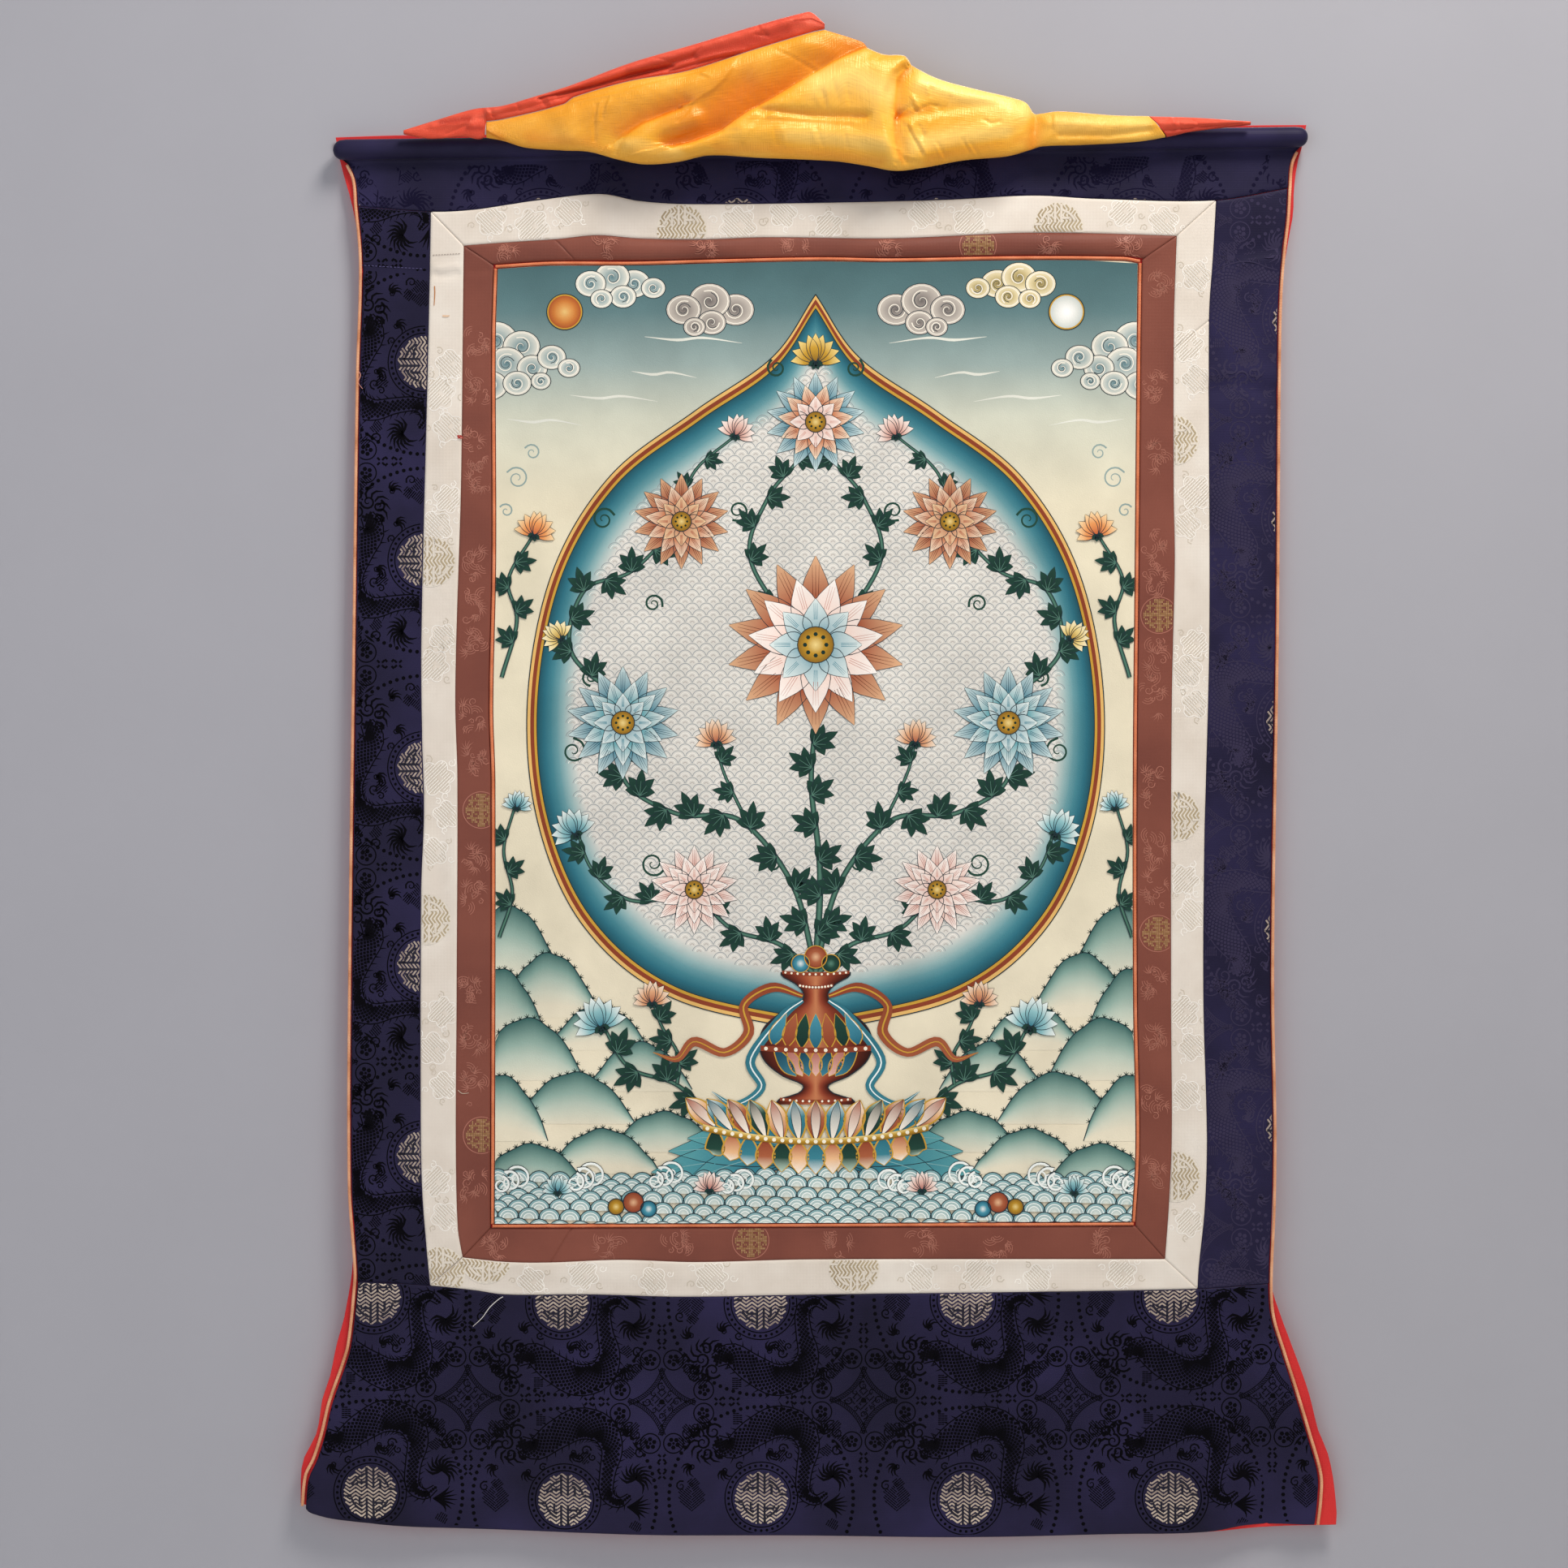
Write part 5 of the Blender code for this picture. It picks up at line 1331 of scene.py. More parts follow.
# Half of the field's edge, from its tip down to its foot
FIELD_SIDE = [(0, 414), (40, 356), (112, 306), (190, 246), (243, 158), (266, 42), (257, -72), (214, -170),
              (132, -236), (0, -268)]
FIELD_HEART = (0.0, 40.0)
right_side = smooth_way(FIELD_SIDE, 9)[0]
field_edge = np.concatenate([right_side, right_side[-2:0:-1] * (-1, 1)])
field_turn = np.arctan2(field_edge[:, 1] - FIELD_HEART[1], field_edge[:, 0] - FIELD_HEART[0])
field_far = np.hypot(field_edge[:, 0] - FIELD_HEART[0], field_edge[:, 1] - FIELD_HEART[1])
canvas_limits = tuple(line_through(line) for line in (CANVAS_LEFT, CANVAS_RIGHT, CANVAS_HEAD, CANVAS_FOOT))
mineral_paint = floats("mineral_paint_on_canvas", 0.8, 0.15, 18.0, 0.35)


def in_field(x, y, share):
    """Whether points lie inside the field, drawn in by a share."""
    turn = np.arctan2(y - FIELD_HEART[1], x - FIELD_HEART[0])
    reach = np.interp(turn, field_turn, field_far, period=math.tau)
    return np.hypot(x - FIELD_HEART[0], y - FIELD_HEART[1]) < share * reach


def arcs(chart, x, y, inner, outer, span, sides, tones, lift=0.0, tall=1.0):
    """Many like arcs or discs about their middles; tones run from the inside out."""
    turn = np.radians(np.linspace(span[0], span[1], sides + 1))
    radius = np.array([[inner], [outer]])
    xs = x[:, None, None] + radius * np.cos(turn)
    ys = y[:, None, None] + tall * radius * np.sin(turn)
    first = np.arange(sides)
    face = np.stack([first, first + 1, first + sides + 2, first + sides + 1], 1)
    faces = (np.arange(len(x))[:, None, None] * 2 * (sides + 1) + face).reshape(-1, 4)
    colours = np.broadcast_to(fade(tones, np.array([[0.0], [1.0]])), (len(x), 2, sides + 1, 3))
    chart.add(xs, ys, colours, faces, lift)


def blade(chart, points, width, tones, lift=0.0, line=INK, line_width=0.6):
    """A petal or leaf along a way: shaded from its base to its tip, and outlined."""
    step = max(sum(math.dist(a, b) for a, b in zip(points, points[1:])) / 8, 1.2)
    widths = [width * part for part in PETAL_SHAPE]
    chart.stroke(points, widths, tones, lift, step, cells=2)
    path, way = smooth_way(points, step)
    for side in (1, -1):
        edge = np.stack(beside(path, way, side * half_widths(widths, len(path))), 1)
        chart.stroke(edge, (line_width, line_width, 0.4 * line_width), line, lift + 0.03, step)


def blossom(chart, cx, cy, size, tones, lift):
    """An open lotus seen from the front: rings of petals about a gold seed head."""
    for ring, (count, reach, wide) in enumerate(((14, 1.0, 0.36), (11, 0.76, 0.34), (8, 0.52, 0.3))):
        for k in range(count):
            angle = math.tau * (k + 0.5 * ring) / count + math.pi / 2
            points = [polar(cx, cy, part * size, angle) for part in (0.1, 0.5 * reach, reach)]
            petal_lift = lift + 0.07 * ring + 0.02 * (k % 3)
            blade(chart, points, wide * size, tones[ring], petal_lift, line_width=0.7)
            for turn in (-0.12, 0, 0.12):
                vein = [
                    polar(cx, cy, part * reach * size, angle + turn / (1 + 2 * part))
                    for part in (0.55, 0.75, 0.9)
                ]
                chart.stroke(vein, (0.5, 0.2), tones[ring][0], petal_lift + 0.04, 0.2 * size)
    chart.ring(cx, cy, 0, 0.2 * size, GOLD[::-1], 20, lift + 0.24, rows=2)
    chart.ring(cx, cy, 0.2 * size, 0.2 * size + 0.8, INK, 20, lift + 0.26)
    turns = np.linspace(0, math.tau, 9)[:-1]
    seed_x, seed_y = cx + 0.12 * size * np.cos(turns), cy + 0.12 * size * np.sin(turns)
    arcs(chart, seed_x, seed_y, 0, 0.025 * size, (0, 360), 6, LEAF_GREEN[0], lift + 0.28)


def side_lotus(chart, cx, cy, size, tones, lift, turn=90):
    """A lotus seen from its side: petals that open to both sides of an upright bud."""
    for k, lean in enumerate((-80, 80, -58, 58, -36, 36, -14, 14, 0)):
        angle, bent = math.radians(turn + lean), math.radians(turn + 1.25 * lean)
        reach = size * (1 - 0.12 * abs(lean) / 80)
        points = [(cx, cy), polar(cx, cy, 0.5 * reach, angle), polar(cx, cy, reach, 0.5 * (angle + bent))]
        blade(chart, points, 0.42 * size, tones, lift + 0.02 * k)
    for lean in (-60, -20, 20, 60):
        tip = polar(cx, cy, 0.3 * size, math.radians(turn + 180 + lean))
        blade(chart, [(cx, cy), tip], 0.2 * size, LEAF_GREEN[:2], lift + 0.2)


def vine_leaf(chart, x, y, angle, size, lift):
    """A dark lobed leaf with pale veins."""
    for k, (lean, reach) in enumerate(((-72, 0.6), (72, 0.6), (-36, 0.86), (36, 0.86), (0, 1.05))):
        tip = polar(x, y, reach * size, math.radians(angle + lean))
        middle = polar(x, y, 0.55 * reach * size, math.radians(angle + 0.8 * lean))
        blade(chart, [(x, y), middle, tip], 0.34 * size, LEAF_GREEN[:2], lift + 0.02 * k, line_width=0.5)
        chart.stroke([(x, y), middle], (0.7, 0.3), LEAF_GREEN[2], lift + 0.15, 0.3 * size)


def vine(chart, points, width, lift, leaf_size, spacing=27.0, first=1):
    """A stem with leaves to its left and right by turns."""
    green = (LEAF_GREEN[1], LEAF_GREEN[2], LEAF_GREEN[1])
    chart.stroke(points, (width + 1.2, 0.6 * width + 1.2), INK, lift, 5)
    chart.stroke(points, (width, 0.6 * width), green, lift + 0.02, 5, 2, True)
    path, way = smooth_way(points, spacing)
    for k in range(1, len(path) - 1):
        side = 1 if (k + first) % 2 else -1
        heading = math.degrees(math.atan2(way[k, 1], way[k, 0]))
        vine_leaf(chart, path[k, 0], path[k, 1], heading + 58 * side, leaf_size, lift + 0.05)


def cloud(chart, lobes, tones, lift):
    """A bank of cloud lobes, each pale at its rim and darker within, with a curl."""
    for k, (x, y, radius) in enumerate(lobes):
        raised = lift + 0.02 * k
        chart.ring(x, y, 0, radius, tones, 22, raised, rows=3, tall=0.85)
        chart.ring(x, y, radius - 0.2, radius + 0.6, INK, 22, raised + 0.006, tall=0.85)
        chart.ring(x, y, radius - 2.4, radius - 1.6, "f0ebdd", 22, raised + 0.008, tall=0.85)
        hand = 1 if k % 2 else -1
        chart.curl(x, y, 0.55 * radius, 1.3, 1.1, "efe9da", 60 * k, raised + 0.01, hand)
        chart.curl(x, y, 0.42 * radius, 1.2, 0.7, INK, 60 * k + 40, raised + 0.012, hand)


def mound(chart, x, foot, width, height, tones, lift):
    """A rounded hill: cream at its foot, shading to blue-green along its ridge, with tufts on it."""
    u = np.linspace(-1, 1, 17)[None]
    v = np.linspace(0, 1, 6)[:, None]
    ridge = height * np.cos(u * math.pi / 2) ** 0.8 + 2.2 * np.abs(np.sin(6 * u + x))
    colours = np.broadcast_to(fade(tones, v), (6, 17, 3))
    chart.grid(x + 0.5 * width * u + 0 * v, foot + ridge * v, colours, lift)
    edge = np.stack([x + 0.5 * width * u[0], foot + ridge[0]], 1)
    chart.stroke(edge, (0.9, 0.9), INK, lift + 0.01, 4)
    for (px, py), (nx, ny) in zip(edge[1:-1], edge[2:]):
        for turn in (50, 90, 130):
            angle = math.radians(turn) + math.atan2(ny - py, nx - px)
            chart.stroke([(px, py), polar(px, py, 3.6, angle)], (1.0, 0.3), LEAF_GREEN[0], lift + 0.015, 3)


def show(chart, name):
    """Lay a finished part of the picture on the canvas."""
    chart.lay(name, canvas_limits, mineral_paint, "painted_canvas", PAINT_TRIM, PAINT_LIFT)


# Sky from cream to slate blue, washed hills, and cloud banks in the corners
SKY_HEIGHTS = (-447, 220, 300, 350, 400, 446)
SKY_SHARES = (0, 0.2, 0.4, 0.6, 0.8, 1)
BLUE_CLOUD = ("5d7f86", "a9b8b5", "e6e1d2")
GILT_CLOUD = ("8a7a4a", "cdbb86", "ece2c4")
GREY_CLOUD = ("6c6663", "a39b93", "cfc6ba")
# Lobes of one half's clouds, as (x, y, radius)
CORNER_CLOUDS = [(296, 372, 20), (272, 366, 17), (286, 350, 18), (262, 346, 14), (244, 356, 13),
                 (300, 330, 15), (276, 332, 13), (228, 346, 10), (254, 334, 9)]
HIGH_CLOUDS = [(168, 424, 15), (188, 430, 16), (208, 424, 14), (150, 420, 11), (178, 412, 12), (198, 410, 10)]
INNER_CLOUDS = [(74, 400, 17), (98, 408, 19), (122, 400, 16), (96, 388, 13), (112, 384, 10)]
# One half's hills, the far ones first, as (x, foot, width, height)
HILLS = [(284, -196, 96, 66), (246, -232, 92, 58), (292, -250, 84, 62), (200, -262, 92, 40),
         (266, -290, 104, 56), (162, -300, 96, 44), (222, -330, 110, 46), (292, -346, 90, 60),
         (140, -356, 100, 36), (196, -376, 104, 40), (262, -396, 112, 46), (120, -396, 96, 26)]
HILL_TONES = ("e4dbc2", "dfd8c1", "c2cdbd", "86a89d", "35605c")
sky = Chart(0, PAINT_MIDDLE)
across_sky, up_sky = np.meshgrid(np.linspace(-299, 299, 13), np.linspace(-447, 446, 75))
sky.grid(across_sky, up_sky, fade(SKY, np.interp(up_sky, SKY_HEIGHTS, SKY_SHARES)))
for hand in (1, -1):
    sky.set_at(0, PAINT_MIDDLE, (hand, 0))
    cloud(sky, CORNER_CLOUDS, BLUE_CLOUD, 0.05)
    cloud(sky, HIGH_CLOUDS, GILT_CLOUD if hand > 0 else BLUE_CLOUD, 0.05)
    cloud(sky, INNER_CLOUDS, GREY_CLOUD, 0.05)
    for x, y, length in ((128, 372, 60), (200, 318, 54), (262, 296, 46), (150, 340, 40)):
        streak = [(x - length, y - 3), (x - 0.4 * length, y + 2), (x, y), (x + 0.5 * length, y + 3)]
        sky.stroke(streak, (0.3, 2.2, 2.6, 0.3), "dfe0d4", 0.03, 6)
    for x, y, radius, turns in ((276, 244, 11, 1.6), (262, 268, 8, 1.4), (286, 214, 7, 1.3)):
        sky.curl(x, y, radius, turns, 1.6, "8ea39f", 30, 0.04)
    for k, (x, foot, width, height) in enumerate(HILLS):
        mound(sky, x, foot - 22, width, height, HILL_TONES[0 if k % 2 else 1:], 0.06 + 0.02 * k)
sky.set_at(0, PAINT_MIDDLE)
# Sun and moon over the cloud banks
for x, tones in ((-232, ("e9c27a", "d98a3f", "a9542c")), (232, ("ffffff", "eeeee6", "c7cfca"))):
    sky.ring(x, 398, 0, 15, tones, 30, 0.3, rows=3)
    sky.ring(x, 398, 15, 16.2, GOLD_LINE, 30, 0.31)
    sky.ring(x, 398, 16.2, 17.0, INK, 30, 0.31)
show(sky, "painted_sky_and_hills")

# The field: pale, filled with rows of fine scales, shading to teal, in a rim of gold and rust
# Bands of the field from its middle out: inner and outer share, and tones
FIELD_BANDS = [
    (0.0, 0.83, FIELD_PALE), (0.83, 0.94, (FIELD_PALE, "9dbab9", "4f8d97", TEAL[0])),
    (0.94, 0.965, (TEAL[0], "1f4f5c")), (0.965, 0.975, GOLD_LINE), (0.975, 0.988, RUST[0]),
    (0.988, 1.0, "e2b56a"),
]
field = Chart(0, PAINT_MIDDLE)
loop = np.concatenate([field_edge, field_edge[:1]]) - FIELD_HEART
for inner, outer, tones in FIELD_BANDS:
    share = np.linspace(inner, outer, 9 if inner == 0 else 6)[:, None]
    x, y = FIELD_HEART[0] + share * loop[:, 0], FIELD_HEART[1] + share * loop[:, 1]
    tint = fade(tones, (share - inner) / (outer - inner))
    field.grid(x, y, np.broadcast_to(tint, (len(share), len(loop), 3)), 0.40)
for far, width in ((0.965, 0.8), (1.0, 1.0)):
    field.stroke(FIELD_HEART + far * loop, (width, width), INK, 0.42, 8)
scale_x, scale_y = np.meshgrid(np.arange(-270, 271, 13.0), np.arange(-262, 400, 6.2))
scale_x = scale_x + 6.5 * (np.arange(scale_x.shape[0]) % 2)[:, None]
kept = in_field(scale_x, scale_y, 0.85)
scale_x, scale_y = scale_x[kept], scale_y[kept]
for inner, outer, sides, tone in ((6.0, 6.6, 8, "8f979a"), (3.8, 4.3, 6, "f3efe6"), (1.4, 2.2, 4, "b9b2aa")):
    arcs(field, scale_x, scale_y, inner, outer, (10, 170), sides, tone, 0.42)
show(field, "painted_field")

# Lotus vines that rise from the vase in pairs, with open flowers, buds and lobed leaves
WARM = (("5e2418", "a04e33", "dcae86"), ("8a3f28", "c9805a", "efdcc2"), ("b5654a", "ecca9f"))
COOL = (("173f52", "3d7f92", "c9dcdb"), ("225f72", "6ba6ae", "e6eeea"), ("3d8496", "dde9e6"))
PALE = (("b06a5e", "e3bcae", "f5eee6"), ("c78a7c", "efd6ca", "f8f3ec"), ("d9a596", "f6ebe2"))
BLUE_BUD = ("2a7386", "8cbcc0", "eef2ec")
RUST_BUD = ("a9563a", "dda57c", "f2e2cc")
GOLD_BUD = ("b98d2c", "e8cf86", "f6ecc8")
ORANGE_BUD = ("c05a34", "e79a5c", "f4d9a8")
# One half's vines inside the field: way, width, leaf size, and the side that its leaves start on
INNER_VINES = [
    ([(3, -212), (34, -186), (78, -172), (112, -136)], 4.0, 22, 1),
    ([(2, -200), (22, -130), (70, -72), (128, -66), (176, -36), (176, 16)], 4.4, 24, 1),
    ([(180, 40), (226, 84), (214, 140), (170, 158), (128, 200)], 3.6, 22, 0),
    ([(10, 90), (60, 168), (44, 226), (16, 262), (6, 300)], 3.4, 20, 1),
    ([(120, -140), (170, -146), (206, -118), (222, -76)], 3.0, 20, 0),
    ([(58, -84), (84, -30), (92, 2)], 2.4, 18, 1),
    ([(128, 205), (112, 250), (76, 282)], 2.4, 16, 1),
]
# Tendrils (x, y, radius, start, hand), open flowers (x, y, size, tones) and buds (with their turn)
TENDRILS = [(150, -112, 12, 200, 1), (224, -8, 12, 90, 1), (72, 214, 10, 300, -1), (196, 206, 11, 160, -1),
            (40, -112, 9, 0, 1), (208, 60, 8, 270, 1), (150, 128, 9, 200, -1), (36, 346, 9, 60, -1)]
OPEN_FLOWERS = [(112, -136, 41, PALE), (178, 18, 52, COOL), (124, 204, 44, WARM)]
BUDS = [(222, -84, 24, BLUE_BUD, 60), (92, 0, 22, RUST_BUD, 80), (74, 284, 20, PALE[0], 110),
        (236, 96, 18, GOLD_BUD, 40)]
# Lotus on stems outside the field: way, width, leaf size, spacing and first side, and its flower
OUTER_LOTUS = [
    ([(290, 60), (276, 112), (284, 150), (262, 190)], 3.0, 19, 27, 1, (260, 192, 22, ORANGE_BUD, 105)),
    ([(292, -180), (280, -140), (288, -100), (278, -60)], 2.6, 18, 27, 1, (276, -60, 16, BLUE_BUD, 100)),
    ([(88, -352), (128, -316), (172, -300), (196, -262)], 3.4, 24, 27, 1, (198, -262, 28, BLUE_BUD, 70)),
    ([(128, -316), (126, -290), (142, -262), (150, -240)], 2.6, 20, 20, 0, (151, -240, 20, RUST_BUD, 85)),
]
# How far the picture's layers stand off the canvas's paint: stems, open flowers and outer flowers
STEMS, FLOWERS, OUTER_FLOWERS = 0.45, 0.72, 0.95
flowers = Chart()
for hand in (1, -1):
    flowers.set_at(0, PAINT_MIDDLE, (hand, 0))
    for way, width, leaf_size, first in INNER_VINES:
        vine(flowers, way, width, STEMS, leaf_size, first=first)
    for x, y, radius, start, turning in TENDRILS:
        flowers.curl(x, y, radius, 1.6, 2.2, LEAF_GREEN[1], start, 0.46, turning)
    for x, y, size, tones in OPEN_FLOWERS:
        blossom(flowers, x, y, size, tones, FLOWERS)
    for x, y, size, tones, turn in BUDS:
        side_lotus(flowers, x, y, size, tones, FLOWERS, turn)
    for way, width, leaf_size, spacing, first, (x, y, size, tones, turn) in OUTER_LOTUS:
        vine(flowers, way, width, FLOWERS, leaf_size, spacing, first)
        side_lotus(flowers, x, y, size, tones, OUTER_FLOWERS, turn)
flowers.set_at(0, PAINT_MIDDLE)
vine(flowers, [(0, -212), (4, -120), (-4, -40), (0, 20)], 5.5, STEMS, 24)
blossom(flowers, 0, 90, 82, (WARM[0], PALE[1], COOL[2]), FLOWERS)
blossom(flowers, 0, 296, 46, (COOL[0], WARM[1], PALE[2]), FLOWERS)
side_lotus(flowers, 0, 352, 26, ("8a6420", "c79a36", "f0d78a"), FLOWERS)
show(flowers, "painted_lotus_vines")

# The vase on a lotus seat: half its side, as (height, half width), its metal, jewels and ribbons
VASE_SIDE = [(-334, 36), (-329, 34), (-324, 17), (-316, 12), (-308, 30), (-294, 47), (-278, 52), (-262, 47),
             (-248, 30), (-240, 14), (-230, 12), (-222, 20), (-216, 31), (-212, 32)]
VASE_METAL = ("34120d", "6b2a1c", "9c4a30", "c07a52", "8f3f2a", "642719", "2a0f0b")
BEAD = "f3ecd6"
JEWELS = [(-14, -204, 8, BLUE[::-1]), (14, -204, 8, LEAF_GREEN[::-1]), (0, -198, 10, RUST[::-1])]
RIBBON = [(12, -234), (40, -226), (66, -242), (62, -268), (84, -286), (112, -276), (128, -292), (150, -286)]
LOWER_RIBBON = [(12, -238), (30, -252), (60, -292), (50, -318), (74, -334), (96, -322)]
vase = Chart(0, PAINT_MIDDLE)
heights = np.linspace(VASE_SIDE[0][0], VASE_SIDE[-1][0], 60)
half = line_through(VASE_SIDE)(heights)
u = np.linspace(-1, 1, 15)[:, None]
metal = fade(VASE_METAL, np.broadcast_to(0.5 + 0.5 * u, (15, 60)))
vase.grid(u * half, heights + 0 * u, metal, 1.0)
for side in (1, -1):
    vase.stroke(np.stack([side * half, heights], 1), (1.0, 1.0), INK, 1.02, 4)
for k, lean in enumerate(range(-3, 4)):
    raised = 1.2 * abs(lean)
    upper = [(13 * lean, -282 + raised), (12 * lean, -268), (9 * lean, -250)]
    lower = [(12.5 * lean, -286 + raised), (9 * lean, -298), (6 * lean, -308)]
    blade(vase, upper, 13, (BLUE[:2], RUST[:2], LEAF_GREEN[:2])[k % 3], 1.04, GOLD_LINE, 1.0)
    blade(vase, lower, 12, (COOL[0][:2], ROSE[:2])[k % 2], 1.04, GOLD_LINE, 1.0)
for y, reach, tall in ((-284, 51, 5), (-226, 16, 3), (-214, 31, 3), (-331, 33, 3)):
    share = np.linspace(-1, 1, 13)[None]
    rise = np.array([[-0.5], [0.5]])
    band_y = y + tall * rise + 2.0 * share ** 2
    vase.grid(reach * share + 0 * rise, band_y, fade(RUST[0], np.zeros((2, 13))), 1.08)
    beads = np.linspace(-0.9, 0.9, 11)
    arcs(vase, reach * beads, y + 2.0 * beads ** 2, 0, 0.36 * tall, (0, 360), 8, BEAD, 1.1)
# Jewels over the mouth, a silk ribbon tied at the neck, and broad leaves at the foot
for x, y, radius, tones in JEWELS:
    vase.ring(x, y, 0, radius, tones, 20, 1.12, rows=2)
    vase.ring(x, y, radius, radius + 0.8, GOLD_LINE, 20, 1.13)
for hand in (1, -1):
    vase.set_at(0, PAINT_MIDDLE, (hand, 0))
    vase.stroke(RIBBON, (4, 9, 8, 10, 8, 9, 6, 0.5), RUST[:2], 1.06, 4, 2)
    vase.stroke(RIBBON, (1.2, 1.6, 1.0, 0.3), GOLD_LINE, 1.09, 4)
    vase.stroke(LOWER_RIBBON, (4, 8, 9, 8, 6, 0.5), TEAL[:2], 1.03, 4, 2)
    vase.stroke(LOWER_RIBBON, (1.0, 1.4, 0.3), "e6efec", 1.05, 4)
    for k, (lean, reach) in enumerate(((-6, 92), (4, 76), (-16, 64), (14, 60))):
        base, tip = (34 - 6 * k, -390 + 5 * k), polar(60, -384, reach, math.radians(lean), 1.3)
        middle = (0.5 * (base[0] + tip[0]), 0.5 * (base[1] + tip[1]) + 6)
        blade(vase, [base, middle, tip], 30, (*TEAL[:2], "5fa3a6"), 0.9 + 0.02 * k, INK, 0.8)
        vase.stroke([base, middle, tip], (1.0, 0.4), TEAL[2], 0.94 + 0.02 * k, 8)
vase.set_at(0, PAINT_MIDDLE)
# The seat: petals up and down from a gold moulding
PETAL_TONES = ((*RUST[:2], "ecd2b2"), (*TEAL[:2], "dfe9e6"), ("a9563a", "e9b98a", "f6ecdc"),
               (*LEAF_GREEN[:2], "b9d0bd"))
for k in sorted(range(-6, 7), key=lambda k: -abs(k)):
    lean = math.radians(90 - 7.5 * k)
    base = (15.5 * k, -366 + 0.35 * k * k)
    middle, tip = polar(*base, 20, lean), (base[0] + 38 * math.cos(lean), base[1] + 36 * math.sin(lean))
    raised = 1.2 + 0.03 * (6 - abs(k))
    tones, next_tones = PETAL_TONES[abs(k) % 4], PETAL_TONES[(abs(k) + 1) % 4]
    blade(vase, [base, middle, tip], 19, tones, raised, GOLD_LINE, 1.6)
    blade(vase, [base, middle, tip], 9, ("f6ecdc", tones[0]), raised + 0.05, INK, 0.6)
    foot = (base[0] * 0.98 + 0.6 * k, -398 + 0.5 * k * k)
    hanging = [(base[0], -370 + 0.35 * k * k), (base[0], 0.5 * (foot[1] - 370)), foot]
    blade(vase, hanging, 18, next_tones, raised, GOLD_LINE, 1.4)
share = np.linspace(-1, 1, 33)[None]
rise = np.array([[-0.5], [0.0], [0.5]])
moulding_y = -368 + 13 * share ** 2 + 6 * rise
vase.grid(104 * share + 0 * rise, moulding_y, fade(GOLD, np.broadcast_to(0.5 + rise, (3, 33))), 1.6)
beads = np.linspace(-0.96, 0.96, 27)
arcs(vase, 104 * beads, -368 + 13 * beads ** 2, 0, 1.9, (0, 360), 8, BEAD, 1.63)
show(vase, "painted_vase_and_seat")

# The water: rows of scalloped waves, curling crests, lotus buds and jewels
FOAM = "eef3ee"
WATER_JEWELS = [(168, -424, 9, RUST[::-1]), (184, -428, 7, GOLD[::-1]), (154, -430, 7, BLUE[::-1])]
water = Chart(0, PAINT_MIDDLE)
for row in range(7):
    x = np.arange(-312, 313, 19.0) + 9.5 * (row % 2)
    y = np.full(len(x), -404 - 7.5 * row) + 3.0 * np.cos(x / 60 + row)
    lift = 1.0 + 0.03 * row
    arcs(water, x, y, 0, 10.6, (0, 180), 12, ("dfe4da", "6e9fa5"), lift)
    for radius, tone in ((10.4, INK), (7.6, FOAM), (4.8, FOAM)):
        arcs(water, x, y, radius - 0.5, radius + 0.3, (0, 180), 10, tone, lift + 0.012)
for hand in (1, -1):
    water.set_at(0, PAINT_MIDDLE, (hand, 0))
    for x, y, size in ((66, -404, 11), (132, -398, 12), (206, -400, 13), (274, -402, 12)):
        for k in range(3):
            wave_x, wave_y, reach, start = x + 8 * k, y - 3 * k, size - 2 * k, 20 + 40 * k
            water.curl(wave_x, wave_y, reach, 1.5, 2.2, FOAM, start, 1.3 + 0.02 * k)
            water.curl(wave_x, wave_y, reach + 1.6, 1.4, 0.7, INK, start, 1.29 + 0.02 * k)
    side_lotus(water, 98, -412, 17, PALE[0], 1.4)
    side_lotus(water, 238, -414, 16, BLUE_BUD, 1.4)
    for x, y, radius, tones in WATER_JEWELS:
        water.ring(x, y, 0, radius, tones, 18, 1.5, rows=2)
        water.ring(x, y, radius, radius + 0.9, INK, 18, 1.51)
show(water, "painted_water")

# ---------------------------------------------------------------- pipings
# Orange satin pipings: twisted cords sewn round the canvas and down both outer edges. Each is
# three strands laid up together, held by hidden stitches in the seam.
PIPING_SUNK = 0.2
PIPING_SIDES = 10
PIPING_STEP = 1.3
STRAND_DEPTH = 0.13
STRANDS = 3
LAY_LENGTH = 9.0
EDGE_GAP = 2.0


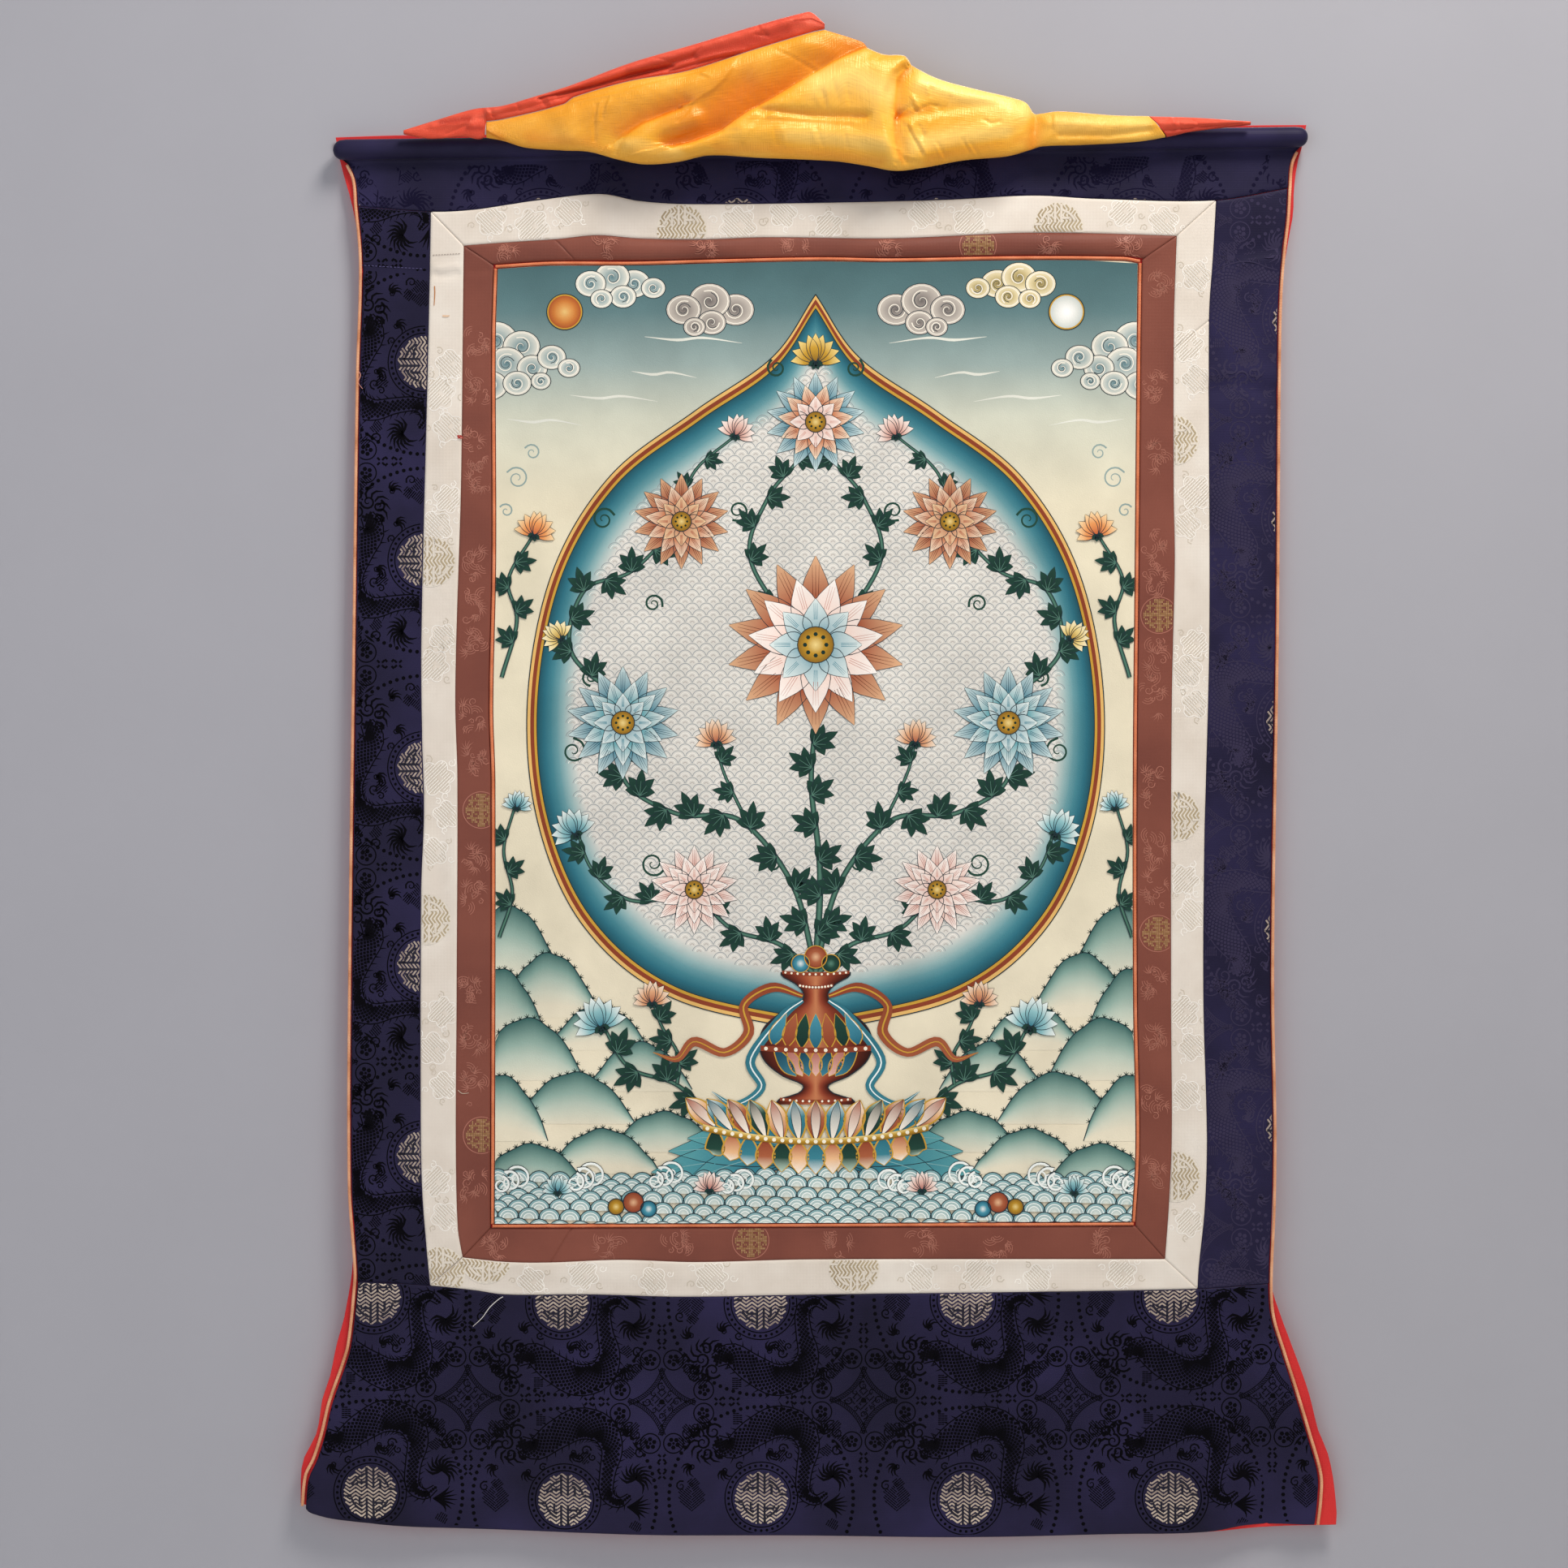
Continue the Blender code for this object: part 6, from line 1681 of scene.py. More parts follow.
def piping(name, follow, length, start, end, material):
    """A twisted cord laid on the mounting along a line, from one share of it to another."""
    steps = int(length / PIPING_STEP)
    columns = np.linspace(0, 1, PIPING_SIDES + 1)
    rows = np.linspace(0, 1, steps + 1)

    def surface(u, v):
        x, drop = follow(between(start, end, v))
        ahead_x, ahead_drop = follow(np.clip(between(start, end, v + 0.001), 0, 1))
        behind_x, behind_drop = follow(np.clip(between(start, end, v - 0.001), 0, 1))
        way = np.stack([ahead_x - behind_x, ahead_drop - behind_drop])
        way = way / np.maximum(np.hypot(*way), 1e-9)
        turn = math.tau * u
        lay = 0.5 * STRANDS * (turn - math.tau * v * length / LAY_LENGTH)
        radius = PIPING_RADIUS * (1 - STRAND_DEPTH * (1 - np.abs(np.cos(lay))))
        side = radius * np.cos(turn)
        out = radius * np.sin(turn)
        return x - side * way[1], drop + side * way[0], hang(x, drop) - PIPING_SUNK + out

    cord = cloth(f"satin_{name}", surface, columns, rows, 0, (math.tau * PIPING_RADIUS, length))
    bpy.ops.object.mode_set(mode="EDIT")
    bpy.ops.mesh.select_all(action="SELECT")
    bpy.ops.mesh.remove_doubles(threshold=0.00001)
    bpy.ops.mesh.select_all(action="DESELECT")
    bpy.ops.mesh.select_mode(type="EDGE")
    bpy.ops.mesh.select_non_manifold()
    bpy.ops.mesh.fill_holes(sides=0)
    bpy.ops.mesh.select_all(action="SELECT")
    bpy.ops.mesh.normals_make_consistent(inside=False)
    bpy.ops.object.mode_set(mode="OBJECT")
    finish(cord, material, "orange_piping", name)


# Satin floss, bright where it is new and browner along the outer edges, with fine fibres
bright_floss = woven(
    "orange_satin_floss", ("c46a42", "dc7c50", "e89068"), 0.46, 0.3, (0.5, 2.5), 0.5, "XY", 40.0
)
worn_floss = woven(
    "worn_orange_satin_floss", ("c07c54", "dc9a72", "ecb48c"), 0.5, 0.3, (0.5, 2.5), 0.5, "XY", 40.0
)
# The pipings round the canvas: side, how its line runs, the line, its length, and how far it stops
# short of the corners
corner_clear = (PIPING_RADIUS + 0.5) / 888
CANVAS_PIPINGS = [
    ("top", across, CANVAS_HEAD, 596, 0), ("bottom", across, CANVAS_FOOT, 591, 0),
    ("left", down, CANVAS_LEFT, 886, corner_clear), ("right", down, CANVAS_RIGHT, 889, corner_clear),
]
for side, follow, line, length, clear in CANVAS_PIPINGS:
    start, end = (CANVAS_CORNERS[corner] for corner in STRIP_ENDS[side])
    piping(f"piping_{side}", follow(line, start, end), length, clear, 1 - clear, bright_floss)
length = SLEEVE_RIGHT - SLEEVE_LEFT
below_sleeve = 2 * SLEEVE_HALF_HEIGHT + EDGE_GAP + PIPING_RADIUS
start_left = (0, -SLEEVE_RISE * SLEEVE_LEFT / length + below_sleeve)
start_right = (0, -SLEEVE_RISE * SLEEVE_RIGHT / length + below_sleeve)
piping("edge_piping_left", down(EDGE_LEFT, start_left, HEM_LEFT), 1245, 0, 1, worn_floss)
piping("edge_piping_right", down(EDGE_RIGHT, start_right, HEM_RIGHT), 1275, 0, 1, worn_floss)

# ---------------------------------------------------------------- loose ends
# Ends of sewing thread that hang from the seams, a knot of red thread in the left border,
# pinkish fluff beside it, two orange-brown specks and the stitches of two joins near the top:
# each lies on the cloth.
THREAD_LIFT = 0.5
# Colour, width and way of each end of thread, as (x, drop) points
LOOSE_ENDS = [
    ("c9c5c2", 0.8, ((-288.2, 1074), (-293, 1077), (-300.7, 1084.2), (-307.5, 1093.5), (-316, 1101.5))),
    ("b9b4b0", 0.6, ((-427.5, 232), (-425, 238), (-426, 244))),
    ("c98a80", 0.7, ((-424, 218), (-421, 223), (-423, 230), (-419, 236))),
    ("bfae98", 0.6, ((-330, 884), (-326, 887), (-320, 886.5))),
    ("b9783c", 0.9, ((-352.4, 141), (-352.2, 148), (-352.8, 159))),
    ("e6c3a2", 1.6, ((-345, 168.6), (-341.5, 168.8), (-338.5, 168.4))),
]
RED_KNOT = (-329, 280)
# Colour, start, end and number of stitches of the rows that show in the left side
STITCH_ROWS = [
    ("454068", (-421, 121.5), (-363, 125), 17),
    ("a99d92", (-354, 112.5), (-328, 111), 10),
]
ends = Chart(up=(0, 1))
for tone, width, way in LOOSE_ENDS:
    ends.stroke(way, (width, width, 0.6 * width), tone, step=1.5)
for turn in range(3):
    x, drop = RED_KNOT[0] + turn - 1, RED_KNOT[1] + 0.6 * turn
    ends.curl(x, drop, 2.2, 1.5, 1.1, "b3352b", 130 * turn, 0.2 * turn)
for tone, start, end, count in STITCH_ROWS:
    for k in range(count):
        stitch = [[between(a, b, share / count) for a, b in zip(start, end)] for share in (k, k + 0.62)]
        ends.stroke(stitch, (0.8, 0.8), tone, step=1.5)
whole = (edge_left, edge_right, top_seam, hem)
ends.lay("loose_ends", whole, pale_floats, "cream_brocade", lift=THREAD_LIFT)

# ---------------------------------------------------------------- silk veil
# A veil of slubbed yellow silk between two coral borders, which covers the painting when let
# down. Here it is gathered up to a point, rolled over the sleeve and let bulge in folds.
SILK = 0.8
SEAM_RISE = 0.6
FULLNESS = 0.75
CRISP = 1.25
ROW_CROWDING = 0.97
# Wrinkles all over the silk: height, length across, its wander and over what, length down, and slant
WRINKLES = [(0.16, 2.9, 3, 9, 3.7, 17), (0.35, 9.7, 2, 21, 15, 41)]
VEIL_SEAM = [(-312, -7), (-288, -9.4), (-232, -22.5), (-222, -29), (-172, -42.8), (-118, -52),
             (-53, -72.8), (-4, -87.8), (8, -90.4)]
YELLOW_HEAD = [(8, -90.4), (42.4, -79.3), (46.4, -75.3), (47.4, -73.5), (62.5, -67.3), (81, -66),
               (86, -61), (87.5, -57.9), (110.7, -45.9), (142.8, -37), (180.3, -28.4), (193.7, -24),
               (200.4, -15), (207, -15), (223.2, -17.2), (274, -13.7), (314, -13.2)]
YELLOW_FOOT = [(-303, 7), (-288, 10), (-267, 16.5), (-232, 19.5), (-208, 21), (-181, 28.5), (-157, 33),
               (-127, 31), (-98, 25), (-53, 27), (16, 30), (47, 34.5), (73, 39), (99, 36), (136, 29),
               (176, 25), (195, 19.5), (208, 15), (245, 13.5), (292, 10.5), (314, 6)]
CORAL_HEAD = [(-379, 0), (-350, -9), (-314, -19.5), (-288, -22), (-261, -29.3), (-226, -39.8),
              (-172, -59.3), (-112, -76.5), (-53, -94.5), (-12, -105.8), (-4, -106.3), (8, -96)]
CORAL_FOOT = [(-379, 4), (-355, 8), (-324, 6), (-304.5, 6.5), (-303.5, -8.5)]
RIGHT_HEAD = [(315, -13), (357, -11), (400, -8)]
RIGHT_FOOT = [(315, 6), (357, 0), (400, -5)]
YELLOW_FRONT = [(-303, 29), (-267, 35), (-208, 41), (-157, 48), (-98, 50), (-4, 46), (42, 48), (79, 48),
                (136, 44), (176, 42), (196, 37), (203, 33), (245, 34), (314, 30)]
YELLOW_BACK = [(-303, 23), (190, 22.5), (230, 18), (314, 18)]
CORAL_STANDS = 4.5
CORAL_END_FRONT = 29.0
CORAL_END_BACK = 23.0
RIGHT_FRONT = [(315, 30), (357, 29), (400, 27.5)]
RIGHT_BACK = [(315, 18), (345, 23), (400, 23)]

# Changes along the veil that start and end at an x: rows of (from, to, change)
YELLOW_OVER = [(5, 30, 40), (190, 215, -12)]
YELLOW_UNDER = [(-303, -270, 50), (185, 215, -45)]
LEAN = [(280, 314, 8.0), (315, 346, -8.0)]
CORAL_SHOWN = [(-330, -300, 1)]

# Folds of the silk: height, reach to the left of the line's way and to its right, (x, drop) points.
# First the rounded swells: the layer that rolls under at the long crease, the flap's roll with the
# hollow past it, the double trough, the left bulge, and the cord-like right end.
YELLOW_SWELLS = [
    (2.5, 9, 12, ((-222, -14), (-172, -28), (-118, -38), (-60, -58), (-12, -76))),
    (-3.0, 12, 14, ((-70, -40), (-100, -18))),
    (3.0, 14, 8, ((52, -58), (14, -40), (-36, -14))),
    (5.0, 5, 15, ((79, -62), (67, -49), (59, -31), (58, -10), (64, 14), (71, 30))),
    (-5.0, 10, 4, ((82, -52), (77, -38), (74, -16))),
    (-2.5, 5, 4, ((74, -10), (77, 12), (82, 30))),
    (-2.6, 5, 4, ((-50, -15), (-10, -11.5), (46, -9))),
    (3.4, 8, 11, ((-66, 6), (-6, 6), (46, 11), (62, 16))),
    (-3.0, 4, 14, ((-126, -18), (-159, -7), (-177, 4), (-188, 14))),
    (3.6, 9, 9, ((-112, -6), (-150, 7), (-170, 17))),
    (-3.0, 4, 9, ((-88, 2), (-116, 11), (-138, 14))),
    (2.4, 7, 10, ((-100, 18), (-136, 25), (-160, 26))),
    (2.5, 10, 10, ((-236, -16), (-226, 8))),
    (2.4, 12, 9, ((96, 26), (140, 8), (176, -4))),
    (-2.0, 6, 5, ((82, -9), (114, -15), (150, -20), (186, -22))),
    (2.6, 7, 7, ((96, -40), (124, -32), (176, -20))),
    (-3.2, 7, 6, ((192, -26), (201, -8), (197, 20))),
    (1.8, 5, 5, ((212, -6), (262, -3), (312, -5))),
    (-1.5, 3, 3, ((224, 6), (270, 6), (306, 1))),
    (1.8, 9, 9, ((-14, -80), (22, -64))),
]
# Then the sharp creases, in the same columns: the long one and the flap's edge, the curved one to
# the left, the join, the trough's lines, the hem beside the coral border, and small wrinkles.
YELLOW_CREASES = [
    (-8.5, 2.4, 21, ((46, -75.5), (40, -73.5), (30, -68.5), (14, -60), (2, -52.4), (-19, -40.4), (-43, -25.5),
                     (-62, -15.3), (-76.6, -5.2), (-87, 2), (-99, 7.4), (-115, 13.4), (-131.6, 17))),
    (-2.4, 7, 2.0, ((87, -60), (80, -55), (73.5, -48), (71.5, -38), (71, -24), (69.5, -12), (71.5, -3),
                    (71.5, 12), (73, 33))),
    (2.4, 1.6, 9, ((-76.6, -54), (-82.5, -44.6), (-93.3, -33.9), (-107.7, -25.5), (-122, -18.8))),
    (-3.2, 2.4, 9, ((-120, -19.8), (-131, -14.9), (-145.4, -8.9), (-159.7, -2.8), (-170.5, 4.4),
                    (-178.8, 14), (-183.6, 24))),
    (-1.3, 3.0, 1.4, ((-39.5, -72.2), (-20, -63.5), (2, -51.6))),
    (1.2, 1.2, 1.2, ((-38.5, -73.8), (-19, -65), (3, -53.6))),
    (-1.9, 3.4, 2.6, ((-53, -16.4), (-30, -12.6), (0, -10.2), (45, -8.4))),
    (-1.2, 2.4, 4.2, ((-45, -6.6), (-10, -4.4), (32, -1.8))),
    (1.3, 1.4, 1.6, ((-232, -21.5), (-208, -26.2), (-178, -31.4), (-151, -38.4), (-131, -43.2),
                     (-104, -48.5))),
    (-1.3, 1.4, 1.2, ((-232, -23), (-208, -28), (-178, -33.4), (-151, -40.4), (-131, -45.4), (-104, -50.6))),
    (-1.4, 1.4, 1.2, ((-200.5, -20), (-203.2, -6), (-203, 12))),
    (1.0, 1.4, 1.4, ((-198.5, -22), (-200.6, -6))),
    (-1.2, 1.2, 1.2, ((-191, -26), (-194, -17), (-196, -8))),
    (1.0, 1.2, 1.2, ((-189, -26), (-192, -15))),
    (-1.5, 1.6, 3.0, ((-113, -19.5), (-119, -11), (-126, -4))),
    (1.6, 5.0, 1.1, ((-303, 0.5), (-297, 4), (-290, 7.6))),
    (-1.0, 1.2, 1.2, ((5, -33), (9, -19))),
    (0.8, 1.4, 1.4, ((9.4, -33), (12, -21))),
    (-1.0, 1.4, 1.4, ((15.5, -41), (20.3, -24.3))),
    (0.7, 1.4, 1.4, ((-1, -30), (3.4, -18))),
    (-0.8, 1.4, 1.4, ((28, -38), (31, -20))),
    (-0.8, 1.4, 1.4, ((-38.3, 3.2), (-35.9, 16.4))),
    (0.7, 1.3, 1.3, ((-31, 3.4), (-27.6, 17.4))),
    (-0.8, 1.5, 1.5, ((1, 2), (6, 17.6))),
    (0.7, 1.3, 1.3, ((-4, 3), (-1, 14))),
    (-0.7, 1.3, 1.3, ((26, 7), (29, 20))),
    (0.6, 1.6, 1.6, ((-60, 3), (-66, 14))),
    (-1.8, 1.7, 2.2, ((72, -8), (79, -14), (87.6, -19.5), (92, -14), (98, -17), (104, -20), (111, -19))),
    (1.6, 1.5, 1.7, ((88, -27), (92, -20), (96, -14))),
    (1.4, 1.5, 1.5, ((101, -36), (103, -29))),
    (-1.4, 1.4, 1.4, ((105.5, -34), (104.5, -28))),
    (-1.2, 1.6, 1.6, ((123, -27), (120.5, -20), (116, -14))),
    (-2.0, 1.4, 1.7, ((83, -1), (86, 4), (90, 11.6), (97.1, 24.7))),
    (1.6, 1.3, 1.5, ((87, -1), (90, 8), (95.5, 15), (100.5, 25))),
    (-1.3, 1.2, 1.2, ((79.5, -3), (82, 6))),
    (-1.4, 1.2, 1.2, ((94.5, 0), (98.5, 9))),
    (1.2, 1.2, 1.2, ((103, -4), (101, 5))),
    (-1.4, 1.4, 1.4, ((111, 15.5), (118.7, 28.3))),
    (1.0, 1.2, 1.2, ((109, 17), (115, 28))),
    (-1.2, 1.4, 1.4, ((134, 12), (141, 22.3))),
    (-1.2, 1.4, 1.4, ((140.8, 15), (149.6, 27))),
    (1.0, 1.2, 1.2, ((138, 14), (146, 25))),
    (-1.1, 1.2, 1.2, ((76, 23), (84, 31), (92, 33))),
    (1.2, 1.2, 1.2, ((73, 20), (80, 26), (90, 29))),
    (-1.5, 1.5, 1.5, ((154.6, -6), (160, -2.6), (168.5, -4.6))),
    (-1.0, 1.2, 1.2, ((216.7, -12), (216.7, 0))),
    (0.9, 1.2, 1.2, ((219, -12), (218.6, 0))),
    (-1.0, 1.4, 1.4, ((-122, -45), (-108, -47), (-99, -44))),
    (1.0, 1.4, 1.4, ((-104, -49), (-98, -45))),
]
# Painted shade where the folds' hollows get light only off other silk and over the left part, and
# with minus signs painted highlights on the ridges that face the light: the same columns
YELLOW_PAINTED_SHADING = [
    (0.95, 1.0, 24, ((46, -74), (14, -60), (-19, -40.4), (-43, -25.5), (-62, -15.3), (-87, 2), (-112, 12))),
    (0.3, 16, 16, ((-66, -42), (-94, -20))),
    (0.7, 1.5, 13, ((-122, -18), (-159.7, -3), (-176, 8))),
    (0.8, 9, 1.5, ((84, -54), (75, -44), (72, -14))),
    (0.5, 5, 1.5, ((72, -10), (73, 14), (77, 30))),
    (0.4, 3.0, 2.4, ((-50, -15.6), (0, -10.2), (45, -8.4))),
    (0.25, 1.8, 3.0, ((-45, -6.6), (-10, -4.4), (32, -1.8))),
    (0.7, 1.2, 6, ((-99, 7.4), (-115, 13.4), (-138, 17))),
    (0.45, 3.5, 3.0, ((76, -10), (104, -17))),
    (0.55, 7, 7, ((200, -6), (199, 16))),
    (0.4, 5, 1.0, ((-303, 2), (-290, 8.6))),
    (0.35, 7, 4, ((-90, 20), (-40, 21), (10, 25), (60, 32))),
    (0.3, 4, 6, ((104, 28), (150, 18), (188, 10))),
    (0.3, 7, 4, ((-262, 10), (-210, 14), (-190, 20))),
    (0.22, 26, 26, ((-290, 2), (-200, -14), (-120, -26), (-60, -48))),
    (-0.8, 15, 15, ((4, -40), (36, -46), (66, -30))),
    (-0.9, 12, 12, ((98, -44), (140, -31), (192, -16))),
    (-0.6, 9, 9, ((92, 16), (130, 8), (172, 4))),
    (-0.5, 8, 8, ((-24, 8), (20, 12), (60, 18))),
    (-0.5, 9, 9, ((226, -5), (300, -6))),
    (-0.4, 6, 9, ((-190, 12), (-160, 16), (-128, 22))),
]
# The left coral border is doubled, with a dark gap between its layers
CORAL_SWELLS = [
    (-2.6, 3, 4, ((-236, -30), (-200, -40), (-150, -53), (-112, -64))),
    (2.4, 5, 5, ((-300, -16), (-240, -31), (-172, -54), (-60, -88), (-12, -100))),
    (1.4, 3, 3, ((-352, -3), (-318, -6))),
    (1.2, 4, 4, ((-30, -98), (2, -94))),
]
CORAL_CREASES = [
    (-3.4, 1.4, 2.2, ((-254, -27.6), (-232, -32.5), (-200, -40), (-172, -48), (-132, -56.5))),
    (1.3, 1.2, 1.4, ((-236, -29), (-204, -37.4), (-180, -44))),
    (-2.0, 1.6, 1.8, ((-134, -52), (-112, -57.8), (-92, -63), (-70, -67.8))),
    (1.4, 1.4, 1.4, ((-134, -55), (-112, -61), (-88, -67), (-66, -71))),
    (-1.6, 2.2, 2.6, ((-310, -10), (-262, -20), (-228, -30))),
    (-1.6, 1.6, 1.6, ((-300, -20), (-296, -12))),
    (1.2, 1.4, 1.4, ((-303, -18), (-299, -12))),
    (-1.2, 1.6, 1.6, ((-340, 4), (-322, -4))),
    (-1.3, 1.4, 1.4, ((-252, -27), (-247, -20))),
    (1.1, 1.4, 1.4, ((-246, -28), (-242, -20))),
    (-1.2, 1.2, 1.2, ((-276, -24), (-271, -17))),
    (-1.5, 1.2, 1.4, ((-53.5, -95), (-51.6, -91))),
    (1.0, 1.4, 1.4, ((-51.5, -95), (-49, -90))),
    (-1.0, 1.2, 1.2, ((-56, -85), (-46, -84))),
    (-1.2, 1.2, 1.2, ((-48, -88), (-44, -84))),
    (-1.6, 1.4, 3.0, ((-20, -97), (-4, -99), (8, -94))),
    (-1.0, 1.2, 1.2, ((-150, -64), (-130, -60))),
    (-1.0, 1.2, 1.2, ((-106, -72), (-112, -66))),
]
# Painted shade in the dark gap between the coral border's layers and along its creases
CORAL_PAINTED_SHADE = [
    (0.9, 1.2, 2.0, ((-254, -28), (-232, -33), (-200, -40.6), (-172, -48.6), (-132, -57))),
    (0.7, 5, 6, ((-170, -50), (-112, -66), (-60, -80), (-26, -90))),
    (0.9, 1.2, 1.6, ((-134, -52), (-112, -57.8), (-92, -63), (-70, -67.8))),
    (0.9, 3.5, 3.5, ((-344, -7), (-318, -10))),
    (0.8, 2.5, 2.5, ((-320, -1), (-306, -1))),
    (0.6, 1.2, 3.0, ((-20, -97), (-4, -99), (8, -94))),
]
RIGHT_SWELLS = [(1.8, 3, 3, ((316, -6), (345, -5), (398, -7)))]
RIGHT_CREASES = [
    (-2.0, 1.4, 1.8, ((318, 1), (352, -3), (392, -6))),
    (-1.2, 1.2, 1.2, ((330, -12), (336, -2))),
    (1.0, 1.2, 1.2, ((326, -12), (331, -3))),
    (-1.0, 1.2, 1.2, ((346, -10), (352, -4))),
]
# Painted shade along the right border's crease
RIGHT_PAINTED_SHADE = [
    (0.8, 1.0, 3.0, ((318, 2), (352, -2), (392, -5))),
]
veil_seam = line_through(VEIL_SEAM)
yellow_head = line_through(YELLOW_HEAD)
yellow_foot = line_through(YELLOW_FOOT)
yellow_front = line_through(YELLOW_FRONT)
yellow_back = line_through(YELLOW_BACK)
coral_head = line_through(CORAL_HEAD)
coral_foot = line_through(CORAL_FOOT)


def stepped(rows):
    """The sum of eased changes, rows of (from, to, change), as a function of the key."""
    return lambda key: sum(change * eased(key, start, end) for start, end, change in rows)


def swag(name, limits, head, foot, back, out, over, under, cells, swells, creases, painted_shading_rows, lean=()):
    """Silk hung as a bulging fold: over its head, down its front and back under its foot.

    over and under are the angles past the top and the bottom to which the silk goes on, as
    functions of x; lean slants an end. The painted shade and highlights are kept as an attribute.
    """
    slant = stepped(lean)

    def surface(u, v):
        x = between(limits[0], limits[1], u)
        angle = np.radians(between(-90 - over(x), 90 + under(x), v))
        reach = np.cos(angle)
        full = np.sign(reach) * np.abs(reach) ** FULLNESS
        drop = between(head(x), foot(x), 0.5 + 0.5 * np.sin(angle))
        depth = between(back(x), out(x), 0.5 + 0.5 * full)
        x = x + slant(x) * np.sin(angle)
        folds = ridges(swells, x, drop) + ridges(creases, x, drop, CRISP)
        wrinkles = sum(
            height * np.sin(x / wide + wander * np.sin(drop / over_what)) * np.sin(drop / tall + x / aslant)
            for height, wide, wander, over_what, tall, aslant in WRINKLES
        )
        outward = np.maximum(reach, 0)
        return x, drop, depth + folds * outward ** 0.5 + wrinkles * outward

    even = np.linspace(-1, 1, cells[1] + 1)
    columns = np.linspace(0, 1, cells[0] + 1)
    rows = 0.5 + 0.5 * np.arcsin(ROW_CROWDING * even) / math.asin(ROW_CROWDING)
    piece = cloth(name, surface, columns, rows, SILK, (limits[1] - limits[0], 110))
    points = points_of(piece) / MM
    # Painted shade in the folds' hollows, and painted highlights where the values are below zero
    deep = np.clip(ridges(painted_shading_rows, points[:, 0], -points[:, 2]), -1, 1)
    piece.data.attributes.new("hollow", "FLOAT", "POINT").data.foreach_set("value", deep)
    return piece


def slubbed_silk(name, tones, deep, pale, lustre):
    """Raw silk: a soft lustre and slubs along its weft; painted shade in its folds' hollows, and painted
    highlights on the ridges that face the light.
    """
    material = new_material(name)
    spot = add_node(material, "TexCoord")
    cloudy = add_node(material, "TexNoise", {"Vector": (spot, "UV"), "Scale": 14.0, "Detail": 5.0})
    dye = add_node(material, "ValToRGB", {"Fac": (cloudy, "Fac")})
    dye.color_ramp.elements.new(0.5)
    for stop, place, tone in zip(dye.color_ramp.elements, (0.3, 0.5, 0.7), tones):
        stop.position = place
        stop.color = linear(tone)
    # Painted shade from the attribute deepens the colour in the folds' hollows
    hollow = add_node(material, "Attribute", attribute_name="hollow")
    shaded_dye = add_node(
        material, "MixRGB", {"Fac": (hollow, "Fac"), "Color1": (dye, "Color"), "Color2": linear(deep)}
    )
    # The attribute's values below zero mix in the painted highlight
    painted_shading_share = add_node(material, "Math", {0: (hollow, "Fac"), 1: -1.0}, operation="MULTIPLY", use_clamp=True)
    highlighted_dye = add_node(
        material, "MixRGB", {"Fac": (painted_shading_share, "Value"), "Color1": (shaded_dye, "Color"), "Color2": linear(pale)}
    )
    # Slubs are 10 to 30 mm long and about 1 mm thick, with finer threads across them
    relief = []
    for scale, detail in (((60.0, 900.0, 1.0), 3.0), ((1100.0, 90.0, 1.0), 2.0)):
        stretched = add_node(material, "Mapping", {"Vector": (spot, "UV"), "Scale": scale})
        inputs = {"Vector": (stretched, "Vector"), "Scale": 1.0, "Detail": detail}
        relief.append(add_node(material, "TexNoise", inputs))
    height = add_node(material, "Math", {0: (relief[0], "Fac"), 1: (relief[1], "Fac")}, operation="ADD")
    bump = add_node(material, "Bump", {"Height": (height, "Value"), "Strength": 0.6, "Distance": 0.0007})
    shader = add_node(
        material, "BsdfPrincipled",
        {"Base Color": (highlighted_dye, "Color"), "Roughness": 0.34, "Sheen Weight": 0.3, "Sheen Roughness": 0.3,
         "Sheen Tint": linear(lustre), "Specular IOR Level": 0.8, "Specular Tint": linear(lustre),
         "Normal": (bump, "Normal")},
    )
    add_node(material, "OutputMaterial", {"Surface": (shader, "BSDF")})
    return material


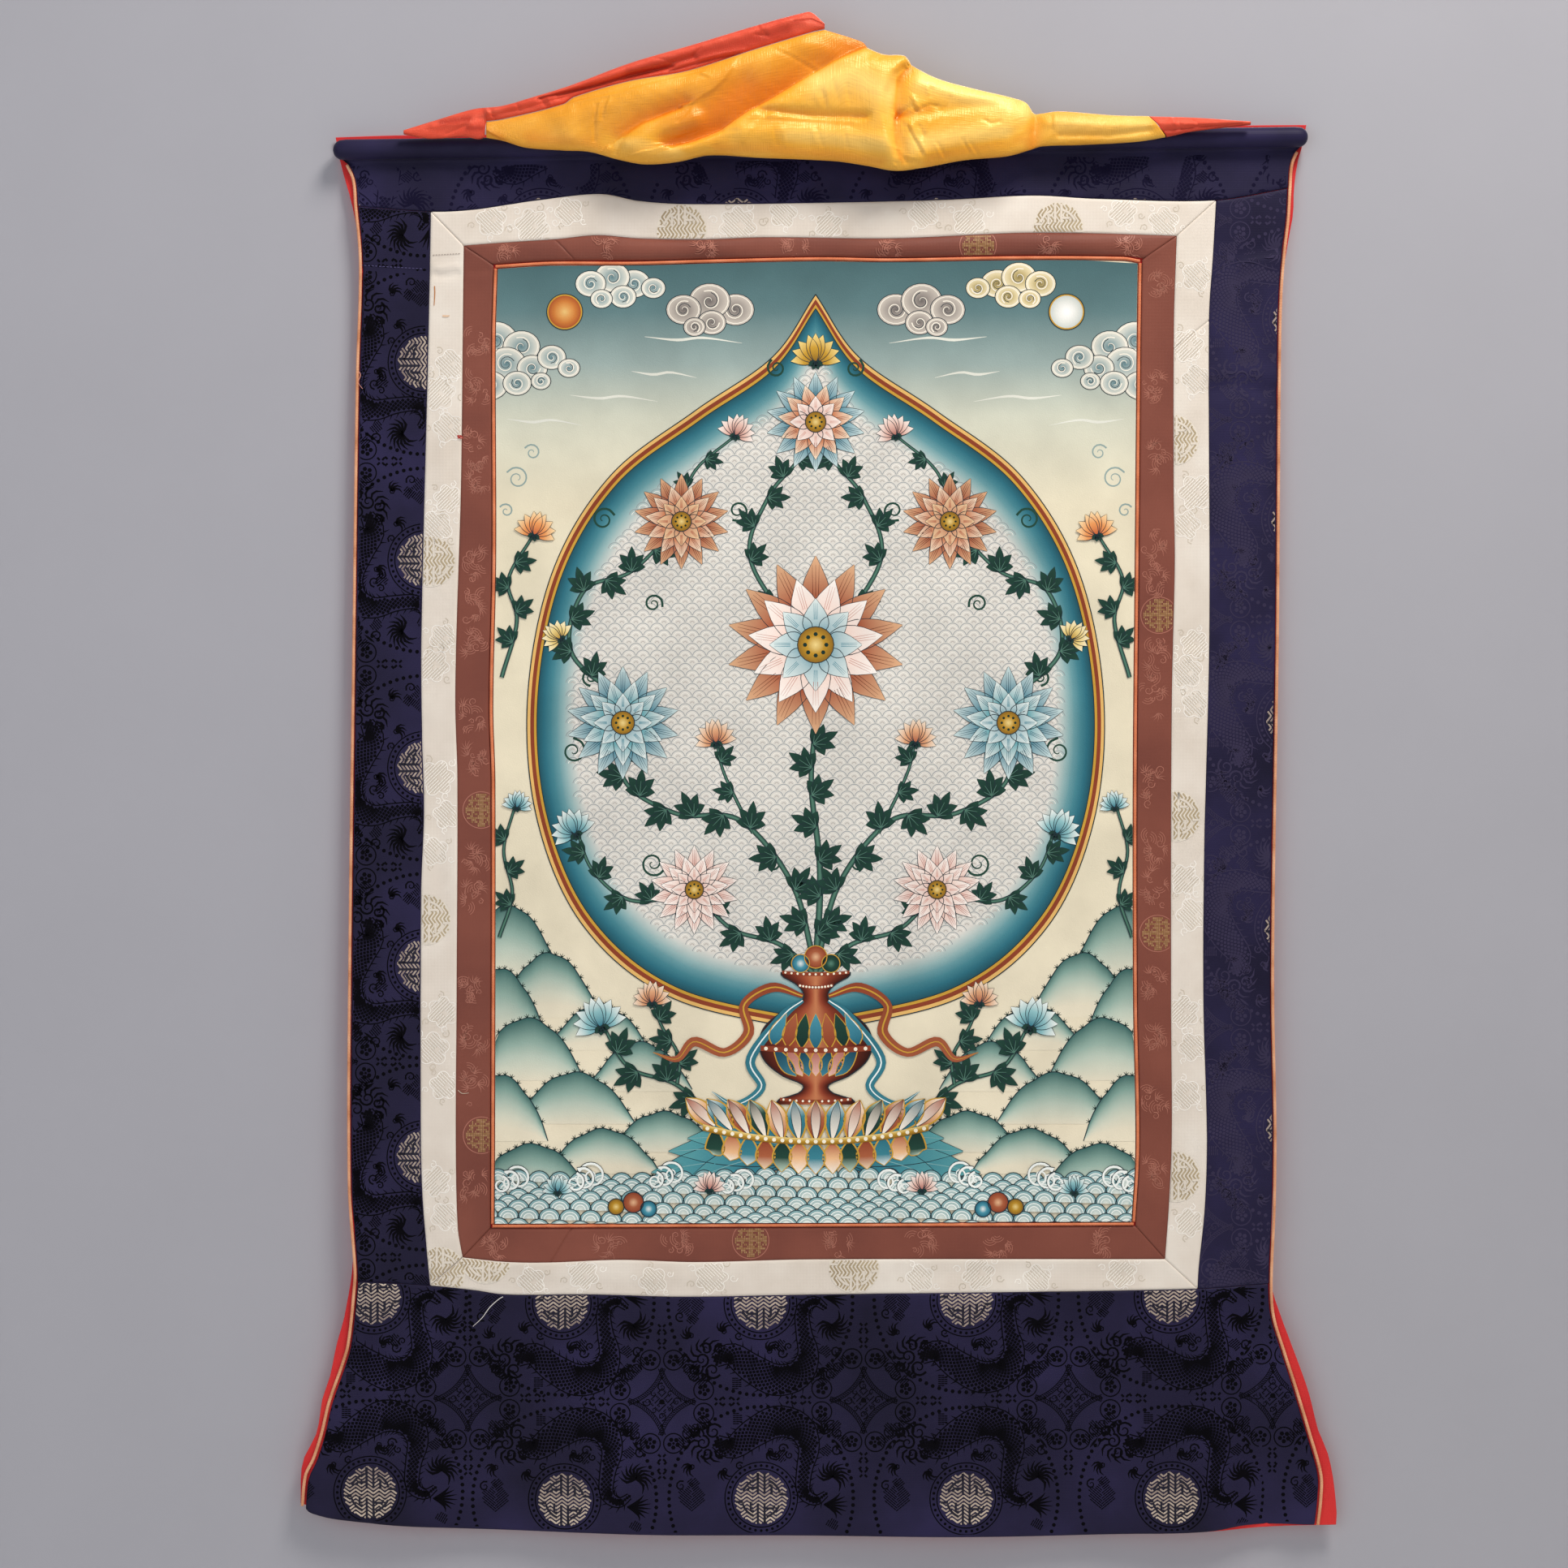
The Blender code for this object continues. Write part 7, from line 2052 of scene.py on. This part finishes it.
def yellow_top(x):
    return np.where(x < VEIL_SEAM[-1][0], veil_seam(x), yellow_head(x))


def coral_lower(x):
    return np.where(x < CORAL_FOOT[-1][0], coral_foot(x), veil_seam(x) - SEAM_RISE)


def seam_depth(x):
    return 0.5 * (yellow_front(x) + yellow_back(x))


def coral_front(x):
    return between(CORAL_END_FRONT, seam_depth(x) + CORAL_STANDS, stepped(CORAL_SHOWN)(x))


def coral_behind(x):
    return between(CORAL_END_BACK, seam_depth(x) - CORAL_STANDS, stepped(CORAL_SHOWN)(x))


# Each silk's deep tone is its painted shade, and its pale one its painted highlight
yellow_silk = slubbed_silk(
    "yellow_slubbed_silk", ("e69b1f", "f0a92e", "f8bd4a"), "d97000", "ffd878", "fff0c0"
)
coral_silk = slubbed_silk(
    "coral_slubbed_silk", ("d4402a", "e24e36", "ec6148"), "ac2818", "f08068", "ffb8a0"
)
veil_yellow = swag(
    "veil_yellow_silk", (YELLOW_FOOT[0][0], YELLOW_FOOT[-1][0]), yellow_top, yellow_foot, yellow_back,
    yellow_front, stepped(YELLOW_OVER), stepped(YELLOW_UNDER), (430, 108), YELLOW_SWELLS, YELLOW_CREASES,
    YELLOW_PAINTED_SHADING, LEAN,
)
finish(veil_yellow, yellow_silk, "yellow_silk", "veil_yellow")
veil_coral = swag(
    "veil_coral_border_left", (CORAL_HEAD[0][0], CORAL_HEAD[-1][0]), coral_head, coral_lower, coral_behind,
    coral_front, lambda x: 35, lambda x: 0, (320, 36), CORAL_SWELLS, CORAL_CREASES, CORAL_PAINTED_SHADE,
)
finish(veil_coral, coral_silk, "coral_silk", "veil_coral_left")
veil_right = swag(
    "veil_coral_border_right", (RIGHT_HEAD[0][0], RIGHT_HEAD[-1][0]), line_through(RIGHT_HEAD),
    line_through(RIGHT_FOOT), line_through(RIGHT_BACK), line_through(RIGHT_FRONT), lambda x: 28, lambda x: 5,
    (70, 26), RIGHT_SWELLS, RIGHT_CREASES, RIGHT_PAINTED_SHADE, LEAN,
)
finish(veil_right, coral_silk, "coral_silk", "veil_coral_right")
